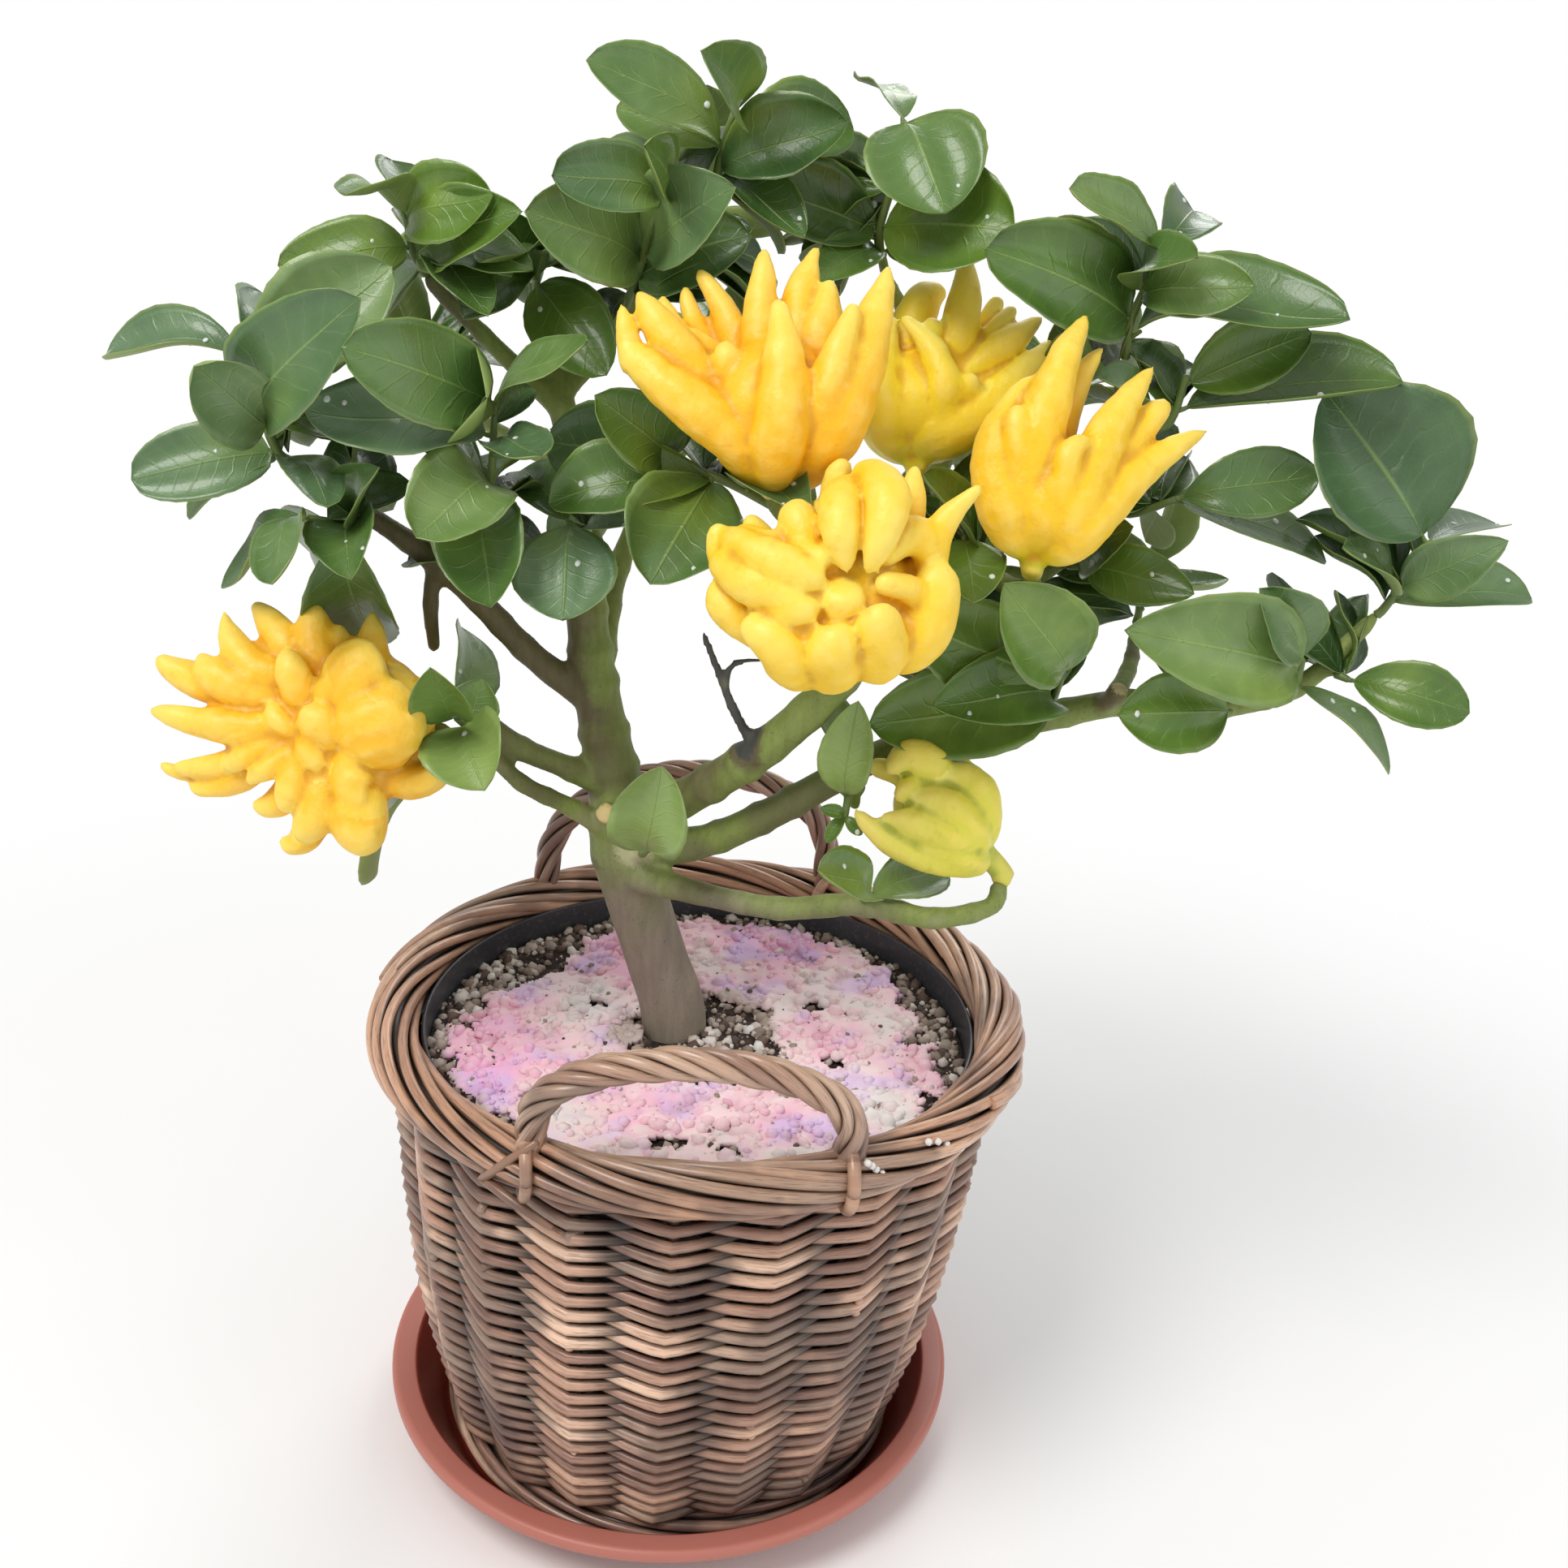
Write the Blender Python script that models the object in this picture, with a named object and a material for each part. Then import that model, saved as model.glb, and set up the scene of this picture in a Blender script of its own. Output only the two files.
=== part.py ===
"""A fingered citron bonsai in a round willow basket on a plastic saucer.

Metres, +Z up, +X to the right and +Y away from the front of the plant. The
origin is the middle of the saucer's underside. The plant's own layout is
given in millimetres, as it would be measured on the table.
"""

import math
import random

import bmesh
import bpy
from mathutils import Matrix, Vector, noise
from mathutils.bvhtree import BVHTree

MM = 0.001
GAP = 0.0003
SHARP_ANGLE = math.radians(38)
POT_SIDES = 26
CUTTER_SIDES = 20
CUTTER_REACH = 0.020
SEAT_PLAY = 0.0005

SAUCER_RADIUS = 0.1476
SAUCER_HEIGHT = 0.035
SAUCER_FLOOR = 0.005
SAUCER_BASE_RADIUS = 0.113
SAUCER_LIP = 0.009
SAUCER_SIDES = 36
SAUCER_UNDER_RIM = (0.1420, 0.0255)
SAUCER_INSIDE = ((0.1372, 0.0310), (0.1215, 0.0090))

BASKET_LEAN = 0.038
STAKES = 20
WEAVE_ROWS = 8
WEAVE_BOTTOM = 0.0222
WEAVE_TOP = 0.2282
WEAVE_WAVE = 0.003
WEAVE_RIDGE = 0.002
WEAVE_DEPTH = 0.0115
BASKET_PROFILE = ((0.008, 0.1110), (0.020, 0.1190), (0.050, 0.1256), (0.100, 0.1350),
                  (0.150, 0.1425), (0.200, 0.1470), (0.240, 0.1485))

FOOT_RADIUS = 0.1114
FOOT_HALF = 0.0083
FOOT_MIDDLE = 0.0136
BASE_RADIUS = 0.1022
BASE_TOP = 0.0135

BORDER_RADIUS = 0.148
BORDER_HALF = 0.012
BORDER_MIDDLE = 0.237
BORDER_SEAT = 0.2285

HANDLE_HALF = 0.0072
HANDLE_SOCKET = 0.2440
SOCKET_PLAY = 0.0013
SOCKET_SIDES = 12
HANDLES = {
    "handle_front": {"ends": (-0.063, 0.071), "side": -1.0, "top": 0.2905, "bulge": 0.004},
    "handle_back": {"ends": (-0.094, 0.061), "side": 1.0, "top": 0.3080, "bulge": 0.010},
}

LINER_WALL = 0.0015
LINER_TOP = 0.2350
LINER_OUTSIDE = ((0.0925, 0.0138), (0.1115, 0.0500), (0.1270, 0.1350), (0.1348, LINER_TOP))
SOIL_TOP = 0.2220
DRESSING_THICKNESS = 0.0040
STUMP_DEPTH = 0.048
STUMP_RADIUS = 0.0165
STUMP_PLAY = 0.0008

LEAF_THICKNESS = 0.0009
LEAF_FOLD = 0.32
LEAF_ARCH = 0.09
SHOOT_RADIUS = 0.0022
SHOOT_TIP_RADIUS = 0.0015
STUB_RADIUS = 0.0026

# The plant is set out as seen from the front and a little above, so each fruit's
# points are measured right, up and near in that view.
VIEW_TILT = math.radians(22.4)
VIEW_ROLL = math.radians(3.2)

# Every woody stem runs from the stem that bears it: x, y, z and radius.
WOOD = {
    "trunk": [(-5, 10, 222, 16.5), (-14, 10, 258, 15.5), (-24, 5, 294, 15.5), (-30, 0, 322, 17)],
    "leader": [(-30, 0, 318, 16.5), (-35, 0, 355, 13), (-42, 0, 390, 11), (-48, 0, 430, 9.5),
               (-50, 5, 462, 8.5), (-57, 20, 496, 7), (-67, 38, 530, 5.5), (-75, 50, 561, 4.2)],
    "left_bough": [(-43, 0, 393, 7), (-73, -5, 418, 6), (-98, -10, 446, 5.6), (-122, -11, 466, 5),
                   (-145, -15, 483, 4.2), (-166, -20, 499, 3.2)],
    "left_hanger": [(-114, -10, 459, 4), (-116, -12, 440, 3.6), (-115, -12, 420, 3)],
    "fruit_bough": [(-28, 0, 335, 11), (0, -20, 359, 9), (30, -42, 389, 8.6), (54, -56, 418, 8),
                    (70, -46, 434, 7), (82, -10, 446, 6.5), (86, 14, 466, 6)],
    "stalk_cupped": [(85, 4, 456, 5), (62, -28, 482, 4.5), (38, -49, 499, 4), (33, -54, 507, 4)],
    "back_right_bough": [(86, 14, 466, 6), (95, 36, 488, 5.5), (110, 62, 506, 5), (97, 85, 550, 4.2),
                         (77, 60, 582, 3.2)],
    "stalk_upright": [(94, 33, 486, 5), (98, 20, 494, 4.4), (95, 11, 505, 4)],
    "side_bough": [(86, 10, 462, 5.5), (120, 2, 464, 5), (156, 10, 466, 4.6), (176, 35, 494, 4.2),
                   (182, 32, 526, 3.8), (181, 22, 554, 3.2)],
    "stalk_pointed": [(128, 3, 464, 4.6), (139, -22, 466, 4.2), (142, -44, 473, 4), (141, -49, 479, 4)],
    "stalk_knuckled": [(50, -54, 414, 5), (60, -64, 430, 4.4), (62, -74, 446, 4), (62, -79, 453, 4)],
    "right_bough": [(-26, 0, 322, 10), (8, -18, 336, 7.8), (38, -28, 356, 7.4), (66, -33, 377, 7),
                    (90, -22, 387, 7), (125, -10, 393, 7.2), (162, 0, 400, 6.8), (197, 0, 409, 6.2),
                    (231, 0, 409, 5.8), (257, 0, 414, 5.4), (278, 0, 425, 4.6), (300, 0, 453, 3.6)],
    "cut_stub": [(186, 0, 406, 5), (189, -10, 414, 4.6), (191, -14, 420, 4.6)],
    "low_bough": [(-24, -8, 312, 8), (10, -30, 315, 5.6), (45, -50, 320, 5.4), (80, -60, 329, 5.2),
                  (112, -67, 328, 4.8), (137, -63, 333, 4.2), (141, -57, 341, 4)],
    "left_low_bough": [(-38, -3, 355, 7), (-56, -10, 366, 5.6), (-75, -20, 378, 5.4),
                       (-91, -30, 394, 5), (-105, -35, 404, 4.4)],
    "left_foot_bough": [(-32, -5, 331, 6.5), (-54, -18, 350, 4.4), (-73, -28, 364, 4),
                        (-88, -30, 379, 3.4)],
    "crown_left": [(-64, 33, 520, 5), (-92, 30, 546, 4.2), (-118, 20, 573, 3.2)],
    "crown_top": [(-66, 37, 526, 5), (-41, 42, 558, 4.6), (-12, 40, 594, 4), (0, 36, 614, 3.2)],
    "dead_twig": [(31, -43, 392, 2.8), (21, -50, 413, 2.3), (14, -52, 430, 2), (7, -55, 448, 1.5)],
    "dead_fork": [(17, -51, 422, 1.8), (20, -51, 434, 1.6), (36, -48, 436, 1.3)],
    "cut_knob": [(-34, -6, 343, 6), (-36, -17, 347, 5), (-37, -21, 349, 5)],
    "back_bough": [(-44, 4, 405, 7), (-40, 48, 446, 5.4), (-22, 92, 482, 4.4), (-10, 124, 500, 3.2)],
    "back_left_bough": [(-57, 22, 497, 5), (-94, 68, 500, 4), (-130, 100, 512, 3)],
    "far_right_bough": [(108, 58, 503, 4.6), (136, 96, 505, 3.8), (162, 124, 506, 3)],
    "back_top_bough": [(-68, 40, 532, 4.6), (-48, 84, 554, 3.8), (-22, 116, 572, 3)],
    "back_low_bough": [(190, 0, 407, 5), (206, 44, 412, 4), (214, 80, 420, 3)],
}

# Each leafy shoot: how far the stem's own stub stands out, the shoot's path, and
# its leaves as share along the shoot, tip, and breadth as seen from the front.
SPRAYS = {
    "spray_left_tip": {
        "stub": 6,
        "shoot": [(-166, -20, 499), (-174, -30, 509), (-178, -35, 528), (-182, -35, 547)],
        "leaves": [
            (0.18, (-228, -50, 498), 32),
            (0.12, (-214, -30, 479), 26),
            (0.1, (-143, -68, 496), 16),
            (0.42, (-189, -75, 549), 32),
            (0.5, (-126, -70, 577), 42),
            (1, (-242, -30, 543), 31),
            (1, (-189, 12, 567), 20),
            (0.72, (-123, -30, 585), 46),
        ],
    },
    "spray_left_low": {
        "stub": 9,
        "shoot": [(-140, -14, 481), (-141, -30, 479), (-158, -45, 485)],
        "leaves": [
            (0.3, (-133, -76, 469), 30),
            (1, (-159, -95, 471), 22),
            (0.95, (-200, -35, 451), 18),
            (0.25, (-142, -65, 511), 20),
            (0.5, (-144, -5, 419), 40),
            (0.7, (-168, 10, 420), 40),
        ],
    },
    "spray_left_mid": {
        "stub": 10,
        "shoot": [(-98, -10, 446), (-90, -30, 478), (-84, -35, 504), (-83, -30, 533)],
        "leaves": [
            (0.45, (-77, -77, 461), 38),
            (0.62, (-105, -81, 489), 39),
            (0.85, (-153, -55, 538), 35),
            (1, (-131, -80, 560), 40),
            (1, (-42, -55, 564), 18),
            (0.95, (-81, -54, 575), 40),
            (0.75, (-56, -76, 523), 16),
        ],
    },
    "spray_crown_left": {
        "stub": 5,
        "shoot": [(-118, 20, 573), (-125, 15, 587), (-126, 10, 601)],
        "leaves": [
            (1, (-138, -39, 612), 14),
            (0.9, (-85, -18, 613), 34),
            (0.5, (-175, -10, 581), 29),
            (0.35, (-73, -20, 608), 34),
            (0.2, (-87, -20, 567), 20),
            (0.15, (-148, 53, 551), 22),
        ],
    },
    "spray_top_left": {
        "stub": 9,
        "shoot": [(-41, 42, 558), (-31, 20, 580), (-24, 0, 600), (-19, -5, 616)],
        "leaves": [
            (0.5, (-69, -35, 609), 42),
            (1, (-53, 32, 629), 21),
            (1, (-58, -38, 623), 29),
            (1, (-21, -53, 636), 25),
            (0.55, (7, -35, 622), 39),
            (0.35, (18, 0, 602), 39),
        ],
    },
    "spray_leader_tip": {
        "stub": 5,
        "shoot": [(-75, 50, 561), (-77, 40, 574), (-72, 30, 589)],
        "leaves": [
            (0.4, (-42, 10, 541), 36),
            (1, (-90, -19, 588), 18),
            (0.9, (-41, -9, 587), 18),
            (0.5, (-100, -5, 563), 23),
        ],
    },
    "spray_top": {
        "stub": 5,
        "shoot": [(0, 36, 614), (3, 30, 632), (8, 25, 648)],
        "leaves": [
            (0.5, (-50, 0, 665), 31),
            (0.5, (-43, 45, 648), 26),
            (1, (-3, -21, 670), 30),
            (0.2, (55, 10, 647), 35),
            (0.6, (58, 55, 645), 35),
            (0.15, (40, 4, 602), 23),
        ],
    },
    "spray_top_right": {
        "stub": 5,
        "shoot": [(77, 60, 582), (72, 45, 603), (77, 40, 627), (79, 40, 648)],
        "leaves": [
            (1, (60, 86, 664), 12),
            (1, (97, 0, 615), 51),
            (0.35, (93, -10, 643), 49),
            (0.3, (17, 30, 628), 36),
            (0.25, (39, 60, 633), 32),
            (0.15, (124, 40, 605), 27),
            (0.15, (45, 11, 590), 23),
        ],
    },
    "spray_right_up": {
        "stub": 5,
        "shoot": [(181, 22, 554), (180, 15, 574), (184, 10, 591), (186, 5, 604)],
        "leaves": [
            (0.35, (118, -25, 610), 44),
            (1, (144, -15, 628), 22),
            (1, (204, 51, 622), 17),
            (0.6, (194, -34, 606), 18),
            (0.55, (206, -30, 609), 27),
            (0.2, (260, -25, 585), 35),
        ],
    },
    "spray_right_fan": {
        "stub": 8,
        "shoot": [(182, 30, 526), (193, 20, 527), (203, 15, 534), (206, 10, 554)],
        "leaves": [
            (0.9, (253, 0, 576), 31),
            (0.6, (290, -15, 559), 34),
            (0.55, (191, 57, 562), 25),
            (0.35, (165, -14, 555), 17),
        ],
    },
    "spray_right_mid": {
        "stub": 8,
        "shoot": [(176, 35, 496), (192, 20, 491), (209, 10, 501)],
        "leaves": [
            (1, (267, 0, 517), 31),
            (0.95, (280, -15, 505), 25),
            (0.6, (210, 62, 469), 12),
            (0.5, (219, 60, 512), 26),
        ],
    },
    "spray_far_right": {
        "stub": 4,
        "shoot": [(300, 0, 453), (306, 0, 461), (314, -2, 480), (316, -5, 491)],
        "leaves": [
            (1, (266, 10, 551), 70),
            (0.3, (274, -25, 492), 17),
            (0.4, (338, -35, 501), 26),
            (0.2, (369, 0, 468), 23),
            (1, (363, 35, 492), 16),
        ],
    },
    "spray_right_low": {
        "stub": 10,
        "shoot": [(270, 0, 416), (269, -12, 428), (267, -20, 440)],
        "leaves": [
            (0.6, (182, -50, 458), 47),
            (1, (237, -43, 477), 29),
            (0.15, (311, -30, 393), 16),
        ],
    },
    "spray_right_side": {
        "stub": 7,
        "shoot": [(283, 0, 431), (292, -10, 429)],
        "leaves": [
            (1, (338, -35, 425), 29),
        ],
    },
    "spray_right_bough": {
        "stub": 8,
        "shoot": [(231, 0, 409), (235, -12, 410), (239, -22, 415)],
        "leaves": [
            (1, (185, -45, 419), 36),
            (0.4, (228, 43, 409), 14),
        ],
    },
    "spray_bough_inner": {
        "stub": 9,
        "shoot": [(162, 0, 400), (161, -20, 416), (162, -30, 431)],
        "leaves": [
            (1, (131, -50, 485), 40),
            (0.7, (90, -55, 460), 43),
            (0.4, (104, -65, 425), 34),
            (0.3, (75, -40, 410), 43),
        ],
    },
    "spray_behind_fruit": {
        "stub": 8,
        "shoot": [(128, 0, 464), (123, -12, 475), (115, -20, 486)],
        "leaves": [
            (1, (116, -70, 472), 29),
            (0.5, (156, 27, 485), 26),
        ],
    },
    "spray_fruit_side": {
        "stub": 8,
        "shoot": [(159, 12, 469), (171, 0, 471)],
        "leaves": [
            (1, (213, -31, 470), 26),
            (0.6, (178, -35, 502), 21),
        ],
    },
    "spray_centre": {
        "stub": 10,
        "shoot": [(44, -45, 496), (15, -40, 508), (-9, -30, 514)],
        "leaves": [
            (0.55, (-58, -50, 498), 32),
            (0.6, (-17, -75, 468), 47),
            (1, (-38, -60, 544), 30),
            (0.45, (57, -75, 523), 25),
            (1, (-64, -15, 516), 38),
        ],
    },
    "spray_leader_mid": {
        "stub": 12,
        "shoot": [(-53, 8, 469), (-46, -20, 480), (-52, -30, 485)],
        "leaves": [
            (1, (-49, -73, 456), 44),
            (0.5, (-19, -50, 494), 17),
            (1, (-80, 12, 497), 23),
        ],
    },
    "spray_starred_fruit": {
        "stub": 9,
        "shoot": [(-88, -29, 386), (-91, -42, 392), (-98, -49, 402)],
        "leaves": [
            (1, (-105, -76, 436), 23),
            (0.7, (-77, -82, 381), 31),
            (0.4, (-149, 0, 302), 38),
            (1, (-107, 8, 425), 13),
        ],
    },
    "spray_crown": {
        "stub": 19,
        "shoot": [(-24, -10, 322), (-16, -35, 338)],
        "leaves": [
            (1, (-9, -52, 386), 40),
        ],
    },
    "spray_low": {
        "stub": 6,
        "shoot": [(80, -60, 330), (84, -70, 339)],
        "leaves": [
            (1, (60, -107, 367), 16),
            (0.7, (119, -30, 335), 23),
        ],
    },
    "spray_closed_fruit": {
        "stub": 9,
        "shoot": [(67, -35, 378), (72, -50, 376), (71, -55, 369)],
        "leaves": [
            (1, (64, -60, 358), 6),
            (1, (79, -60, 363), 6),
            (1, (60, -60, 374), 6),
            (0.35, (73, -61, 426), 31),
            (0.3, (50, 6, 381), 18),
        ],
    },
}

# Each fruit: the stem that bears it, its middle, the place and reach of its body,
# and its fingers as start, bend and tip with their half widths.
FRUITS = {
    "fruit_cupped": {
        "stalk": "stalk_cupped",
        "centre": (30, -55, 560),
        "body": ((1, -20, -4), (29, 30, 26)),
        "fingers": [
            ((-8, -33, 5), (-40, -12, 10), (-58, 6, 5), (10.8, 8.5, 4.0)),
            ((-52, -4, 8), (-56, 9, 6), (-58, 22, 3), (4.8, 4.0, 1.9)),
            ((-22, -14, 0), (-43, 12, 5), (-52, 28, 0), (9.0, 6.5, 1.9)),
            ((-25, -4, -10), (-39, 17, -12), (-44, 30, -15), (6.0, 4.3, 1.9)),
            ((-22, 0, -15), (-31, 21, -18), (-35, 35, -20), (6.0, 4.3, 1.9)),
            ((-10, -4, -12), (-19, 24, -15), (-30, 41, -18), (6.0, 5.5, 1.9)),
            ((-16, -6, -5), (-28, 6, -3), (-37, 10, 0), (7.2, 6.1, 2.7)),
            ((-4, -8, -8), (-4, 19, -5), (-3, 48, -8), (7.2, 7.0, 2.0)),
            ((-16, -10, 2), (-17, -2, 8), (-19, 6, 8), (6.6, 6.1, 3.2)),
            ((2, -35, 15), (5, -9, 20), (2, 21, 15), (10.2, 8.5, 3.5)),
            ((13, -9, -8), (11, 24, -10), (19, 50, -14), (8.4, 7.4, 2.2)),
            ((17, -14, -5), (20, 12, -5), (23, 35, -8), (9.0, 8.2, 3.2)),
            ((19, -30, 5), (34, 0, 6), (46, 39, 0), (13.2, 10.9, 1.9)),
            ((17, -25, 12), (25, -4, 16), (32, 20, 14), (8.4, 7.0, 3.2)),
            ((-12, -14, -24), (-22, 9, -34), (-32, 24, -44), (7.2, 6.5, 1.9)),
            ((3, -14, -28), (1, 13, -40), (-4, 31, -50), (7.2, 6.5, 1.9)),
            ((13, -14, -26), (24, 11, -36), (31, 27, -44), (7.2, 6.5, 2.0)),
        ],
    },
    "fruit_upright": {
        "stalk": "stalk_upright",
        "centre": (99, 28, 550),
        "body": ((-9, -18, -4), (25, 26, 23)),
        "fingers": [
            ((-19, -28, 5), (-25, -5, 8), (-17, 22, 3), (11.7, 10.9, 2.5)),
            ((4, -21, 12), (0, 0, 14), (-15, 20, 8), (8.0, 6.4, 2.1)),
            ((-11, 0, -8), (-6, 27, -10), (7, 37, -12), (8.6, 9.1, 4.3)),
            ((4, -7, 2), (12, 19, 4), (14, 50, 0), (4.8, 8.3, 1.9)),
            ((-2, 0, 5), (-1, 13, 8), (1, 18, 10), (5.1, 4.8, 2.5)),
            ((9, -5, -5), (24, 19, -8), (30, 33, -10), (4.8, 4.8, 3.6)),
            ((10, -7, 0), (27, 15, 0), (37, 27, -4), (4.5, 4.5, 3.4)),
            ((8, -9, 4), (31, 8, 4), (49, 22, 0), (5.3, 6.4, 2.1)),
            ((-2, -32, 5), (30, -14, 6), (52, 12, 0), (12.0, 9.1, 2.1)),
            ((7, -18, 12), (15, -12, 14), (18, -10, 14), (5.6, 5.7, 3.4)),
            ((14, -14, -6), (30, -5, -8), (41, 0, -8), (7.4, 6.8, 2.7)),
            ((-14, -14, -26), (-19, 14, -36), (-24, 27, -46), (8.0, 7.5, 1.9)),
            ((2, -14, -26), (7, 16, -36), (11, 30, -46), (8.0, 7.5, 1.9)),
            ((11, -21, -20), (30, 0, -32), (41, 16, -40), (8.0, 7.3, 1.9)),
        ],
    },
    "fruit_pointed": {
        "stalk": "stalk_pointed",
        "centre": (152, -45, 522),
        "body": ((-8, -10, -4), (28, 26, 23)),
        "fingers": [
            ((-26, -16, 5), (-30, 14, 6), (-14, 38, 4), (11.4, 7.3, 2.3)),
            ((-19, -11, 5), (-9, 29, 8), (8, 64, -2), (11.0, 9.1, 1.9)),
            ((-22, 2, 12), (-23, 16, 14), (-24, 23, 14), (6.4, 5.1, 2.6)),
            ((-8, -2, -5), (1, 29, -8), (17, 54, -12), (7.7, 6.1, 1.9)),
            ((-5, -9, 14), (-2, 5, 18), (6, 9, 18), (6.4, 5.1, 2.3)),
            ((-10, -11, 14), (-4, -1, 16), (-2, 4, 16), (5.4, 4.4, 3.2)),
            ((-1, -20, 8), (14, 14, 8), (35, 43, 0), (10.3, 8.1, 1.9)),
            ((4, -20, 2), (25, 13, 0), (42, 28, -4), (10.1, 7.5, 3.2)),
            ((1, -28, 5), (26, -2, 4), (57, 17, -3), (10.1, 7.3, 1.9)),
            ((-21, -11, -22), (-26, 14, -32), (-21, 32, -40), (7.7, 6.8, 1.9)),
            ((-5, -13, -24), (-1, 14, -36), (10, 32, -44), (7.7, 6.8, 1.9)),
            ((1, -20, -20), (22, 0, -32), (37, 9, -40), (7.5, 6.4, 1.9)),
        ],
    },
    "fruit_knuckled": {
        "stalk": "stalk_knuckled",
        "centre": (58, -110, 491),
        "body": ((0, -9, -16), (37, 30, 24)),
        "fingers": [
            ((3, -13, 0), (3, -9, 8), (3, -6, 12), (6.6, 8.2, 5.3)),
            ((8, 35, -6), (4, 19, 12), (6, 0, 10), (4.7, 9.0, 2.5)),
            ((11, 39, -8), (19, 25, 12), (9, 1, 10), (4.5, 9.0, 3.0)),
            ((3, 17, -14), (2, 37, -14), (6, 43, -8), (5.8, 5.9, 3.8)),
            ((-7, 6, 0), (-13, 19, 0), (-14, 26, -6), (6.2, 7.5, 5.5)),
            ((-14, 11, 2), (-8, 6, 8), (-1, 3, 12), (4.8, 4.8, 4.0)),
            ((-41, 17, -4), (-22, 4, 10), (-2, -4, 10), (3.6, 7.2, 4.4)),
            ((-35, 18, -6), (-27, 13, -2), (-18, 13, 4), (3.2, 5.3, 3.6)),
            ((-38, 0, -6), (-44, 13, -5), (-41, 20, -2), (5.6, 4.2, 1.9)),
            ((-43, 6, -2), (-28, -5, 6), (-8, -8, 10), (5.2, 7.9, 5.1)),
            ((-30, -18, -10), (-41, -10, -10), (-44, 0, -10), (6.6, 6.4, 3.8)),
            ((-26, -10, 4), (-16, -14, 8), (-5, -14, 10), (4.3, 6.4, 4.7)),
            ((-14, -31, -6), (-22, -25, 4), (-35, -18, 4), (11.2, 9.0, 4.7)),
            ((0, -33, -6), (0, -25, 6), (0, -19, 8), (10.7, 11.1, 6.4)),
            ((17, -30, -6), (17, -20, 10), (15, -13, 12), (10.2, 9.2, 4.7)),
            ((30, -26, -10), (38, -9, -4), (38, 6, 0), (10.2, 10.0, 5.3)),
            ((39, 6, -4), (28, 15, 2), (15, 3, 8), (5.6, 7.5, 6.4)),
            ((31, -7, 2), (23, -5, 8), (15, -4, 10), (4.8, 4.8, 3.6)),
            ((37, 6, -4), (42, 20, -2), (56, 33, 4), (6.7, 5.3, 1.9)),
            ((26, 13, -12), (30, 30, -12), (32, 44, -12), (6.2, 5.9, 2.0)),
            ((-5, 6, -16), (-5, 19, -18), (-6, 31, -16), (5.6, 5.3, 2.7)),
            ((-22, 1, -14), (-28, 16, -14), (-33, 25, -14), (6.0, 5.5, 3.0)),
        ],
    },
    "fruit_starred": {
        "stalk": "left_low_bough",
        "centre": (-159, -60, 400),
        "body": ((24, 2, -12), (27, 30, 19)),
        "fingers": [
            ((-15, 12, -2), (-45, 17, -4), (-66, 29, -4), (5.9, 7.7, 3.6)),
            ((-9, 11, 0), (-35, 18, 2), (-45, 31, 2), (6.4, 8.6, 2.0)),
            ((-9, -2, 4), (-37, -1, 4), (-67, 6, 2), (5.6, 7.3, 2.5)),
            ((-9, 19, 0), (-26, 26, 0), (-37, 49, -4), (7.6, 8.1, 1.9)),
            ((-3, 21, -4), (-14, 38, -6), (-26, 52, -8), (7.6, 8.1, 1.9)),
            ((4, 24, -2), (2, 40, -4), (0, 55, -6), (8.6, 7.8, 1.9)),
            ((2, 6, 6), (-3, 20, 10), (-5, 32, 10), (5.6, 7.3, 2.7)),
            ((-7, -2, 5), (-22, -6, 6), (-32, -9, 4), (3.0, 4.4, 2.2)),
            ((-5, -6, 6), (-24, -14, 6), (-33, -19, 4), (3.4, 4.7, 1.9)),
            ((-13, -7, 0), (-39, -18, -2), (-59, -17, -3), (4.7, 5.3, 2.5)),
            ((-18, -17, -4), (-37, -26, -5), (-53, -26, -6), (4.7, 5.3, 2.2)),
            ((-39, -19, -8), (-54, -21, -8), (-66, -16, -8), (3.2, 3.4, 1.9)),
            ((0, -9, 6), (-13, -18, 8), (-24, -25, 6), (3.7, 5.1, 1.9)),
            ((2, -11, 8), (-4, -26, 9), (-7, -38, 8), (3.9, 6.1, 3.6)),
            ((4, -6, 10), (5, -13, 12), (9, -20, 12), (4.7, 5.6, 3.1)),
            ((-3, -19, -4), (-13, -33, -4), (-25, -34, -4), (6.4, 6.6, 2.2)),
            ((6, -19, 2), (6, -35, 4), (-4, -49, 2), (7.1, 9.5, 5.1)),
            ((8, -30, -6), (-4, -50, -4), (-13, -48, -4), (6.4, 6.1, 2.2)),
            ((19, -23, 0), (23, -43, 2), (26, -56, 0), (10.1, 11.7, 5.1)),
            ((17, -15, 6), (23, -29, 8), (29, -32, 8), (7.4, 8.3, 5.1)),
            ((25, -17, -4), (48, -25, -4), (63, -9, -2), (6.9, 7.0, 1.9)),
            ((21, 9, 0), (27, 20, 6), (33, 24, 4), (14.1, 16.4, 11.2)),
            ((25, -2, 2), (35, 1, 6), (40, 3, 0), (15.4, 19.2, 14.6)),
            ((25, 24, -8), (25, 36, -8), (26, 49, -8), (7.6, 6.4, 1.9)),
            ((16, -5, 8), (8, 0, 14), (5, 6, 12), (7.6, 8.3, 5.3)),
            ((15, 4, 6), (12, 13, 10), (11, 20, 10), (6.9, 7.0, 2.0)),
            ((2, -2, 6), (-8, 0, 10), (-13, 9, 8), (5.2, 5.3, 2.5)),
            ((20, -6, 4), (22, -15, 8), (24, -21, 8), (6.4, 7.7, 4.4)),
            ((15, 19, -6), (11, 33, -6), (17, 38, -6), (7.6, 8.1, 5.9)),
            ((6, -9, -20), (-13, -15, -30), (-33, -9, -36), (7.4, 6.6, 1.9)),
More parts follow.
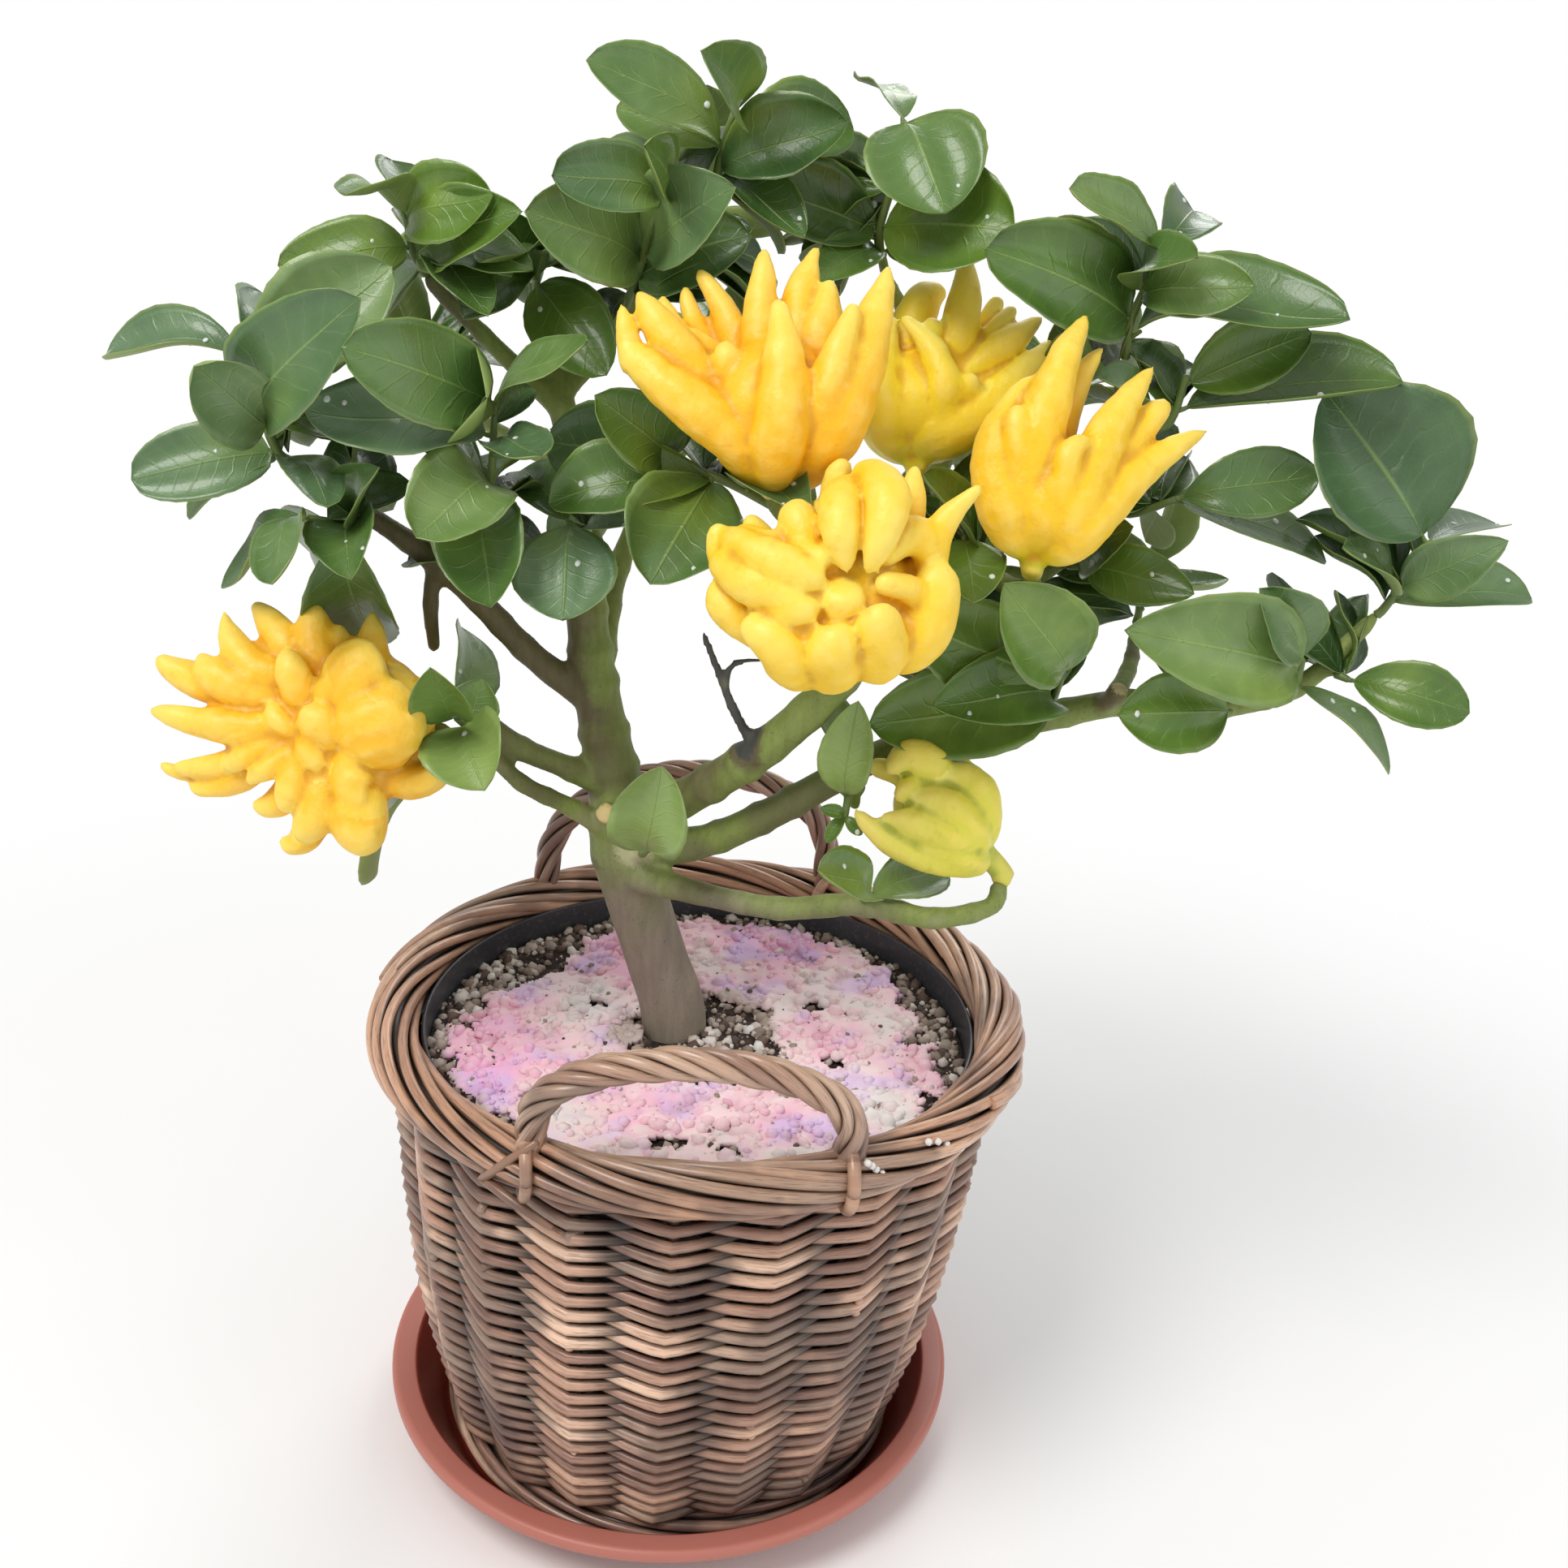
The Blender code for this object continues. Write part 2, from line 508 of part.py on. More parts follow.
            ((6, 11, -20), (-11, 21, -30), (-26, 31, -38), (7.4, 6.6, 1.9)),
            ((17, -15, -22), (15, -32, -32), (10, -45, -36), (7.4, 7.0, 2.0)),
        ],
    },
    "fruit_closed": {
        "stalk": "low_bough",
        "centre": (112, -54, 373),
        "body": ((4, 0, -6), (25, 25, 18)),
        "fingers": [
            ((19, -22, 0), (-14, -17, 6), (-38, 2, 4), (5.5, 6.6, 1.9)),
            ((15, -21, 4), (-7, -13, 8), (-28, -2, 6), (5.9, 6.0, 1.9)),
            ((12, -13, 8), (-7, -6, 12), (-27, -1, 8), (5.8, 7.4, 1.9)),
            ((15, -10, 8), (1, 3, 12), (-14, 5, 10), (6.6, 7.7, 2.2)),
            ((17, 3, 4), (9, 14, 6), (-3, 11, 8), (8.9, 7.9, 3.9)),
            ((2, 11, 4), (-11, 24, 8), (-23, 16, 6), (6.8, 7.9, 3.0)),
            ((-3, 12, 6), (-14, 10, 8), (-19, 4, 8), (4.0, 5.1, 2.0)),
            ((9, 16, -4), (0, 28, -2), (-3, 31, 0), (7.4, 5.3, 2.5)),
            ((-10, 14, -6), (-25, 19, -6), (-31, 19, -4), (4.5, 4.3, 2.2)),
            ((12, 11, -14), (-1, 17, -20), (-10, 14, -22), (6.7, 5.9, 2.5)),
            ((13, -6, -14), (-1, -3, -20), (-12, -4, -22), (6.7, 6.2, 2.5)),
        ],
    },
}

# Shoots at the back bear their leaves in a spiral.
BACK_SPRAYS = {
    "spray_back_middle": {
        "stub": 4,
        "shoot": [(-10, 124, 500), (-8, 138, 511), (-4, 150, 530)],
        "count": 5,
    },
    "spray_back_left": {
        "stub": 4,
        "shoot": [(-130, 100, 512), (-142, 111, 520), (-149, 118, 537)],
        "count": 5,
    },
    "spray_back_right": {
        "stub": 4,
        "shoot": [(162, 124, 506), (172, 133, 514), (178, 138, 532)],
        "count": 5,
    },
    "spray_back_top": {
        "stub": 4,
        "shoot": [(-22, 116, 572), (-16, 126, 584), (-11, 131, 602)],
        "count": 5,
    },
    "spray_back_low": {
        "stub": 4,
        "shoot": [(214, 80, 420), (217, 92, 428), (216, 102, 443)],
        "count": 4,
    },
    "spray_back_inner": {
        "stub": 9,
        "shoot": [(-30, 71, 466), (-42, 90, 461), (-58, 103, 466)],
        "count": 4,
    },
    "spray_back_side": {
        "stub": 8,
        "shoot": [(134, 93, 505), (122, 110, 497), (110, 123, 493)],
        "count": 4,
    },
}
BACK_LEAF_LENGTH = (0.048, 0.066)
BACK_LEAF_SPREAD = math.radians(62)
GOLDEN_ANGLE = math.radians(137.5)
BACK_SEED = 11

# A leaf that would touch its neighbour is bent aside by the first of these that
# clears it: turn and lift in degrees, and length.
BENDS = [(0, 0, 1.0)]
for length in (1.0, 0.84, 0.68):
    for reach in (7, 14, 22, 31, 42):
        for step in range(8):
            angle = step * math.pi / 4
            BENDS.append((reach * math.cos(angle), reach * math.sin(angle), length))

LEAF_STATIONS = ((0.34, 0.94), (0.72, 0.82))
LEAF_BREADTH = 0.50
LEAF_CLEARANCE = 0.0005
PLANT_AXIS = Vector((-0.030, 0.015, 0.0))

# Where a finger's sections stand, how deep its root starts in the body, and how
# finely the fingers are run together before the rind is cut to flat facets.
FINGER_RINGS = (0.0, 0.25, 0.5, 0.7, 0.88)
FINGER_DEPTH = 0.55
RIND_GRAIN = 0.0012
FACETS_A_FINGER = 32
MOST_SKIN_TRIES = 16
SKIN_STEP = 0.04


def clear_scene():
    for item in list(bpy.data.objects):
        bpy.data.objects.remove(item)


def make_material(name, colour, roughness):
    material = bpy.data.materials.new(name)
    material.use_nodes = True
    shader = material.node_tree.nodes["Principled BSDF"]
    shader.inputs["Base Color"].default_value = (*colour, 1.0)
    shader.inputs["Roughness"].default_value = roughness
    shader.inputs["Metallic"].default_value = 0.0
    material.diffuse_color = (*colour, 1.0)
    return material


def add_object(name, verts, faces, material):
    mesh = bpy.data.meshes.new(name)
    mesh.from_pydata(verts, [], faces)
    mesh.materials.append(material)
    round_off(mesh)
    item = bpy.data.objects.new(name, mesh)
    bpy.context.scene.collection.objects.link(item)
    return item


def round_off(mesh):
    """Shades the gentle edges smooth and leaves the others sharp."""
    mesh.shade_smooth()
    mesh.set_sharp_from_angle(angle=SHARP_ANGLE)


def lean(point):
    return Vector((point[0] + BASKET_LEAN * point[2], point[1], point[2]))


def turned(profile, sides):
    """A closed turned solid whose profile runs from the axis, round the outside, to the axis."""
    verts = [Vector((0, 0, profile[0][1]))]
    for radius, height in profile[1:-1]:
        for side in range(sides):
            angle = math.tau * side / sides
            verts.append(Vector((radius * math.cos(angle), radius * math.sin(angle), height)))
    verts.append(Vector((0, 0, profile[-1][1])))
    last = len(verts) - 1
    rings = len(profile) - 2
    faces = []
    for side in range(sides):
        after = (side + 1) % sides
        faces.append((0, 1 + after, 1 + side))
        for ring in range(rings - 1):
            low = 1 + ring * sides
            faces.append((low + side, low + after, low + sides + after, low + sides + side))
        top = 1 + (rings - 1) * sides
        faces.append((top + side, top + after, last))
    return verts, faces


def ring_solid(sections):
    """A closed ring from sections of equal length, each running round the tube."""
    verts = [point for section in sections for point in section]
    count, around = len(sections), len(sections[0])
    faces = []
    for index in range(count):
        after = (index + 1) % count
        for side in range(around):
            beside = (side + 1) % around
            faces.append((index * around + side, after * around + side,
                          after * around + beside, index * around + beside))
    return verts, faces


def frames_along(points):
    """A forward, side and up direction at each point, carried along without twist."""
    spans = [(after - before).normalized() for before, after in zip(points, points[1:])]
    frames = []
    side = None
    for before, after in zip([spans[0]] + spans, spans + [spans[-1]]):
        forward = (before + after).normalized()
        if side is None:
            helper = Vector((0, 0, 1)) if abs(forward.z) < 0.9 else Vector((0, -1, 0))
            side = forward.cross(helper).normalized()
        side = (side - forward * side.dot(forward)).normalized()
        frames.append((forward, side, forward.cross(side)))
    return frames


def tube(points, radii, sides, twist=0.0, groove=0.0, tip=None):
    """A closed tube; alternate sides sink by the groove, and the section turns by the twist."""
    verts = []
    for index, (point, frame) in enumerate(zip(points, frames_along(points))):
        for side in range(sides):
            angle = math.tau * side / sides + twist * index
            reach = radii[index] * (1 - groove * (side % 2))
            verts.append(point + (frame[1] * math.cos(angle) + frame[2] * math.sin(angle)) * reach)
    faces = [tuple(range(sides))[::-1]]
    for index in range(len(points) - 1):
        low = index * sides
        for side in range(sides):
            after = (side + 1) % sides
            faces.append((low + side, low + after, low + sides + after, low + sides + side))
    low = (len(points) - 1) * sides
    if tip:
        verts.append(tip)
        faces += [(low + side, low + (side + 1) % sides, len(verts) - 1) for side in range(sides)]
    else:
        faces.append(tuple(range(low, low + sides)))
    return verts, faces


def fuse(name, pieces, material):
    """One object from pieces that overlap, joined by a Boolean union."""
    first = add_object(name, *pieces[0], material)
    join_to(first, pieces[1:], material)
    return first


def join_to(first, pieces, material):
    group = bpy.data.collections.new(first.name + "_pieces")
    for index, piece in enumerate(pieces):
        extra = add_object(f"{first.name}_{index}", *piece, material)
        bpy.context.scene.collection.objects.unlink(extra)
        group.objects.link(extra)
    bpy.context.scene.collection.children.link(group)
    join = first.modifiers.new("join", "BOOLEAN")
    join.operation = "UNION"
    join.operand_type = "COLLECTION"
    join.collection = group
    join.solver = "MANIFOLD"
    settle(first)
    for extra in list(group.objects):
        bpy.data.objects.remove(extra)
    bpy.data.collections.remove(group)


def settle(item):
    """Turns what the modifiers make into the object's own mesh."""
    graph = bpy.context.evaluated_depsgraph_get()
    made = bpy.data.meshes.new_from_object(item.evaluated_get(graph))
    item.modifiers.clear()
    drop_scraps(made)
    round_off(made)
    item.data = made


def melt(name, pieces, facets, material):
    """One object from pieces run together into a skin, which is then cut to flat facets.

    The grain of the skin is made a little coarser until no two facets cross."""
    verts = []
    faces = []
    for points, sides in pieces:
        faces += [[index + len(verts) for index in side] for side in sides]
        verts += points
    item = add_object(name, verts, faces, material)
    loose = item.data
    for coarser in range(MOST_SKIN_TRIES):
        item.data = loose
        skin = item.modifiers.new("skin", "REMESH")
        skin.mode = "VOXEL"
        skin.voxel_size = RIND_GRAIN * (1 + SKIN_STEP * coarser)
        settle(item)
        triangles = sum(len(face.vertices) - 2 for face in item.data.polygons)
        fewer = item.modifiers.new("facets", "DECIMATE")
        fewer.ratio = facets / triangles
        settle(item)
        if not crosses_itself(item.data):
            break
    return item


def crosses_itself(mesh):
    """Whether two facets that share no corner meet."""
    shell = bmesh.new()
    shell.from_mesh(mesh)
    bmesh.ops.triangulate(shell, faces=shell.faces)
    shell.faces.ensure_lookup_table()
    tree = BVHTree.FromBMesh(shell)
    pairs = [(shell.faces[a], shell.faces[b]) for a, b in tree.overlap(tree) if a < b]
    crossed = any(set(one.verts).isdisjoint(other.verts) for one, other in pairs)
    shell.free()
    return crossed


def drop_scraps(mesh):
    """Keeps the largest body: the rest are sealed hollows between the pieces, or crumbs."""
    shell = bmesh.new()
    shell.from_mesh(mesh)
    left = set(shell.verts)
    bodies = []
    while left:
        body = {left.pop()}
        edge = set(body)
        while edge:
            edge = {link.other_vert(vert) for vert in edge for link in vert.link_edges} & left
            left -= edge
            body |= edge
        bodies.append(body)
    bodies.sort(key=len)
    for body in bodies[:-1]:
        bmesh.ops.delete(shell, geom=list(body), context="VERTS")
    shell.to_mesh(mesh)
    shell.free()


def cut(item, cutters):
    for index, cutter in enumerate(cutters):
        tool = add_object(f"{item.name}_cutter_{index}", *cutter, item.data.materials[0])
        tool.hide_render = True
        tool.display_type = "WIRE"
        hole = item.modifiers.new("hole", "BOOLEAN")
        hole.operation = "DIFFERENCE"
        hole.object = tool


def build_saucer(material):
    profile = [
        (0, 0), (SAUCER_BASE_RADIUS, 0), SAUCER_UNDER_RIM, (SAUCER_RADIUS, 0.0290),
        (SAUCER_RADIUS, SAUCER_HEIGHT - 0.0015), (SAUCER_RADIUS - 0.0020, SAUCER_HEIGHT),
        (SAUCER_RADIUS - SAUCER_LIP, SAUCER_HEIGHT - 0.0010), *SAUCER_INSIDE,
        (SAUCER_BASE_RADIUS + 0.004, SAUCER_FLOOR), (0, SAUCER_FLOOR),
    ]
    return add_object("saucer", *turned(profile, SAUCER_SIDES), material)


def basket_radius(height):
    for (low, inner), (high, outer) in zip(BASKET_PROFILE, BASKET_PROFILE[1:]):
        if height <= high:
            return inner + (outer - inner) * (height - low) / (high - low)
    return BASKET_PROFILE[-1][1]


def build_weave(material):
    """The side of the basket: rows that pass in front of one stake and behind the next."""
    columns = 2 * STAKES
    levels = 2 * WEAVE_ROWS
    sections = []
    for column in range(columns):
        angle = math.tau * column / columns
        wave = WEAVE_WAVE * math.cos(STAKES / 2 * angle)
        outside = []
        for level in range(levels + 1):
            height = WEAVE_BOTTOM + (WEAVE_TOP - WEAVE_BOTTOM) * level / levels
            radius = basket_radius(height) - WEAVE_WAVE
            if level % 2:
                radius += wave * (-1) ** (level // 2)
            elif level < levels:
                radius -= 2 * WEAVE_RIDGE
            outside.append((radius, height))
        inside = []
        for height in (WEAVE_TOP, 0.120, WEAVE_BOTTOM):
            inside.append((basket_radius(height) - WEAVE_DEPTH, height))
        turn = Vector((math.cos(angle), math.sin(angle), 0))
        section = [turn * radius + Vector((0, 0, height)) for radius, height in outside + inside]
        sections.append([lean(point) for point in section])
    verts, faces = ring_solid(sections)
    return add_object("basket_wall", verts, faces, material)


def twisted_ring(radius, half, middle, sides, segments, turns, groove, low, high):
    sections = []
    for segment in range(segments):
        angle = math.tau * segment / segments
        turn = Vector((math.cos(angle), math.sin(angle), 0))
        section = []
        for side in range(sides):
            around = math.tau * (side / sides + turns * segment / segments)
            reach = half * (1 - groove * (side % 2))
            height = min(high, max(low, middle + reach * math.sin(around)))
            section.append(lean(turn * (radius + reach * math.cos(around)) + Vector((0, 0, height))))
        sections.append(section)
    return ring_solid(sections)


def build_basket(material):
    floor = SAUCER_FLOOR + GAP
    foot = twisted_ring(FOOT_RADIUS, FOOT_HALF, FOOT_MIDDLE, sides=6, segments=32, turns=4,
                        groove=0.12, low=floor, high=WEAVE_BOTTOM - GAP)
    add_object("basket_foot", *foot, material)
    base = [(0, floor), (BASE_RADIUS, floor), (BASE_RADIUS, BASE_TOP), (0, BASE_TOP)]
    verts, faces = turned(base, POT_SIDES)
    add_object("basket_base", [lean(point) for point in verts], faces, material)
    build_weave(material)
    rim = twisted_ring(BORDER_RADIUS, BORDER_HALF, BORDER_MIDDLE, sides=8, segments=40, turns=5,
                       groove=0.12, low=BORDER_SEAT, high=LINER_TOP + BORDER_HALF * 2)
    border = add_object("basket_border", *rim, material)
    sockets = []
    for name, handle in HANDLES.items():
        path = handle_path(handle)
        radii = [HANDLE_HALF] * len(path)
        add_object(name, *tube(path, radii, 6, twist=math.radians(38), groove=0.2), material)
        for end in (path[0], path[-1]):
            low = end - Vector((0, 0, SEAT_PLAY))
            high = end + Vector((0, 0, CUTTER_REACH))
            sockets.append(tube([low, high], [HANDLE_HALF + SOCKET_PLAY] * 2, SOCKET_SIDES))
    cut(border, sockets)


def handle_path(handle, steps=10):
    """Up out of the border, over in an arch and down into it again."""
    left, right = handle["ends"]
    feet = [Vector((x, handle["side"] * math.sqrt(BORDER_RADIUS ** 2 - x * x), 0)) for x in (left, right)]
    shoulder = HANDLE_SOCKET + 0.008
    path = [feet[0] + Vector((0, 0, HANDLE_SOCKET))]
    for step in range(steps + 1):
        angle = math.pi * step / steps
        foot = feet[0].lerp(feet[1], (1 - math.cos(angle)) / 2)
        rise = (handle["top"] - shoulder) * math.sin(angle) ** 0.8
        foot.y += handle["side"] * handle["bulge"] * math.sin(angle)
        path.append(foot + Vector((0, 0, shoulder + rise)))
    path.append(feet[1] + Vector((0, 0, HANDLE_SOCKET)))
    return [lean(point) for point in path]


def build_liner(material):
    floor = LINER_OUTSIDE[0][1]
    inside = [(radius - LINER_WALL, max(height, floor + LINER_WALL)) for radius, height in LINER_OUTSIDE]
    profile = [(0, floor), *LINER_OUTSIDE, *inside[::-1], (0, floor + LINER_WALL)]
    verts, faces = turned(profile, POT_SIDES)
    add_object("liner_pot", [lean(point) for point in verts], faces, material)
    return [(radius - GAP, height) for radius, height in inside]


def build_soil(wall, material):
    floor = wall[0][1] + GAP
    below, above = wall[-2:]
    share = (SOIL_TOP - below[1]) / (above[1] - below[1])
    top = below[0] + (above[0] - below[0]) * share
    profile = [(0, floor), (wall[0][0], floor)] + wall[1:-1] + [(top, SOIL_TOP), (0, SOIL_TOP)]
    verts, faces = turned(profile, POT_SIDES)
    soil = add_object("soil", [lean(point) for point in verts], faces, material)
    low = trunk_foot() - Vector((0, 0, STUMP_DEPTH + SEAT_PLAY))
    high = trunk_foot() + Vector((0, 0, CUTTER_REACH))
    cut(soil, [tube([low, high], [STUMP_RADIUS + STUMP_PLAY] * 2, CUTTER_SIDES)])


def trunk_foot():
    return Vector(WOOD["trunk"][0][:3]) * MM


def build_dressing(material):
    """A crumbly plate on the soil, open at the back where bare soil shows."""
    columns = 22
    start = math.radians(135)
    sweep = math.radians(330)
    radii = (0.039, 0.067, 0.096, 0.124)
    floor = SOIL_TOP + GAP
    top = []
    bottom = []
    for column in range(columns):
        angle = start + sweep * column / (columns - 1)
        for ring, radius in enumerate(radii):
            ragged = noise.noise(Vector((angle * 3.1, ring * 1.7, 4.2)))
            radius += 0.006 * ragged * (1.0 if ring in (0, len(radii) - 1) else 0.4)
            crumb = noise.noise(Vector((column * 1.9, ring * 2.3, 7.7)))
            edge = 0.55 if ring in (0, len(radii) - 1) else 1.0
            height = DRESSING_THICKNESS * edge * (1 + 0.45 * crumb)
            place = Vector((radius * math.cos(angle), radius * math.sin(angle), floor))
            bottom.append(lean(place))
            top.append(lean(place + Vector((0, 0, height))))
    rings = len(radii)
    verts = top + bottom
    under = len(top)
    faces = []
    for column in range(columns - 1):
        for ring in range(rings - 1):
            a = column * rings + ring
            b = a + rings
            faces.append((a, a + 1, b + 1, b))
            faces.append((under + b, under + b + 1, under + a + 1, under + a))
        for ring, flip in ((0, False), (rings - 1, True)):
            a = column * rings + ring
            b = a + rings
            wall = (a, b, under + b, under + a)
            faces.append(wall[::-1] if flip else wall)
    for column, flip in ((0, True), (columns - 1, False)):
        for ring in range(rings - 1):
            a = column * rings + ring
            wall = (a, a + 1, under + a + 1, under + a)
            faces.append(wall if flip else wall[::-1])
    item = add_object("top_dressing", verts, faces, material)
    shell = bmesh.new()
    shell.from_mesh(item.data)
    bmesh.ops.recalc_face_normals(shell, faces=shell.faces)
    shell.to_mesh(item.data)
    shell.free()


def point_along(path, share):
    """The point at a share of a path's length."""
    spans = [(b - a).length for a, b in zip(path, path[1:])]
    left = share * sum(spans)
    for start, end, span in zip(path, path[1:], spans):
        if left <= span:
            return start.lerp(end, left / span)
        left -= span
    return path[-1].copy()


def shoot_path(spray):
    """The shoot beyond the stub that its stem holds out to it."""
    path = [Vector(point) * MM for point in spray["shoot"]]
    forward = (path[1] - path[0]).normalized()
    stub_end = path[0] + forward * spray["stub"] * MM
    return [stub_end + forward * GAP] + path[1:], (path[0], stub_end)


def build_trunk(material):
    pieces = []
    for name, stem in WOOD.items():
        points = [Vector(point[:3]) * MM for point in stem]
        radii = [point[3] * MM for point in stem]
        sides = 5 if radii[0] < 0.0085 else 6
        if name == "trunk":
            foot = trunk_foot()
            points = [foot - Vector((0, 0, STUMP_DEPTH)), foot + Vector((0, 0, 0.006))] + points[1:]
            radii = [STUMP_RADIUS, STUMP_RADIUS] + radii[1:]
        if radii[0] > 0.012:
            sides = 8
        pieces.append(tube(points, radii, sides))
    for spray in [*SPRAYS.values(), *BACK_SPRAYS.values()]:
        start, end = shoot_path(spray)[1]
        pieces.append(tube([start, end], [STUB_RADIUS, STUB_RADIUS * 0.9], 4))
    return fuse("trunk", pieces, material)


def view_axes():
    """Right, up and near in the view that the fruits are measured in."""
    right = Vector((1, 0, 0))
    up = Vector((0, math.sin(VIEW_TILT), math.cos(VIEW_TILT)))
    near = Vector((0, -math.cos(VIEW_TILT), math.sin(VIEW_TILT)))
    turned_right = right * math.cos(VIEW_ROLL) + up * math.sin(VIEW_ROLL)
    turned_up = up * math.cos(VIEW_ROLL) - right * math.sin(VIEW_ROLL)
    return turned_right, turned_up, near


def fruit_point(fruit, place):
    right, up, near = view_axes()
    centre = Vector(fruit["centre"]) * MM
    return centre + (right * place[0] + up * place[1] + near * place[2]) * MM


def bent(start, middle, end, share):
    """A point on the curve that passes through all three."""
    pull = middle * 2 - (start + end) / 2
    return start * (1 - share) ** 2 + pull * 2 * share * (1 - share) + end * share ** 2


def build_fruit(name, fruit, material):
    """A rounded body whose carpels part into tapering fingers."""
    place, reach = fruit["body"]
    right, up, near = view_axes()
    ball = bmesh.new()
    bmesh.ops.create_icosphere(ball, subdivisions=2, radius=1.0)
    middle = fruit_point(fruit, place)
    verts = []
    for vert in ball.verts:
        axes = (right * reach[0] * vert.co.x, up * reach[1] * vert.co.y, -near * reach[2] * vert.co.z)
        verts.append(middle + (axes[0] + axes[1] + axes[2]) * MM)
    pieces = [(verts, [[vert.index for vert in face.verts] for face in ball.faces])]
    ball.free()
    for start, bend, end, widths in fruit["fingers"]:
        away = math.hypot(*[(start[axis] - place[axis]) / reach[axis] for axis in range(3)])
        ends = [fruit_point(fruit, point) for point in (start, bend, end)]
        path = [bent(*ends, share) for share in FINGER_RINGS]
        radii = [bent(*widths, share) * MM for share in FINGER_RINGS]
        if away > FINGER_DEPTH:
            path.insert(0, middle.lerp(ends[0], FINGER_DEPTH / away))
            radii.insert(0, radii[0])
        pieces.append(tube(path, radii, 8, tip=ends[2]))
    stalk = [Vector(point[:3]) * MM for point in WOOD[fruit["stalk"]][-2:]]
    forward = (stalk[1] - stalk[0]).normalized()
    neck = [stalk[1] + forward * GAP, stalk[1] + forward * 0.004, middle]
    item = melt(name, pieces, FACETS_A_FINGER * len(fruit["fingers"]), material)
    join_to(item, [tube(neck, [0.0042, 0.0046, 0.0070], 6)], material)
    return item


def leaf_facing(foot, tip, width, seen):
    """The way a blade faces, turned about its length until it looks as broad as it is seen."""
    along = (tip - foot).normalized()
    if seen is None:
        outward = (foot + tip) / 2 - PLANT_AXIS
        outward.z = 0
        facing = Vector((0, 0, 0.75)) + outward.normalized() * 0.45
        return (facing - along * facing.dot(along)).normalized()
    near = view_axes()[2]
    square = (near - along * near.dot(along)).normalized()
    aside = along.cross(square)
    if aside.z < 0:
        aside.negate()
    share = min(1.0, seen / width)
    return square * share + aside * math.sqrt(1 - share * share)


def leaf_blade(foot, tip, width, seen, margin=0.0):
    """A folded, arched blade, split into triangles alike on both faces."""
    line = tip - foot
    along = line.normalized()
    normal = leaf_facing(foot, tip, width, seen)
    across = along.cross(normal)
    top = [foot + normal * margin]
    for share, spread in LEAF_STATIONS:
        half = width / 2 * spread + margin
        arch = LEAF_ARCH * line.length * 4 * share * (1 - share) + margin
        middle = foot + line * share + normal * arch
        rise = normal * LEAF_FOLD * half
        top += [middle - across * half + rise, middle, middle + across * half + rise]
    top.append(tip + (along + normal) * margin)
    verts = top + [point - normal * (LEAF_THICKNESS + 2 * margin) for point in top]
    under = len(top)
    surface = [(0, 2, 1), (0, 3, 2)]
    for station in range(len(LEAF_STATIONS) - 1):
        a = station * 3 + 1
        surface += [(a, a + 1, a + 4), (a, a + 4, a + 3), (a + 1, a + 2, a + 4), (a + 2, a + 5, a + 4)]
    a = under - 4
    surface += [(a, a + 1, under - 1), (a + 1, a + 2, under - 1)]
    left = [0] + list(range(1, under - 1, 3)) + [under - 1]
    right = [0] + list(range(3, under - 1, 3)) + [under - 1]
    faces = surface + [(under + c, under + b, under + a) for a, b, c in surface]
    for a, b in zip(left, left[1:]):
        faces += [(a, b, under + b), (a, under + b, under + a)]
    for a, b in zip(right, right[1:]):
        faces += [(b, a, under + a), (b, under + a, under + b)]
    return verts, faces


def outer_part(blade):
    """The faces of a blade from its first broad place on."""
    verts, faces = blade
    across = len(verts) // 2
    return verts, [face for face in faces if all(index % across > 0 for index in face)]


def bent_tip(foot, tip, bend):
    turn, lift, length = bend
    line = Matrix.Rotation(math.radians(turn), 3, "Z") @ (tip - foot)
    level = Vector((-line.y, line.x, 0))
    if level.length < 1e-6:
        level = Vector((1, 0, 0))
    return foot + Matrix.Rotation(math.radians(lift), 3, level) @ line * length


def back_leaves(spray, draw):
    """Leaves in a spiral round a shoot, opening away from it."""
    path = shoot_path(spray)[0]
    forward = (path[-1] - path[0]).normalized()
    side = forward.cross(Vector((0, 0, 1))).normalized()
    lift = side.cross(forward)
    leaves = []
    for index in range(spray["count"]):
        share = 0.25 + 0.75 * index / (spray["count"] - 1)
        angle = GOLDEN_ANGLE * index + draw.uniform(-0.3, 0.3)
        length = draw.uniform(*BACK_LEAF_LENGTH)
        spread = BACK_LEAF_SPREAD * (1.1 - 0.45 * share)
        reach = side * math.cos(angle) + lift * math.sin(angle)
        line = forward * math.cos(spread) + reach * math.sin(spread)
        tip = point_along(path, share) + line * length
        leaves.append((share, tip / MM, None))
    return leaves


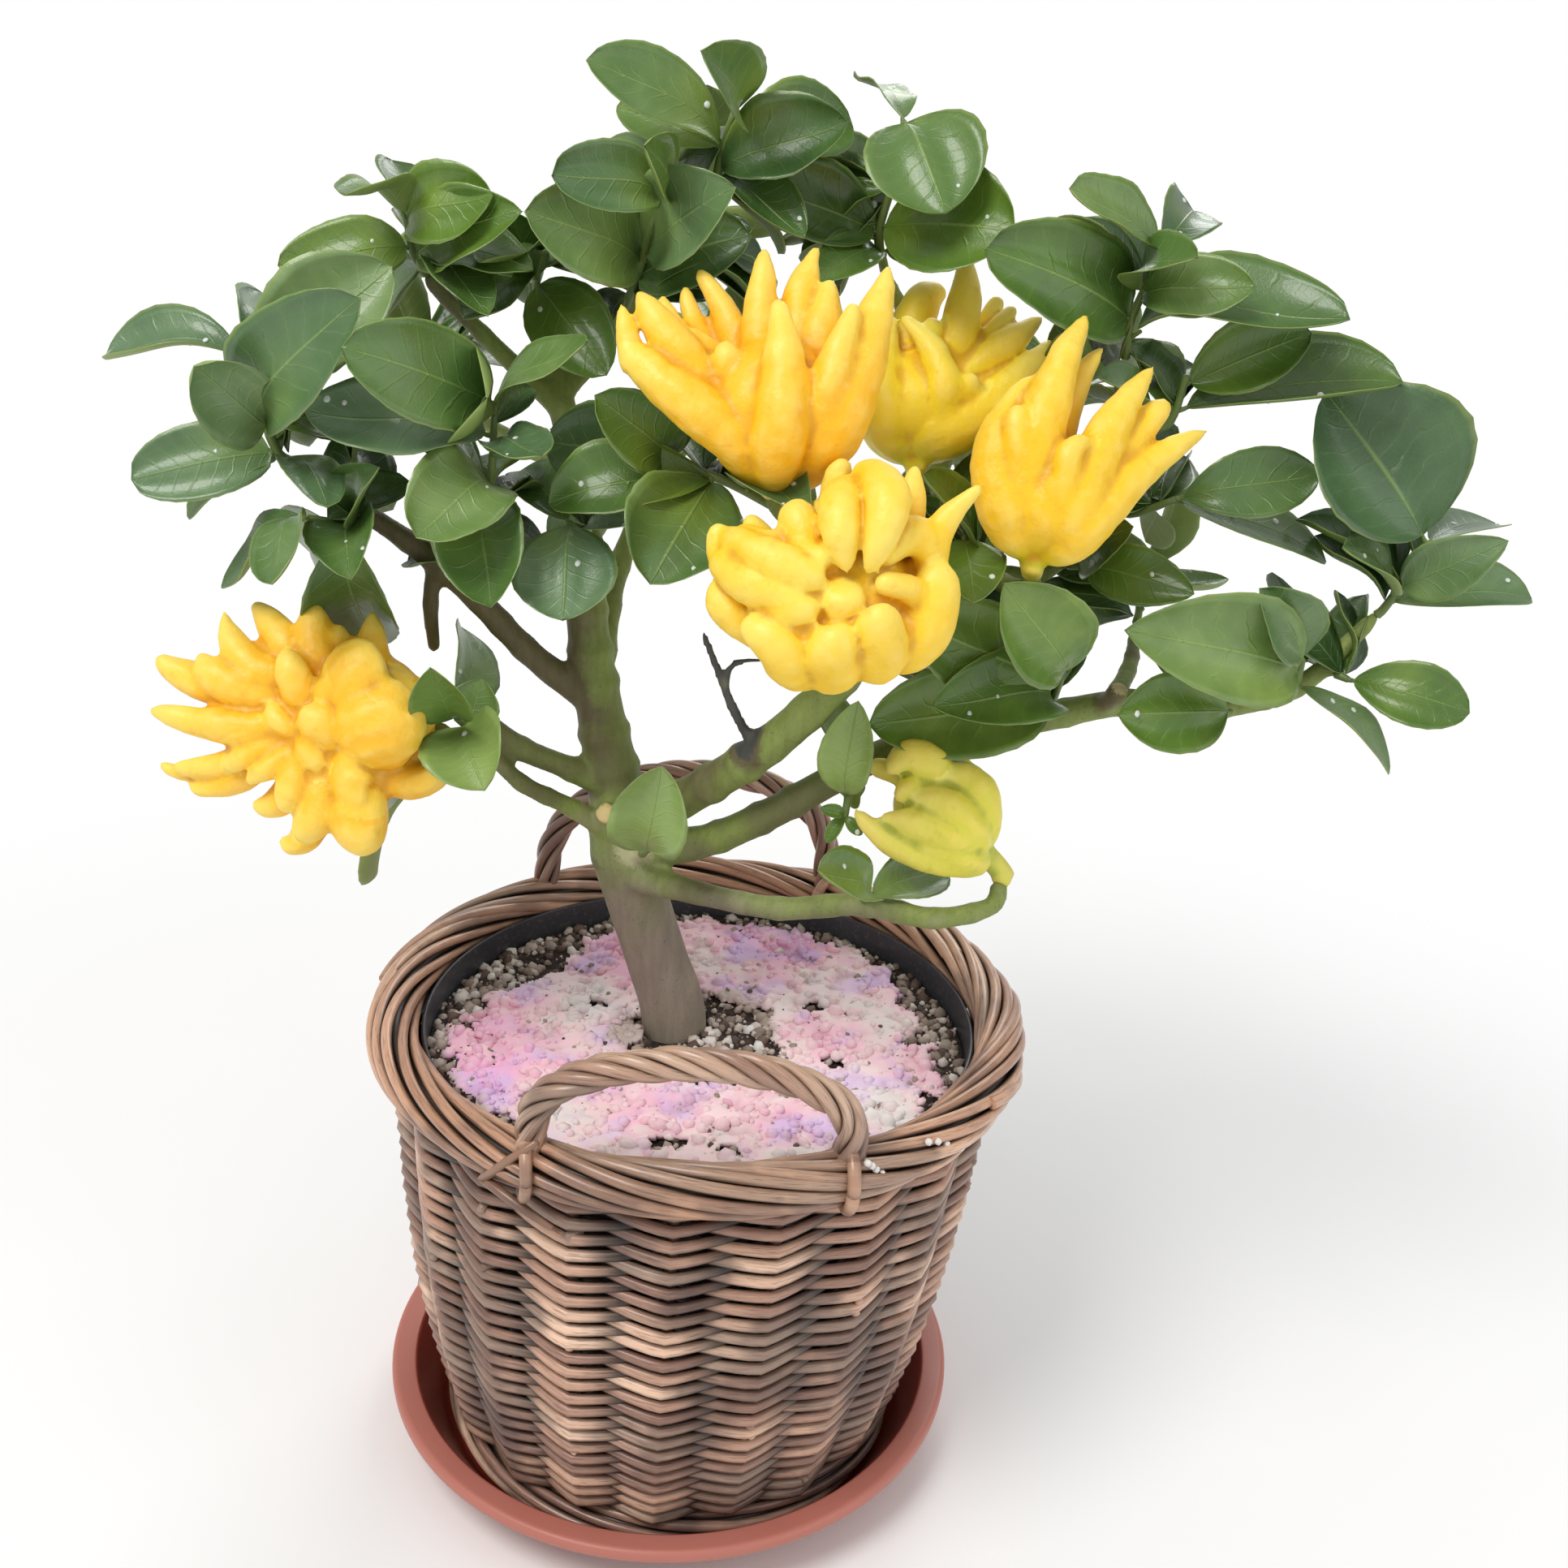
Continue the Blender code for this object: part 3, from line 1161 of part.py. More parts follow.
def build_sprays(solids, material):
    """Every leafy shoot, each leaf bent clear of what stands before it."""
    draw = random.Random(BACK_SEED)
    sprays = dict(SPRAYS)
    for name, spray in BACK_SPRAYS.items():
        sprays[name] = {**spray, "leaves": back_leaves(spray, draw)}
    shoots = {}
    trees = {}
    for name, spray in sprays.items():
        path = shoot_path(spray)[0]
        radii = [SHOOT_RADIUS + (SHOOT_TIP_RADIUS - SHOOT_RADIUS) * step / (len(path) - 1)
                 for step in range(len(path))]
        shoots[name] = tube(path, radii, 4)
        trees[name] = [BVHTree.FromPolygons(*shoots[name])]
    for name, spray in sprays.items():
        path = shoot_path(spray)[0]
        others = solids + [tree for other, group in trees.items() if other != name for tree in group]
        pieces = [shoots[name]]
        own = []
        for share, tip, seen in spray["leaves"]:
            foot = point_along(path, share)
            for bend in BENDS:
                end = bent_tip(foot, Vector(tip) * MM, bend)
                breadth = max(LEAF_BREADTH * (end - foot).length, (seen or 0) * MM)
                width = (foot, end, breadth, seen and seen * MM)
                fat = leaf_blade(*width, LEAF_CLEARANCE)
                tree = BVHTree.FromPolygons(*fat)
                outer = BVHTree.FromPolygons(*outer_part(fat))
                if any(tree.overlap(other) for other in others):
                    continue
                if any(outer.overlap(other) for other in own):
                    continue
                blade = leaf_blade(*width)
                pieces.append(blade)
                trees[name].append(BVHTree.FromPolygons(*blade))
                own.append(BVHTree.FromPolygons(*outer_part(blade)))
                break
        fuse(name, pieces, material)


def tree_of(item):
    graph = bpy.context.evaluated_depsgraph_get()
    return BVHTree.FromObject(item, graph)


def build():
    clear_scene()
    terracotta = make_material("saucer_plastic", (0.52, 0.16, 0.115), 0.55)
    willow = make_material("willow", (0.30, 0.16, 0.10), 0.5)
    dark = make_material("liner_plastic", (0.04, 0.04, 0.045), 0.35)
    earth = make_material("earth", (0.045, 0.03, 0.022), 0.95)
    pink = make_material("pink_dressing", (0.80, 0.50, 0.62), 0.9)
    bark = make_material("bark", (0.17, 0.14, 0.085), 0.75)
    rind = make_material("rind", (0.90, 0.58, 0.05), 0.45)
    green = make_material("leaf", (0.06, 0.16, 0.035), 0.35)
    build_saucer(terracotta)
    build_basket(willow)
    wall = build_liner(dark)
    build_soil(wall, earth)
    build_dressing(pink)
    solids = [tree_of(build_trunk(bark))]
    for name, fruit in FRUITS.items():
        solids.append(tree_of(build_fruit(name, fruit, rind)))
    for name in ("handle_front", "handle_back", "basket_border"):
        solids.append(tree_of(bpy.data.objects[name]))
    build_sprays(solids, green)


build()
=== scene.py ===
import math
import random

import bmesh
import bpy
import numpy as np
from mathutils import Matrix, Vector, noise
from mathutils.kdtree import KDTree


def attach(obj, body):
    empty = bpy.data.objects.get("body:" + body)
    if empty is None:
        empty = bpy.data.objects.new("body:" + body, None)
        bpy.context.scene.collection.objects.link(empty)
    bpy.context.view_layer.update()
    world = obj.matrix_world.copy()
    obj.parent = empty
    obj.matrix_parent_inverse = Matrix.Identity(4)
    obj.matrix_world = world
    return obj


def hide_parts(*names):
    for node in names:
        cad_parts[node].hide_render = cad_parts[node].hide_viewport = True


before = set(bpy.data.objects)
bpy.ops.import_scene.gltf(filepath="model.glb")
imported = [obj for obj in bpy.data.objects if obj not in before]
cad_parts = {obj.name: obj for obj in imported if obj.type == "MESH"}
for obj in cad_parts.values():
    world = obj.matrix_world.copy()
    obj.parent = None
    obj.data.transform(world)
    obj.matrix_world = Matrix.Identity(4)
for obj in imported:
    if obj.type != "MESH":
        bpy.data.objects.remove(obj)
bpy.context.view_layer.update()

mm = 0.001
print("frame loaded:", len(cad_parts), "solids")


# small tools

class Wire:  # a socket that can be added, multiplied and so on
    def __init__(self, graph, socket):
        self.graph, self.socket = graph, socket

    def also(self, name):  # another output of the same node
        return Wire(self.graph, self.socket.node.outputs[name])

    def __add__(self, other):
        return self.graph.maths("ADD", self, other)

    def __sub__(self, other):
        return self.graph.maths("SUBTRACT", self, other)

    def __rsub__(self, other):
        return self.graph.maths("SUBTRACT", other, self)

    def __mul__(self, other):
        return self.graph.maths("MULTIPLY", self, other)

    def __truediv__(self, other):
        return self.graph.maths("DIVIDE", self, other)

    __radd__ = __add__
    __rmul__ = __mul__


class Graph:
    def __init__(self, tree):
        self.tree = tree

    def node(self, kind, settings=None, sockets=None, out=0):
        made = self.tree.nodes.new(kind)
        for key, value in (settings or {}).items():
            if key == "stops":
                setStops(made.color_ramp, value)
            else:
                setattr(made, key, value)
        for key, value in (sockets or {}).items():
            if isinstance(value, Wire):
                self.tree.links.new(value.socket, made.inputs[key])
            else:
                made.inputs[key].default_value = value
        return Wire(self, made.outputs[out])

    def maths(self, operation, *values):
        return self.node("ShaderNodeMath", {"operation": operation}, dict(enumerate(values)))

    def vector(self, operation, *values, out=0):
        return self.node("ShaderNodeVectorMath", {"operation": operation}, dict(enumerate(values)), out)

    def scaled(self, vector, size):
        return self.node("ShaderNodeVectorMath", {"operation": "SCALE"}, {0: vector, 3: size})

    def spot(self, x=0.0, y=0.0, z=0.0):
        return self.node("ShaderNodeCombineXYZ", None, {0: x, 1: y, 2: z})

    def apart(self, vector):  # x, with y and z as its other outputs
        return self.node("ShaderNodeSeparateXYZ", None, {0: vector})

    def blend(self, share, first, second):  # a mix of two colours
        return self.node("ShaderNodeMix", {"data_type": "RGBA"}, {0: share, 6: first, 7: second}, out=2)

    def between(self, value, low, high):  # a soft step from low to high
        return self.node("ShaderNodeMapRange", {"interpolation_type": "SMOOTHSTEP"},
                         {0: value, 1: low, 2: high})

    def ramp(self, value, *stops):
        return self.node("ShaderNodeValToRGB", {"stops": stops}, {0: value})

    def cloud(self, place, scale, detail=2.0, rough=0.5):
        return self.node("ShaderNodeTexNoise", None,
                         {"Vector": place, "Scale": scale, "Detail": detail, "Roughness": rough})

    def mark(self, name):  # in a material, a number kept on the mesh
        return self.node("ShaderNodeAttribute", {"attribute_name": name}, out="Fac")

    def here(self):
        return self.node("GeometryNodeInputPosition")

    def kept(self, name, kind="FLOAT"):  # in Geometry Nodes, what keep left on the points
        return self.node("GeometryNodeInputNamedAttribute", {"data_type": kind}, {"Name": name})

    def keep(self, geometry, name, value, kind="FLOAT"):
        return self.node("GeometryNodeStoreNamedAttribute", {"data_type": kind, "domain": "POINT"},
                         {"Geometry": geometry, "Name": name, "Value": value})

    def chance(self, seed, **which):  # a random number from 0 to 1
        return self.node("FunctionNodeRandomValue", {"data_type": "FLOAT"}, {"Seed": seed, **which}, out=1)

    def moved(self, geometry, **how):
        return self.node("GeometryNodeSetPosition", None, {"Geometry": geometry, **how})


def setStops(ramp, stops):
    while len(ramp.elements) > 1:
        ramp.elements.remove(ramp.elements[-1])
    for index, (place, colour) in enumerate(stops):
        stop = ramp.elements[0] if index == 0 else ramp.elements.new(place)
        stop.position, stop.color = place, colour


def tint(red, green, blue):  # screen colour to linear light
    return tuple(((c / 255 + 0.055) / 1.055) ** 2.4 if c > 10 else c / 255 / 12.92
                 for c in (red, green, blue)) + (1.0,)


class Finish(Graph):  # a material with its Principled shader
    def __init__(self, name, rough, fixed=None):
        self.material = bpy.data.materials.new(name)
        self.material.use_nodes = True
        super().__init__(self.material.node_tree)
        self.shader = self.tree.nodes["Principled BSDF"]
        for key, value in {"Roughness": rough, **(fixed or {})}.items():
            self.shader.inputs[key].default_value = value
        self.place = self.node("ShaderNodeTexCoord", out="Object")

    def feed(self, name, wire):
        self.tree.links.new(wire.socket, self.shader.inputs[name])

    def relief(self, height, depth, strength):
        self.feed("Normal", self.node("ShaderNodeBump", None,
                                      {"Height": height, "Distance": depth, "Strength": strength}))

    def stretched(self, along):  # object coordinates drawn out on each axis
        return self.node("ShaderNodeMapping", None, {"Vector": self.place, "Scale": along})


class Shape:  # gathers the points, faces and marks of one piece
    def __init__(self, *marks):
        self.points, self.faces, self.marks, self.total = [], [], {name: [] for name in marks}, 0

    def add(self, points, faces, **marks):
        points = np.asarray(points, float)
        self.points.append(points)
        self.faces += [tuple(i + self.total for i in face) for face in faces]
        for name, kept in self.marks.items():
            kept.append(np.broadcast_to(marks.get(name, 0.0), len(points)))
        self.total += len(points)

    def mesh(self, name):
        mesh = bpy.data.meshes.new(name)
        mesh.from_pydata(np.concatenate(self.points).tolist(), [], self.faces)
        for mark, kept in self.marks.items():
            addMark(mesh, mark, np.concatenate(kept))
        return mesh

    def piece(self, name, finish):
        return addPiece(name, self.mesh(name), finish)


def addMark(mesh, name, values):
    mesh.attributes.new(name, "FLOAT", "POINT").data.foreach_set("value", values)


def addPiece(name, mesh, finish):
    mesh.materials.clear()
    mesh.materials.append(finish.material)
    mesh.shade_smooth()
    return hostObject(name, mesh)


def finishPiece(item, slot, *nodes):
    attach(item, "root")
    if nodes:
        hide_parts(*nodes)
    triangles = sum(len(face.vertices) - 2 for face in item.data.polygons)
    print(f"  {item.name}: {triangles} triangles")


def settled(item):  # the mesh that the modifiers make
    graph = bpy.context.evaluated_depsgraph_get()
    return bpy.data.meshes.new_from_object(item.evaluated_get(graph))


def skinned(item, grain, rounds):  # one skin over all that the piece is made of
    skin = item.modifiers.new("skin", "REMESH")
    skin.mode, skin.voxel_size, skin.use_smooth_shade = "VOXEL", grain, True
    soft = item.modifiers.new("soft", "SMOOTH")
    soft.factor, soft.iterations = 0.5, rounds
    made = settled(item)
    item.modifiers.clear()
    item.data = made


def worked(mesh, change):  # one bmesh step on a mesh
    work = bmesh.new()
    work.from_mesh(mesh)
    change(work)
    work.to_mesh(mesh)
    work.free()


def merged(name, meshes, finish):
    joined = bmesh.new()
    for mesh in meshes:
        joined.from_mesh(mesh)
    mesh = bpy.data.meshes.new(name)
    joined.to_mesh(mesh)
    joined.free()
    return addPiece(name, mesh, finish)


def framesAlong(points):
    points = [Vector(point) for point in points]
    spans = [(after - before).normalized() for before, after in zip(points, points[1:])]
    frames, side = [], None
    for before, after in zip([spans[0]] + spans, spans + [spans[-1]]):
        forward = (before + after).normalized()
        if side is None:
            helper = Vector((0, 0, 1)) if abs(forward.z) < 0.9 else Vector((0, -1, 0))
            side = forward.cross(helper).normalized()
        side = (side - forward * side.dot(forward)).normalized()
        frames.append((forward, side, forward.cross(side)))
    return frames


def tube(points, radii, sides=10, tip=None, crown=0.0):  # closed at both ends
    verts = []
    frames = framesAlong(points)
    for point, (forward, side, up), radius in zip(points, frames, radii):
        for step in range(sides):
            angle = math.tau * step / sides
            verts.append(Vector(point) + (side * math.cos(angle) + up * math.sin(angle)) * radius)
    faces = []
    for ring in range(len(points) - 1):
        for step in range(sides):
            a, b = ring * sides + step, ring * sides + (step + 1) % sides
            faces.append((a, b, b + sides, a + sides))
    last = (len(points) - 1) * sides
    verts.append(Vector(points[0]) - frames[0][0] * crown * radii[0])
    verts.append(Vector(tip) if tip else Vector(points[-1]) + frames[-1][0] * crown * radii[-1])
    under = len(verts) - 2
    for step in range(sides):
        after = (step + 1) % sides
        faces.append((after, step, under))
        faces.append((last + step, last + after, under + 1))
    return verts, faces


def smoothPath(points, steps):  # rows of numbers drawn through as one soft curve
    rows = np.array(points, float)
    padded = np.vstack([2 * rows[0] - rows[1], rows, 2 * rows[-1] - rows[-2]])
    out = []
    for i in range(1, len(padded) - 2):
        a, b, c, d = padded[i - 1:i + 3]
        for step in range(steps):
            t = step / steps
            out.append(0.5 * (2 * b + (c - a) * t + (2 * a - 5 * b + 4 * c - d) * t * t
                              + (3 * b - a - 3 * c + d) * t ** 3))
    out.append(rows[-1])
    return np.array(out)


def onRing(radius, angle, height=0.0):
    return Vector((radius * math.cos(angle), radius * math.sin(angle), height))


def turned(profile, sides, lean=0.0):  # a solid of revolution from axis to axis
    verts = [(lean * profile[0][1], 0, profile[0][1])]
    for radius, height in profile[1:-1]:
        verts += [onRing(radius, math.tau * side / sides, height) + Vector((lean * height, 0, 0))
                  for side in range(sides)]
    verts.append((lean * profile[-1][1], 0, profile[-1][1]))
    last, faces = len(verts) - 1, []
    rings = len(profile) - 2
    for side in range(sides):
        after = (side + 1) % sides
        faces.append((0, 1 + after, 1 + side))
        for ring in range(rings - 1):
            low = 1 + ring * sides
            faces.append((low + side, low + after, low + sides + after, low + sides + side))
        top = 1 + (rings - 1) * sides
        faces.append((top + side, top + after, last))
    return verts, faces


def softened(corners, steps, cut):  # rounds the corners of a profile
    out = [corners[0]]
    for before, here, after in zip(corners, corners[1:], corners[2:]):
        here = np.array(here)
        ends = []
        for other in (before, after):
            line = np.array(other) - here
            ends.append(here + line * min(0.45, cut / max(np.linalg.norm(line), 1e-9)))
        for step in range(steps + 1):
            t = step / steps
            out.append(tuple(ends[0] * (1 - t) ** 2 + here * 2 * t * (1 - t) + ends[1] * t * t))
    return out + [corners[-1]]


def newTree(name, values):  # a Geometry Nodes tree, and a wire from the input of each value
    tree = bpy.data.node_groups.new(name, "GeometryNodeTree")
    for way in ("OUTPUT", "INPUT"):
        tree.interface.new_socket("Geometry", in_out=way, socket_type="NodeSocketGeometry")
    for label, value in values.items():
        kind = "NodeSocketInt" if isinstance(value, int) else "NodeSocketFloat"
        tree.interface.new_socket(label, in_out="INPUT", socket_type=kind)
    graph = Graph(tree)
    start = tree.nodes.new("NodeGroupInput")
    return graph, {socket.name: Wire(graph, socket) for socket in start.outputs if socket.name}


def endTree(graph, geometry, finish):
    whole = graph.node("GeometryNodeRealizeInstances", None, {"Geometry": geometry})
    painted = graph.node("GeometryNodeSetMaterial", None, {"Geometry": whole, "Material": finish.material})
    end = graph.tree.nodes.new("NodeGroupOutput")
    graph.tree.links.new(painted.socket, end.inputs[0])
    return graph.tree


def noded(host, tree, values):  # a plain mesh from a Geometry Nodes tree
    modifier = host.modifiers.new("made", "NODES")
    modifier.node_group = tree
    for socket in tree.interface.items_tree:
        if socket.in_out == "INPUT" and socket.name in values:
            modifier[socket.identifier] = values[socket.name]
    made = settled(host)
    bpy.data.objects.remove(host)
    return made


def hostObject(name, data):
    item = bpy.data.objects.new(name, data)
    bpy.context.scene.collection.objects.link(item)
    return item


def curveObject(name, points):
    curve = bpy.data.curves.new(name, "CURVE")
    curve.dimensions = "3D"
    spline = curve.splines.new("POLY")
    spline.points.add(len(points) - 1)
    for slot, point in zip(spline.points, points):
        slot.co = (*point, 1.0)
    return hostObject(name, curve)


# camera, light and floor

view = {"lens": 38.1, "sensor": 36.0, "tilt": 22.52, "roll": 3.19, "eye": (0.044, -0.715, 0.656)}
lamps = {
    "key": {"size": 0.9, "power": 22.0, "place": (-0.7, -0.9, 1.9), "colour": (1.0, 0.98, 0.95)},
    "fill": {"size": 1.4, "power": 5.0, "place": (1.5, -0.9, 1.0), "colour": (0.96, 0.98, 1.0)},
    "back": {"size": 1.0, "power": 9.0, "place": (0.4, 1.5, 1.5), "colour": (1.0, 1.0, 1.0)},
}
studio = {"aim": (0, 0, 0.3), "sky": 0.58, "floor": 12.0, "plain": 0.35, "white": 1.05}
black, white = (0.0, 0.0, 0.0, 1.0), (1.0, 1.0, 1.0, 1.0)


def viewAxes(tilt, roll):  # right, up and near, as the camera sees them
    tilt, roll = math.radians(tilt), math.radians(roll)
    right = Vector((1, 0, 0))
    up = Vector((0, math.sin(tilt), math.cos(tilt)))
    near = Vector((0, -math.cos(tilt), math.sin(tilt)))
    return right * math.cos(roll) + up * math.sin(roll), up * math.cos(roll) - right * math.sin(roll), near


def addCamera():
    data = bpy.data.cameras.new("camera")
    data.lens, data.sensor_width, data.clip_start = view["lens"], view["sensor"], 0.01
    item = hostObject("camera", data)
    place = Matrix(viewAxes(view["tilt"], view["roll"])).transposed().to_4x4()
    place.translation = Vector(view["eye"])
    item.matrix_world = place
    bpy.context.scene.camera = item


def addLight():
    for name, kind in lamps.items():
        lamp = bpy.data.lights.new(name, "AREA")
        lamp.shape = "DISK"
        lamp.size, lamp.energy, lamp.color = kind["size"], kind["power"], kind["colour"]
        item = hostObject(name, lamp)
        item.location = kind["place"]
        item.rotation_euler = (Vector(studio["aim"]) - item.location).to_track_quat("-Z", "Y").to_euler()
    world = bpy.data.worlds.new("studio")
    world.use_nodes = True
    graph = Graph(world.node_tree)
    backdrop = world.node_tree.nodes["Background"]
    backdrop.inputs[0].default_value = white
    seen = graph.node("ShaderNodeLightPath")  # the backdrop is seen whiter than it lights
    world.node_tree.links.new((seen * (1.0 - studio["sky"]) + studio["sky"]).socket, backdrop.inputs[1])
    bpy.context.scene.world = world
    bpy.context.scene.view_settings.view_transform = "Standard"


def addFloor():
    paint = Finish("floor_paper", 0.9, {"Specular IOR Level": 0.1, "Emission Strength": 1.0})
    away = paint.vector("LENGTH", paint.place, out=1)
    fade = paint.between(away, studio["plain"], studio["white"])  # the paper turns into the white backdrop
    near = paint.blend(paint.cloud(paint.place, 3.0), tint(244, 244, 244), tint(250, 250, 250))
    paint.feed("Base Color", paint.blend(fade, near, black))
    paint.feed("Emission Color", paint.blend(fade, black, white))
    mesh = bpy.data.meshes.new("floor")
    reach = studio["floor"] / 2
    mesh.from_pydata([(-reach, -reach, 0), (reach, -reach, 0), (reach, reach, 0), (-reach, reach, 0)],
                     [], [(0, 1, 2, 3)])
    addPiece("floor", mesh, paint)


addCamera()
addLight()
addFloor()
print("camera, floor and light are set")


# saucer

saucer = {"radius": 0.1476, "height": 0.035, "floor": 0.005, "base": 0.113, "lip": 0.0125, "sides": 144,
          "shoulder": (0.1420, 0.0255), "step": 0.0290, "well": ((0.1335, 0.0310), (0.1205, 0.0090)),
          "corner": 0.0016}


def terracottaPlastic():
    paint = Finish("terracotta_plastic", 0.42)
    height = paint.apart(paint.place).also("Z")
    level = paint.node("ShaderNodeMapping", None, {"Vector": paint.place, "Scale": (1, 1, 0)})
    radius = paint.vector("LENGTH", level, out=1)
    cloudy = paint.cloud(paint.place, 26.0, 3.0)
    fine = paint.cloud(paint.place, 900.0, 2.0)
    # painted shade: the outer wall is darker towards the bottom
    outer = paint.blend(paint.between(height, 0.004, 0.034), tint(138, 72, 60), tint(184, 110, 96))
    outer = paint.blend(cloudy * 0.35, outer, tint(196, 130, 114))
    # painted shadow of the basket: the well inside the lip is darker, most of all towards the middle
    inner = paint.blend(paint.between(radius, 0.118, 0.140), tint(118, 42, 30), tint(150, 62, 48))
    paint.feed("Base Color", paint.blend(paint.mark("inside"), outer, inner))
    paint.feed("Roughness", 0.36 + cloudy * 0.16)
    paint.relief(fine, 0.0002, 0.35)
    return paint


def buildSaucer():
    rim, top, base = saucer["radius"], saucer["height"], saucer["base"]
    profile = [(0, 0), (base - 0.003, 0), (base, 0.0012), saucer["shoulder"], (rim, saucer["step"]),
               (rim, top - 0.0015), (rim - 0.0020, top), (rim - saucer["lip"], top - 0.0010),
               *saucer["well"], (base + 0.004, saucer["floor"]), (0, saucer["floor"])]
    verts, faces = turned(softened(profile, 4, saucer["corner"]), saucer["sides"])
    spot = np.array(verts)
    reach = np.hypot(spot[:, 0], spot[:, 1])
    inside = (reach < rim - saucer["lip"] + 0.0005) & (spot[:, 2] > 0.003)
    shape = Shape("inside")
    shape.add(verts, faces, inside=inside.astype(float))
    finishPiece(shape.piece("saucer_moulding", terracottaPlastic()), "saucer_plastic", "saucer")


buildSaucer()
print("saucer is made")


# willow basket

basket = {
    "lean": 0.038, "stakes": 20, "stakeSize": 0.0029, "stakeEnds": (0.012, 0.234), "rodEnds": 64, "seed": 5,
    "profile": ((0.008, 0.1110), (0.020, 0.1190), (0.050, 0.1256), (0.100, 0.1350),
                (0.150, 0.1425), (0.200, 0.1470), (0.240, 0.1485)),  # height and radius
    "borderRadius": 0.148, "borderHalf": 0.0142, "borderMiddle": 0.237,
    "footRadius": 0.1114, "footMiddle": 0.0136, "slantRadius": 0.1582,
    "ties": ((-2.030, 0.010, 0.0027), (-1.075, -0.004, 0.0030), (1.92, 0.006, 0.0030),
             (1.10, -0.006, 0.0030)),  # angle, slant and size of the loops round the border
    "slant": ((-1.9495, 0.2562, 0.0014), (-2.05, 0.2400, 0.0020), (-2.112, 0.2290, 0.0023),
              (-2.118, 0.2284, 0.0024), (-2.10, 0.2276, 0.0023), (-2.0, 0.2222, 0.0021),
              (-1.894, 0.2163, 0.0012)),  # angle, height and size of a rod laid slantwise
    "disc": ((0, 0.0053), (0.1022, 0.0053), (0.1022, 0.0135), (0, 0.0135)),
}
weave = {"Rows": 47, "Pitch": (0.2270 - 0.0245) / 47, "Bottom": 0.0245, "Stakes": basket["stakes"],
         "Swing": 0.0046, "Depth": 0.0062, "Drop": 0.0019, "Rod Height": 0.0026, "Rod Depth": 0.0024,
         "Wander": 0.0009, "Lean": basket["lean"], "Seed": 3}
handles = {
    "handle_front": {"ends": (-0.063, 0.071), "side": -1.0, "top": 0.2905, "bulge": 0.004},
    "handle_back": {"ends": (-0.094, 0.061), "side": 1.0, "top": 0.3080, "bulge": 0.010},
}
handleSocket, handleShoulder = 0.2440, 0.2520
borderRods = {"Rods": 9, "Turns": 3.1, "Core": 0.0094, "Rod": 0.0028, "Wander": 0.45, "Steps": 260,
              "Sides": 9, "Shortest": 0.985, "Spread": 0.01, "Seed": 1}
strayRods = {**borderRods, "Rods": 3, "Turns": 3.6, "Core": 0.0105, "Shortest": 0.35, "Spread": 0.5,
             "Seed": 2}
handleRods = {"Rods": 5, "Turns": 2.7, "Core": 0.0046, "Rod": 0.0027, "Wander": 0.12, "Steps": 110,
              "Sides": 10, "Shortest": 1.0, "Spread": 0.0}
footRods = {"Rods": 6, "Turns": 2.2, "Core": 0.0058, "Rod": 0.0025, "Wander": 0.3, "Steps": 240,
            "Sides": 9, "Shortest": 0.95, "Spread": 0.0, "Seed": 21}
rodMarks = ("tone", "along", "around", "shade")


def leaned(point):
    return Vector((point[0] + basket["lean"] * point[2], point[1], point[2]))


def willowBark(name, gloss, fade=0.0, faded=(96, 76, 64)):
    paint = Finish(name, 0.4, {"Coat Roughness": 0.22})
    tone, shade = paint.mark("tone"), paint.mark("shade")
    broad = paint.cloud(paint.place, 17.0, 3.0) + (tone - 0.5) * 0.16
    lines = paint.spot(paint.mark("along") * 90.0, paint.mark("around") * 4.0, tone * 50.0)
    grain = paint.cloud(lines, 1.0, 3.0, 0.6)
    fine = paint.cloud(paint.place, 900.0, 2.0)
    rod = paint.ramp(tone * 0.8 + 0.1 + grain * 0.2, (0.0, tint(106, 76, 66)), (0.35, tint(162, 122, 104)),
                     (0.7, tint(208, 164, 138)), (1.0, tint(242, 204, 176)))
    warm = paint.blend(fade, rod, tint(*faded))
    dusk = paint.blend(paint.between(broad, 0.47, 0.62) * (0.66 - 0.4 * fade), warm, tint(54, 42, 44))
    dull = paint.blend(paint.between(grain, 0.5, 0.32) * 0.5, dusk, tint(92, 66, 56))
    streaked = paint.blend(paint.between(grain, 0.55, 0.8) * 0.2, dull, tint(230, 192, 160))
    paint.feed("Base Color", paint.blend(shade, streaked, tint(14, 10, 9)))
    paint.feed("Roughness", 0.32 + grain * 0.2)
    paint.feed("Coat Weight", (1.0 - shade) * gloss)
    paint.relief(grain * 0.7 + fine * 0.3, 0.00022, 0.45)
    return paint


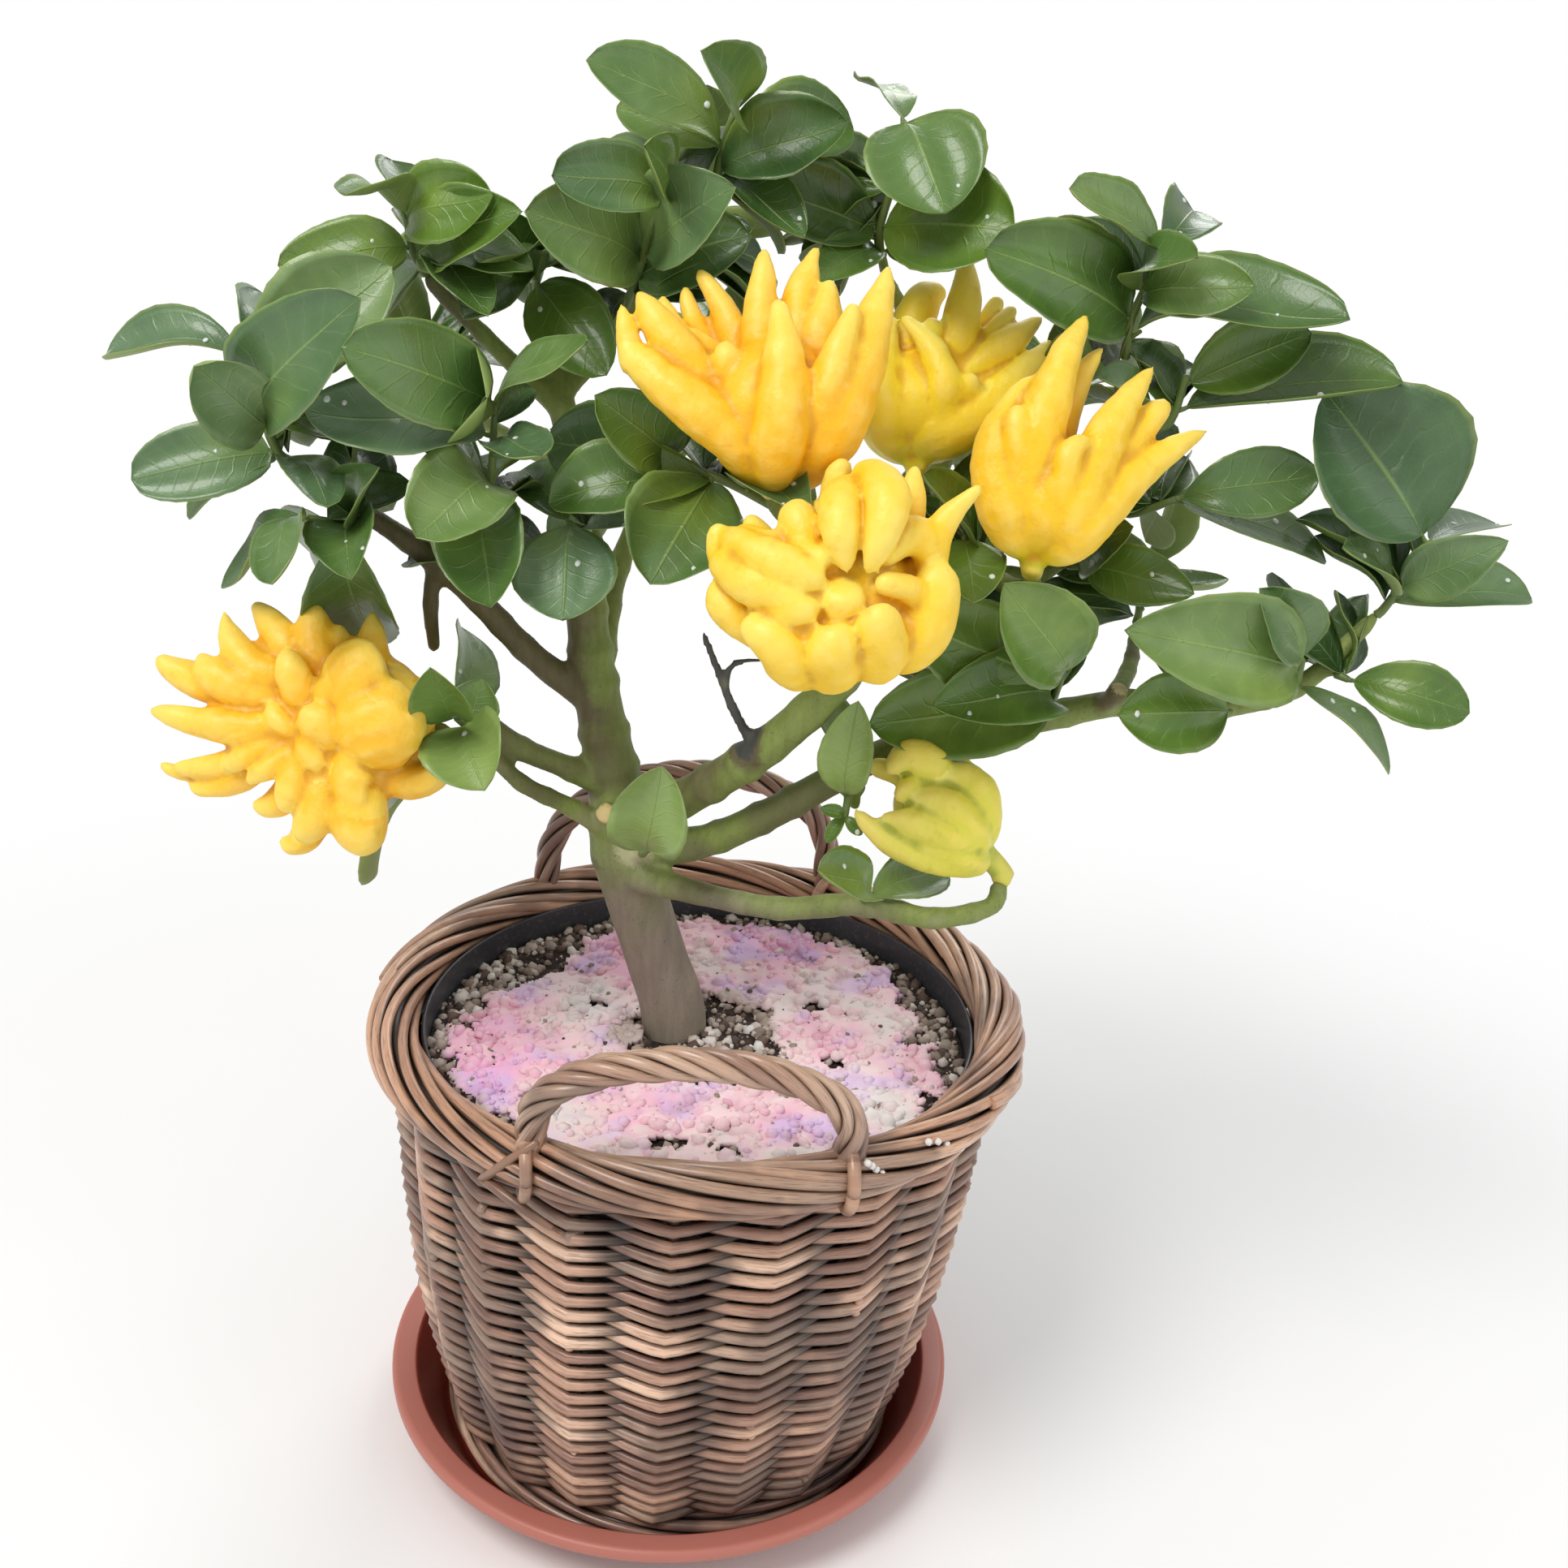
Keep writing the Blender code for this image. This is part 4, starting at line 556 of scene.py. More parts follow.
def weaveTree(paint):
    graph, given = newTree("woven_side", weave)
    ladder = graph.node("GeometryNodeMeshLine", {"mode": "OFFSET"}, {
        "Count": given["Rows"], "Start Location": graph.spot(z=given["Bottom"] + given["Pitch"] / 2.0),
        "Offset": graph.spot(z=given["Pitch"])})
    counted = graph.keep(ladder, "row", graph.node("GeometryNodeInputIndex"))
    hoop = graph.node("GeometryNodeCurvePrimitiveCircle", None,
                      {"Resolution": given["Stakes"] * 8, "Radius": 1.0})
    rows = graph.node("GeometryNodeInstanceOnPoints", None, {"Points": counted, "Instance": hoop})
    rods = graph.node("GeometryNodeRealizeInstances", None, {"Geometry": rows})
    row, east = graph.kept("row"), graph.apart(graph.here())
    north, height = east.also("Y"), east.also("Z")
    angle = graph.maths("ARCTAN2", north, east)
    sharp = 0.997  # straight runs with a sharp bend at each stake
    turn = graph.maths("COSINE", (angle + math.pi / 2) * given["Stakes"] * 0.5 + row * math.pi) * sharp
    wave = graph.maths("ARCSINE", turn) / math.asin(sharp)
    a, b, c, d = [float(x) for x in np.polyfit(*zip(*basket["profile"]), 3)]
    outline = ((height * a + b) * height + c) * height + d
    ring = graph.spot(east * 1.6, north * 1.6, row * 5.3)
    drift = graph.cloud(ring, 1.0, 2.0)
    drift2 = graph.cloud(graph.vector("ADD", ring, (7.0, 3.0, 1.0)), 2.3, 1.0)
    reach = outline - given["Depth"] + wave * given["Swing"] + (drift2 - 0.5) * given["Wander"] * 1.6
    level = height + (drift - 0.5) * given["Wander"] * 2.4 - wave * given["Drop"]
    laid = graph.moved(rods, Position=graph.spot(east * reach + level * given["Lean"], north * reach, level))
    behind = (angle + math.pi / 2) * given["Stakes"] / math.tau + row + 1.0
    stagger = graph.maths("MODULO", row * 2.0, 3.0) / 3.0
    part = graph.maths("FLOOR", behind / 6.0 + stagger)  # each rod runs past six stakes
    chosen = graph.chance(given["Seed"], ID=row * 31.0 + part)
    thick = graph.node("GeometryNodeSetCurveRadius", None, {
        "Curve": laid, "Radius": 0.90 + chosen * 0.12 + (drift - 0.5) * 0.3 + wave * 0.16})
    upright = graph.node("GeometryNodeSetCurveNormal", {"mode": "Z_UP"}, {"Curve": thick})
    marked = graph.keep(graph.keep(upright, "tone", chosen), "along", angle * 0.15)
    marked = graph.keep(marked, "level", level)
    section = graph.node("GeometryNodeTransform", None, {
        "Geometry": graph.node("GeometryNodeCurvePrimitiveCircle", None, {"Resolution": 8, "Radius": 1.0}),
        "Scale": graph.spot(given["Rod Depth"], given["Rod Height"], 1.0)})
    bend = graph.apart(graph.here())
    section = graph.keep(section, "around", graph.maths("ARCTAN2", bend.also("Y") * 0.8, bend))
    solid = graph.node("GeometryNodeCurveToMesh", None, {
        "Curve": marked, "Profile Curve": section, "Scale": graph.node("GeometryNodeInputRadius")})
    # painted shade: each rod is darker on its lower side and where it turns behind a stake
    under = graph.between((height - graph.kept("level")) / given["Rod Height"], 0.15, -0.68)
    inner = graph.between(wave, 0.55, -0.55)
    return endTree(graph, graph.keep(solid, "shade", graph.maths("MAXIMUM", inner, under * 0.96)), paint)


def ropeTree(name, paint, values):  # rods laid round a path
    graph, given = newTree(name, values)
    even = graph.node("GeometryNodeResampleCurve", None,
                      {"Curve": given["Geometry"], "Count": given["Steps"]})
    copies = graph.node("GeometryNodeDuplicateElements", {"domain": "SPLINE"},
                        {"Geometry": even, "Amount": given["Rods"]})
    counted = graph.keep(copies, "rod", copies.also("Duplicate Index"))
    counted = graph.keep(counted, "core", graph.here(), "FLOAT_VECTOR")
    rod, share = graph.kept("rod"), graph.node("GeometryNodeSplineParameter")
    place = graph.spot(share * 9.0, rod * 7.7, given["Seed"] * 3.1)
    drift = graph.cloud(place, 1.0, 1.0)
    drift2 = graph.cloud(graph.vector("ADD", place, (4.0, 9.0, 2.0)), 1.3, 1.0)
    angle = (rod / given["Rods"] + given["Turns"] * share) * math.tau + (drift - 0.5) * given["Wander"]
    reach = given["Core"] * (1.0 + (drift2 - 0.5) * given["Wander"] * 0.4)
    normal = graph.node("GeometryNodeInputNormal")
    across = graph.vector("CROSS_PRODUCT", graph.node("GeometryNodeInputTangent"), normal)
    offset = graph.vector("ADD", graph.scaled(normal, graph.maths("COSINE", angle) * reach),
                          graph.scaled(across, graph.maths("SINE", angle) * reach))
    chosen, other = graph.chance(given["Seed"], ID=rod), graph.chance(given["Seed"], ID=rod + 40.0)
    marked = graph.keep(graph.moved(counted, Offset=offset), "tone", chosen)
    marked = graph.keep(marked, "along", graph.node("GeometryNodeSplineParameter", out=1))
    thick = graph.node("GeometryNodeSetCurveRadius", None, {
        "Curve": marked, "Radius": given["Rod"] * (0.88 + other * 0.22 + (drift - 0.5) * 0.3)})
    first = other * given["Spread"]
    trimmed = graph.node("GeometryNodeTrimCurve", {"mode": "FACTOR"}, {
        "Curve": thick, "Start": first,
        "End": first + given["Shortest"] + chosen * (1.0 - given["Shortest"])})
    ring = graph.node("GeometryNodeCurvePrimitiveCircle", None, {"Resolution": given["Sides"], "Radius": 1.0})
    bend = graph.apart(graph.here())
    ring = graph.keep(ring, "around", graph.maths("ARCTAN2", bend.also("Y"), bend))
    solid = graph.node("GeometryNodeCurveToMesh", None, {
        "Curve": trimmed, "Profile Curve": ring, "Scale": graph.node("GeometryNodeInputRadius"),
        "Fill Caps": True})
    # painted shade: each rod is darker on the side that faces the middle of the bundle
    away = graph.vector("DISTANCE", graph.here(), graph.kept("core", "FLOAT_VECTOR"), out=1)
    share = (away - given["Core"]) / given["Rod"]
    return endTree(graph, graph.keep(solid, "shade", graph.between(share, 0.66, -0.22) * 0.97), paint)


def laidRods(name, path, paint, values):
    return noded(curveObject(name + "_path", path), ropeTree(name + "_tree", paint, values), values)


def shadowCoreMesh(path, radius, sides):  # a near-black tube in the middle: painted shade that shows between the rods
    shape = Shape(*rodMarks)
    verts, faces = tube(path, [radius] * len(path), sides)
    shape.add(verts, faces, shade=0.9)
    return shape.mesh("core")


def handlePath(handle, steps=28):
    radius, side = basket["borderRadius"], handle["side"]
    feet = [Vector((x, side * math.sqrt(radius ** 2 - x * x), 0)) for x in handle["ends"]]
    path = [feet[0] + Vector((0, 0, handleSocket))]
    for step in range(steps + 1):
        angle = math.pi * step / steps
        spot = feet[0].lerp(feet[1], (1 - math.cos(angle)) / 2)
        spot.y += side * handle["bulge"] * math.sin(angle)
        rise = (handle["top"] - handleShoulder) * math.sin(angle) ** 0.8
        path.append(spot + Vector((0, 0, handleShoulder + rise)))
    path.append(feet[1] + Vector((0, 0, handleSocket)))
    return [leaned(point) for point in path]


def ringPath(radius, height, steps, first=0.0, sweep=math.tau):
    return [leaned(onRing(radius, first + sweep * i / steps, height)) for i in range(steps)]


def basketRadius(height):
    return float(np.interp(height, *zip(*basket["profile"])))


def stakeMesh():  # the upright stakes, and cut rod ends that stand out of the weave
    shape = Shape(*rodMarks)
    draw = random.Random(basket["seed"])
    for stake in range(basket["stakes"]):
        angle = -math.pi / 2 + math.tau * stake / basket["stakes"]
        path = [leaned(onRing(basketRadius(z) - weave["Depth"], angle, z))
                for z in np.linspace(*basket["stakeEnds"], 14)]
        verts, faces = tube(path, [basket["stakeSize"]] * len(path), 8)
        shape.add(verts, faces, tone=draw.random() * 0.3, along=np.array(verts)[:, 2] * 3, shade=0.75)
    for rodEnd in range(basket["rodEnds"]):
        stake = draw.randrange(basket["stakes"])
        angle = -math.pi / 2 + math.tau * stake / basket["stakes"] + draw.uniform(-0.012, 0.012)
        z = draw.uniform(0.035, 0.212)
        out = onRing(1, angle)
        aside = onRing(1, angle + math.pi / 2) * draw.choice((-1, 1))
        middle = leaned(out * (basketRadius(z) - 0.0020) + Vector((0, 0, z)))
        path = [middle - aside * 0.004 - out * 0.005, middle - out * 0.0010,
                middle + aside * 0.0012 + out * 0.0022 - Vector((0, 0, 0.0010))]
        verts, faces = tube(path, [0.0019, 0.0021, 0.0019], 8, crown=0.35)
        shape.add(verts, faces, tone=draw.uniform(0.55, 1.0), along=draw.random(), around=0.5, shade=0.1)
    return shape.mesh("stakes")


def tieMesh():  # loops that tie the handles to the border, and one rod laid slantwise
    shape = Shape(*rodMarks)
    radius, half, steps, sides = basket["borderRadius"], basket["borderHalf"], 24, 9
    for angle, slant, size in basket["ties"]:
        path = []
        for step in range(steps + 1):
            around = math.tau * step / steps
            lean = slant * math.cos(around) / radius
            path.append(leaned(onRing(radius + half * math.cos(around), angle + lean,
                                      basket["borderMiddle"] + half * math.sin(around))))
        verts, faces = tube(path, [size] * len(path), sides)
        along = np.repeat(np.linspace(0, 0.2, len(path)), sides)
        shape.add(verts, faces, tone=0.55, along=np.r_[along, 0, 0], around=0.2)
    angles, heights, sizes = zip(*basket["slant"])
    path = [leaned(onRing(basket["slantRadius"], angle, height)) for angle, height in zip(angles, heights)]
    verts, faces = tube(path, sizes, 8)
    shape.add(verts, faces, tone=0.1, shade=0.35)
    return shape.mesh("ties")


def buildBasket():
    side = willowBark("willow_side", 0.3)
    woven = noded(hostObject("weave_host", bpy.data.meshes.new("weave")), weaveTree(side), weave)
    finishPiece(merged("woven_side", [woven, stakeMesh()], side), "willow", "basket_wall")

    rolled = willowBark("willow_border", 0.5, 0.30, (226, 170, 124))
    place = basket["borderRadius"], basket["borderMiddle"]
    ring = ringPath(*place, 120)
    meshes = [shadowCoreMesh(ring + ring[:1], 0.0068, 10), tieMesh()]
    for first, values in ((0.4, borderRods), (2.9, strayRods)):
        meshes.append(laidRods("border", ringPath(*place, 220, first, math.tau * 1.04), rolled, values))
    finishPiece(merged("border_rods", meshes, rolled), "willow", "basket_border")

    brown = willowBark("willow_handle", 0.6, 0.35)
    for seed, (name, handle) in enumerate(handles.items(), 11):
        path, values = handlePath(handle), {**handleRods, "Seed": seed}
        meshes = [shadowCoreMesh(path, 0.0036, 8), laidRods(name, smoothPath(path, 2), brown, values)]
        finishPiece(merged(name + "_rods", meshes, brown), "willow", name)

    dark = willowBark("willow_foot", 0.8)
    place = basket["footRadius"], basket["footMiddle"]
    ring = ringPath(*place, 100)
    meshes = [laidRods("foot", ringPath(*place, 200, 0.9, math.tau * 1.02), dark, footRods),
              shadowCoreMesh(ring + ring[:1], 0.0048, 8)]
    finishPiece(merged("foot_rods", meshes, dark), "willow", "basket_foot")

    disc = Shape(*rodMarks)
    verts, faces = turned(softened(basket["disc"], 3, 0.002), 96, basket["lean"])
    spot = np.array(verts)
    disc.add(verts, faces, tone=0.3, along=np.hypot(spot[:, 0], spot[:, 1]) * 4,
             around=np.arctan2(spot[:, 1], spot[:, 0]) * 8, shade=0.3)
    finishPiece(disc.piece("base_disc", dark), "willow", "basket_base")


buildBasket()
print("basket is woven")


# pot, soil and top dressing

pot = {"wall": 0.0015, "sides": 120, "corner": 0.0012,
       "outside": ((0.0925, 0.0138), (0.1115, 0.0500), (0.1270, 0.1350), (0.1348, 0.2350)),
       "rim": ((0.1339, 0.2290), (0.1352, 0.2305), (0.1352, 0.2344), (0.1345, 0.2350))}
bed = {"top": 0.2220, "foot": (-0.005, 0.010), "holeRadius": 0.0173, "holeDepth": 0.0485, "rings": 43,
       "sides": 150, "gap": 0.0006, "flare": 0.078, "sparse": (0.056, 0.098, 0.35)}
dressing = {
    "cell": 0.0016, "reach": 0.130, "inner": 0.039, "outer": 0.1215, "flakes": 1500, "seed": 4,
    "lift": 0.0003,
    "gravel": ((148, 26, 0.024), (20, 20, 0.011), (352, 14, 0.006), (322, 30, -0.007)),  # angle, width, depth
    "bare": ((285, 40, 0.010), (150, 60, -0.012)),
    "holes": ((-69, -66, 7), (29, 5, 7), (-9, -97, 7), (62, 32, 8), (20, -99, 4), (67, -22, 4), (24, -39, 9),
              (108, 6, 8), (-36, -34, 4), (-52, 22, 5)),  # x, y and radius in millimetres
    "bitRadius": 0.1572,
    "bits": ((-1.00, 0.240), (-1.02, 0.243), (-1.05, 0.2475), (-0.68, 0.232), (-0.72, 0.236), (-0.76, 0.240),
             (-0.80, 0.244), (-0.84, 0.2465), (-1.035, 0.2455), (1.95, 0.2480)),  # angle and height
}
grit = {"Density": 90000.0, "Smallest": 0.0006, "Largest": 0.0040, "Flatness": 0.8, "Tilt": 2.0,
        "Seed": 5}
crumbs = {"Density": 34000.0, "Smallest": 0.0009, "Largest": 0.0042, "Flatness": 0.62, "Tilt": 1.0,
          "Seed": 9}
strayGrit = {**grit, "Density": 5200.0, "Smallest": 0.0005, "Largest": 0.0018, "Seed": 15}


def potPlastic():
    paint = Finish("dark_pot_plastic", 0.32)
    cloudy = paint.cloud(paint.place, 30.0, 3.0)
    dusty = paint.cloud(paint.place, 420.0, 3.0)
    plastic = paint.blend(cloudy, tint(44, 45, 50), tint(66, 67, 74))
    grimy = paint.blend(paint.between(dusty, 0.52, 0.75) * 0.35, plastic, tint(120, 112, 108))
    paint.feed("Base Color", grimy)
    paint.feed("Roughness", 0.28 + cloudy * 0.2)
    paint.relief(cloudy * 0.8 + dusty * 0.2, 0.0009, 0.4)
    return paint


def pottingSoil():
    paint = Finish("potting_soil", 0.95)
    lumps = paint.cloud(paint.place, 260.0, 5.0, 0.65)
    fine = paint.cloud(paint.place, 1300.0, 3.0)
    dark = paint.blend(paint.between(lumps, 0.35, 0.7), tint(24, 18, 16), tint(74, 54, 46))
    paint.feed("Base Color", paint.blend(paint.between(fine, 0.62, 0.78) * 0.6, dark, tint(150, 134, 122)))
    paint.relief(lumps * 0.7 + fine * 0.3, 0.0016, 0.9)
    return paint


def pinkCrumb():
    paint = Finish("pink_dressing", 0.82, {"Subsurface Weight": 0.1, "Subsurface Scale": 0.003})
    broad = paint.cloud(paint.place, 17.0, 3.0)
    hue = paint.cloud(paint.place, 34.0, 2.0)
    fine = paint.cloud(paint.place, 900.0, 4.0, 0.6)
    lumps = paint.cloud(paint.place, 330.0, 3.0)
    value = paint.mark("tone") * 0.30 + (broad - 0.5) * 2.6 + 0.30
    rosy = paint.ramp(value, (0.0, tint(236, 230, 228)), (0.3, tint(250, 224, 226)),
                      (0.6, tint(250, 202, 218)), (1.0, tint(244, 180, 216)))
    lilac = paint.blend(value, tint(238, 222, 240), tint(224, 188, 234))
    mixed = paint.blend(paint.between(hue, 0.48, 0.64), rosy, lilac)
    gravelly = paint.between(paint.mark("dust") + (hue - 0.5) * 2.0 + (lumps - 0.5) * 0.8, 0.50, 0.95)
    dusty = paint.blend(gravelly, mixed, tint(206, 190, 184))
    spotted = paint.blend(paint.between(fine, 0.66, 0.76) * 0.3, dusty, tint(170, 138, 138))
    paint.feed("Base Color", paint.blend(paint.mark("shade") * 0.45, spotted, tint(176, 112, 136)))
    paint.relief(lumps * 0.6 + fine * 0.4, 0.0006, 0.5)
    return paint


def gritStone():
    paint = Finish("grit", 0.7)
    fine = paint.cloud(paint.place, 1200.0, 3.0)
    stone = paint.ramp(paint.mark("tone"), (0.0, tint(48, 38, 34)), (0.18, tint(98, 72, 62)),
                       (0.24, tint(142, 124, 112)), (0.6, tint(182, 164, 152)), (0.8, tint(214, 198, 190)),
                       (1.0, tint(244, 240, 236)))
    paint.feed("Base Color", paint.blend(fine * 0.3, stone, tint(110, 96, 88)))
    paint.feed("Roughness", 0.5 + fine * 0.3)
    paint.relief(fine, 0.0005, 0.6)
    return paint


def stoneShape(graph):
    ball = graph.node("GeometryNodeMeshIcoSphere", None, {"Radius": 1.0, "Subdivisions": 1})
    rough = graph.cloud(graph.vector("ADD", graph.here(), (3.0, 1.0, 2.0)), 1.4, 1.0)
    return graph.moved(ball, Offset=graph.scaled(graph.here(), (rough - 0.5) * 0.9))


def strewn(name, ground, paint, values):  # small stones or flakes strewn over the ground's cover
    graph, given = newTree(name, values)
    spread = graph.node("GeometryNodeDistributePointsOnFaces", None, {
        "Mesh": given["Geometry"], "Density": given["Density"] * graph.kept("cover"), "Seed": given["Seed"]})
    chance = [graph.chance(given["Seed"] + float(step)) for step in range(1, 9)]
    toned = graph.keep(spread, "tone", chance[0])
    size = given["Smallest"] + (given["Largest"] - given["Smallest"]) * chance[1] * chance[1]
    scale = graph.spot(size * (0.7 + chance[2] * 0.6), size * (0.7 + chance[3] * 0.6),
                       size * given["Flatness"] * (0.7 + chance[4] * 0.6))
    euler = graph.spot((chance[5] - 0.5) * given["Tilt"], (chance[6] - 0.5) * given["Tilt"],
                       chance[7] * math.tau)
    turn = graph.node("FunctionNodeEulerToRotation", None, {0: euler})
    laid = graph.node("GeometryNodeInstanceOnPoints", None, {
        "Points": toned, "Instance": stoneShape(graph), "Rotation": turn, "Scale": scale})
    return noded(hostObject(name + "_host", ground), endTree(graph, laid, paint), values)


def buildPot():
    floor = pot["outside"][0][1] + pot["wall"]
    inside = [(radius - pot["wall"], max(height, floor)) for radius, height in pot["outside"]]
    profile = [(0, pot["outside"][0][1]), *pot["outside"][:-1], *pot["rim"], *inside[::-1], (0, floor)]
    shape = Shape()
    shape.add(*turned(softened(profile, 3, pot["corner"]), pot["sides"], basket["lean"]))
    finishPiece(shape.piece("liner_pot_shell", potPlastic()), "liner_plastic", "liner_pot")
    return inside


def soilRings(inside):  # points and cover of the uneven top, then the rings that follow the pot down
    sides, foot, hole = bed["sides"], np.array(bed["foot"]), bed["holeRadius"]
    edge = inside[-1][0] - bed["gap"] - (inside[-1][1] - bed["top"]) * bed["flare"]
    radii = np.linspace(0.0, edge, bed["rings"] + 1)[1:]
    radii = np.r_[hole, radii[radii > hole * 1.2]]
    verts, cover = [], []
    for radius in radii:
        blend = (radius - hole) / (edge - hole)
        for side in range(sides):
            angle = math.tau * side / sides
            way = np.array((math.cos(angle), math.sin(angle)))
            spot = foot * (1 - blend) + way * radius + np.array((basket["lean"] * bed["top"], 0)) * blend
            lump = noise.noise(Vector((*spot, 0)) * 55) * 0.0016
            lump += noise.noise(Vector((*spot, 3)) * 160) * 0.0010
            verts.append((*spot, bed["top"] - 0.0012 + lump * min(1.0, 6 * (1 - blend))))
            cover.append(bed["sparse"][2] if bed["sparse"][0] <= radius <= bed["sparse"][1] else 1.0)
    lower = [(radius - bed["gap"], max(height, inside[0][1] + 0.0004)) for radius, height in inside[-2::-1]]
    below = [(edge, bed["top"] - 0.004), *lower]
    for radius, height in below:
        verts += [leaned(onRing(radius, math.tau * side / sides, height)) for side in range(sides)]
    return verts, cover, len(radii) + len(below), lower[-1][1]


def buildSoil(inside, stone):
    sides = bed["sides"]
    verts, cover, rings, bottom = soilRings(inside)
    around = [(side, (side + 1) % sides) for side in range(sides)]
    faces = []
    for first in range(0, (rings - 1) * sides, sides):
        faces += [(first + sides + a, first + sides + b, first + b, first + a) for a, b in around]
    verts.append((basket["lean"] * bottom, 0, bottom))
    last, hole = (rings - 1) * sides, len(verts)
    faces += [(hole - 1, last + a, last + b) for a, b in around]
    middle = Vector((*bed["foot"], bed["top"] - bed["holeDepth"]))
    verts += [middle + onRing(bed["holeRadius"], math.tau * side / sides) for side in range(sides)] + [middle]
    for a, b in around:
        faces += [(a, b, hole + b, hole + a), (hole + a, hole + b, hole + sides)]
    shape = Shape("cover")
    shape.add(verts, faces, cover=np.r_[cover, np.zeros(len(verts) - len(cover))])
    item = shape.piece("potting_soil", pottingSoil())
    worked(item.data, lambda work: bmesh.ops.recalc_face_normals(work, faces=work.faces))
    finishPiece(item, "earth", "soil")
    ground = item.data.copy()
    worked(ground, lambda work: bmesh.ops.delete(work, context="FACES", geom=[
        face for face in work.faces if face.normal.z < 0.3 or face.calc_center_median().z < 0.2]))
    finishPiece(addPiece("grit_stones", strewn("strewn_grit", ground, stone, grit), stone), "earth")


def dressingMask(gridX, gridY, ragged):  # where the dressing lies, with gravel round it and bare spots
    reach, angle = np.hypot(gridX, gridY), np.degrees(np.arctan2(gridY, gridX)) % 360

    def bulges(rows):
        return sum(np.exp(-((angle - middle) / width) ** 2) * depth for middle, width, depth in rows)

    keep = reach < dressing["outer"] - bulges(dressing["gravel"]) + ragged * 0.012
    keep &= reach > dressing["inner"] + bulges(dressing["bare"]) + ragged * 0.014
    for east, north, size in dressing["holes"]:
        keep &= np.hypot(gridX - east * mm, (gridY - north * mm) * 1.2) > size * mm * (1 + ragged * 1.1)
    edge = np.clip(0.9 - np.abs(reach - 0.128) / 0.016, 0, 1)
    return keep, edge + np.clip(0.8 - (reach - 0.038) / 0.018, 0, 1)


def layFlakes(axis, gridX, gridY, mound):  # height, tone and shade of the flakes that lie on top
    draw = random.Random(dressing["seed"])
    height = np.full(gridX.shape, 0.0002)
    tone, shade = np.full(gridX.shape, 0.3), np.full(gridX.shape, 0.8)
    for flake in range(dressing["flakes"]):
        far, around = math.sqrt(draw.random()) * 0.126, draw.uniform(0, math.tau)
        east, north = far * math.cos(around), far * math.sin(around)
        size = draw.uniform(0.0030, 0.0095)
        turn, slim = draw.uniform(0, math.tau), draw.uniform(0.55, 1.0)
        patch = tuple(slice(*np.searchsorted(axis, (spot - size * 1.4, spot + size * 1.4)))
                      for spot in (east, north))
        dx, dy = gridX[patch] - east, gridY[patch] - north
        px = dx * math.cos(turn) + dy * math.sin(turn)
        py = (dy * math.cos(turn) - dx * math.sin(turn)) / slim
        lobes = np.sin(np.arctan2(py, px) * draw.choice((3, 4, 5)) + turn)
        away = np.hypot(px, py) / size * (1 + 0.22 * lobes)
        lift = draw.uniform(0.0002, 0.0030)
        puff = np.sqrt(np.clip(1 - away ** 2, 0, 1)) * size * draw.uniform(0.12, 0.30)
        plate = lift + px * draw.uniform(0.0, 0.16) + puff - 0.0012 + 0.0010 * mound[patch]
        win = (away < 1) & (plate > height[patch])
        height[patch][win] = plate[win]
        tone[patch][win] = draw.random()
        shade[patch][win] = np.clip(0.5 - (lift / 0.0034) * 0.5, 0, 1)
    return np.clip(height + mound * 0.0009, 0.0003, 0.0058), tone, shade


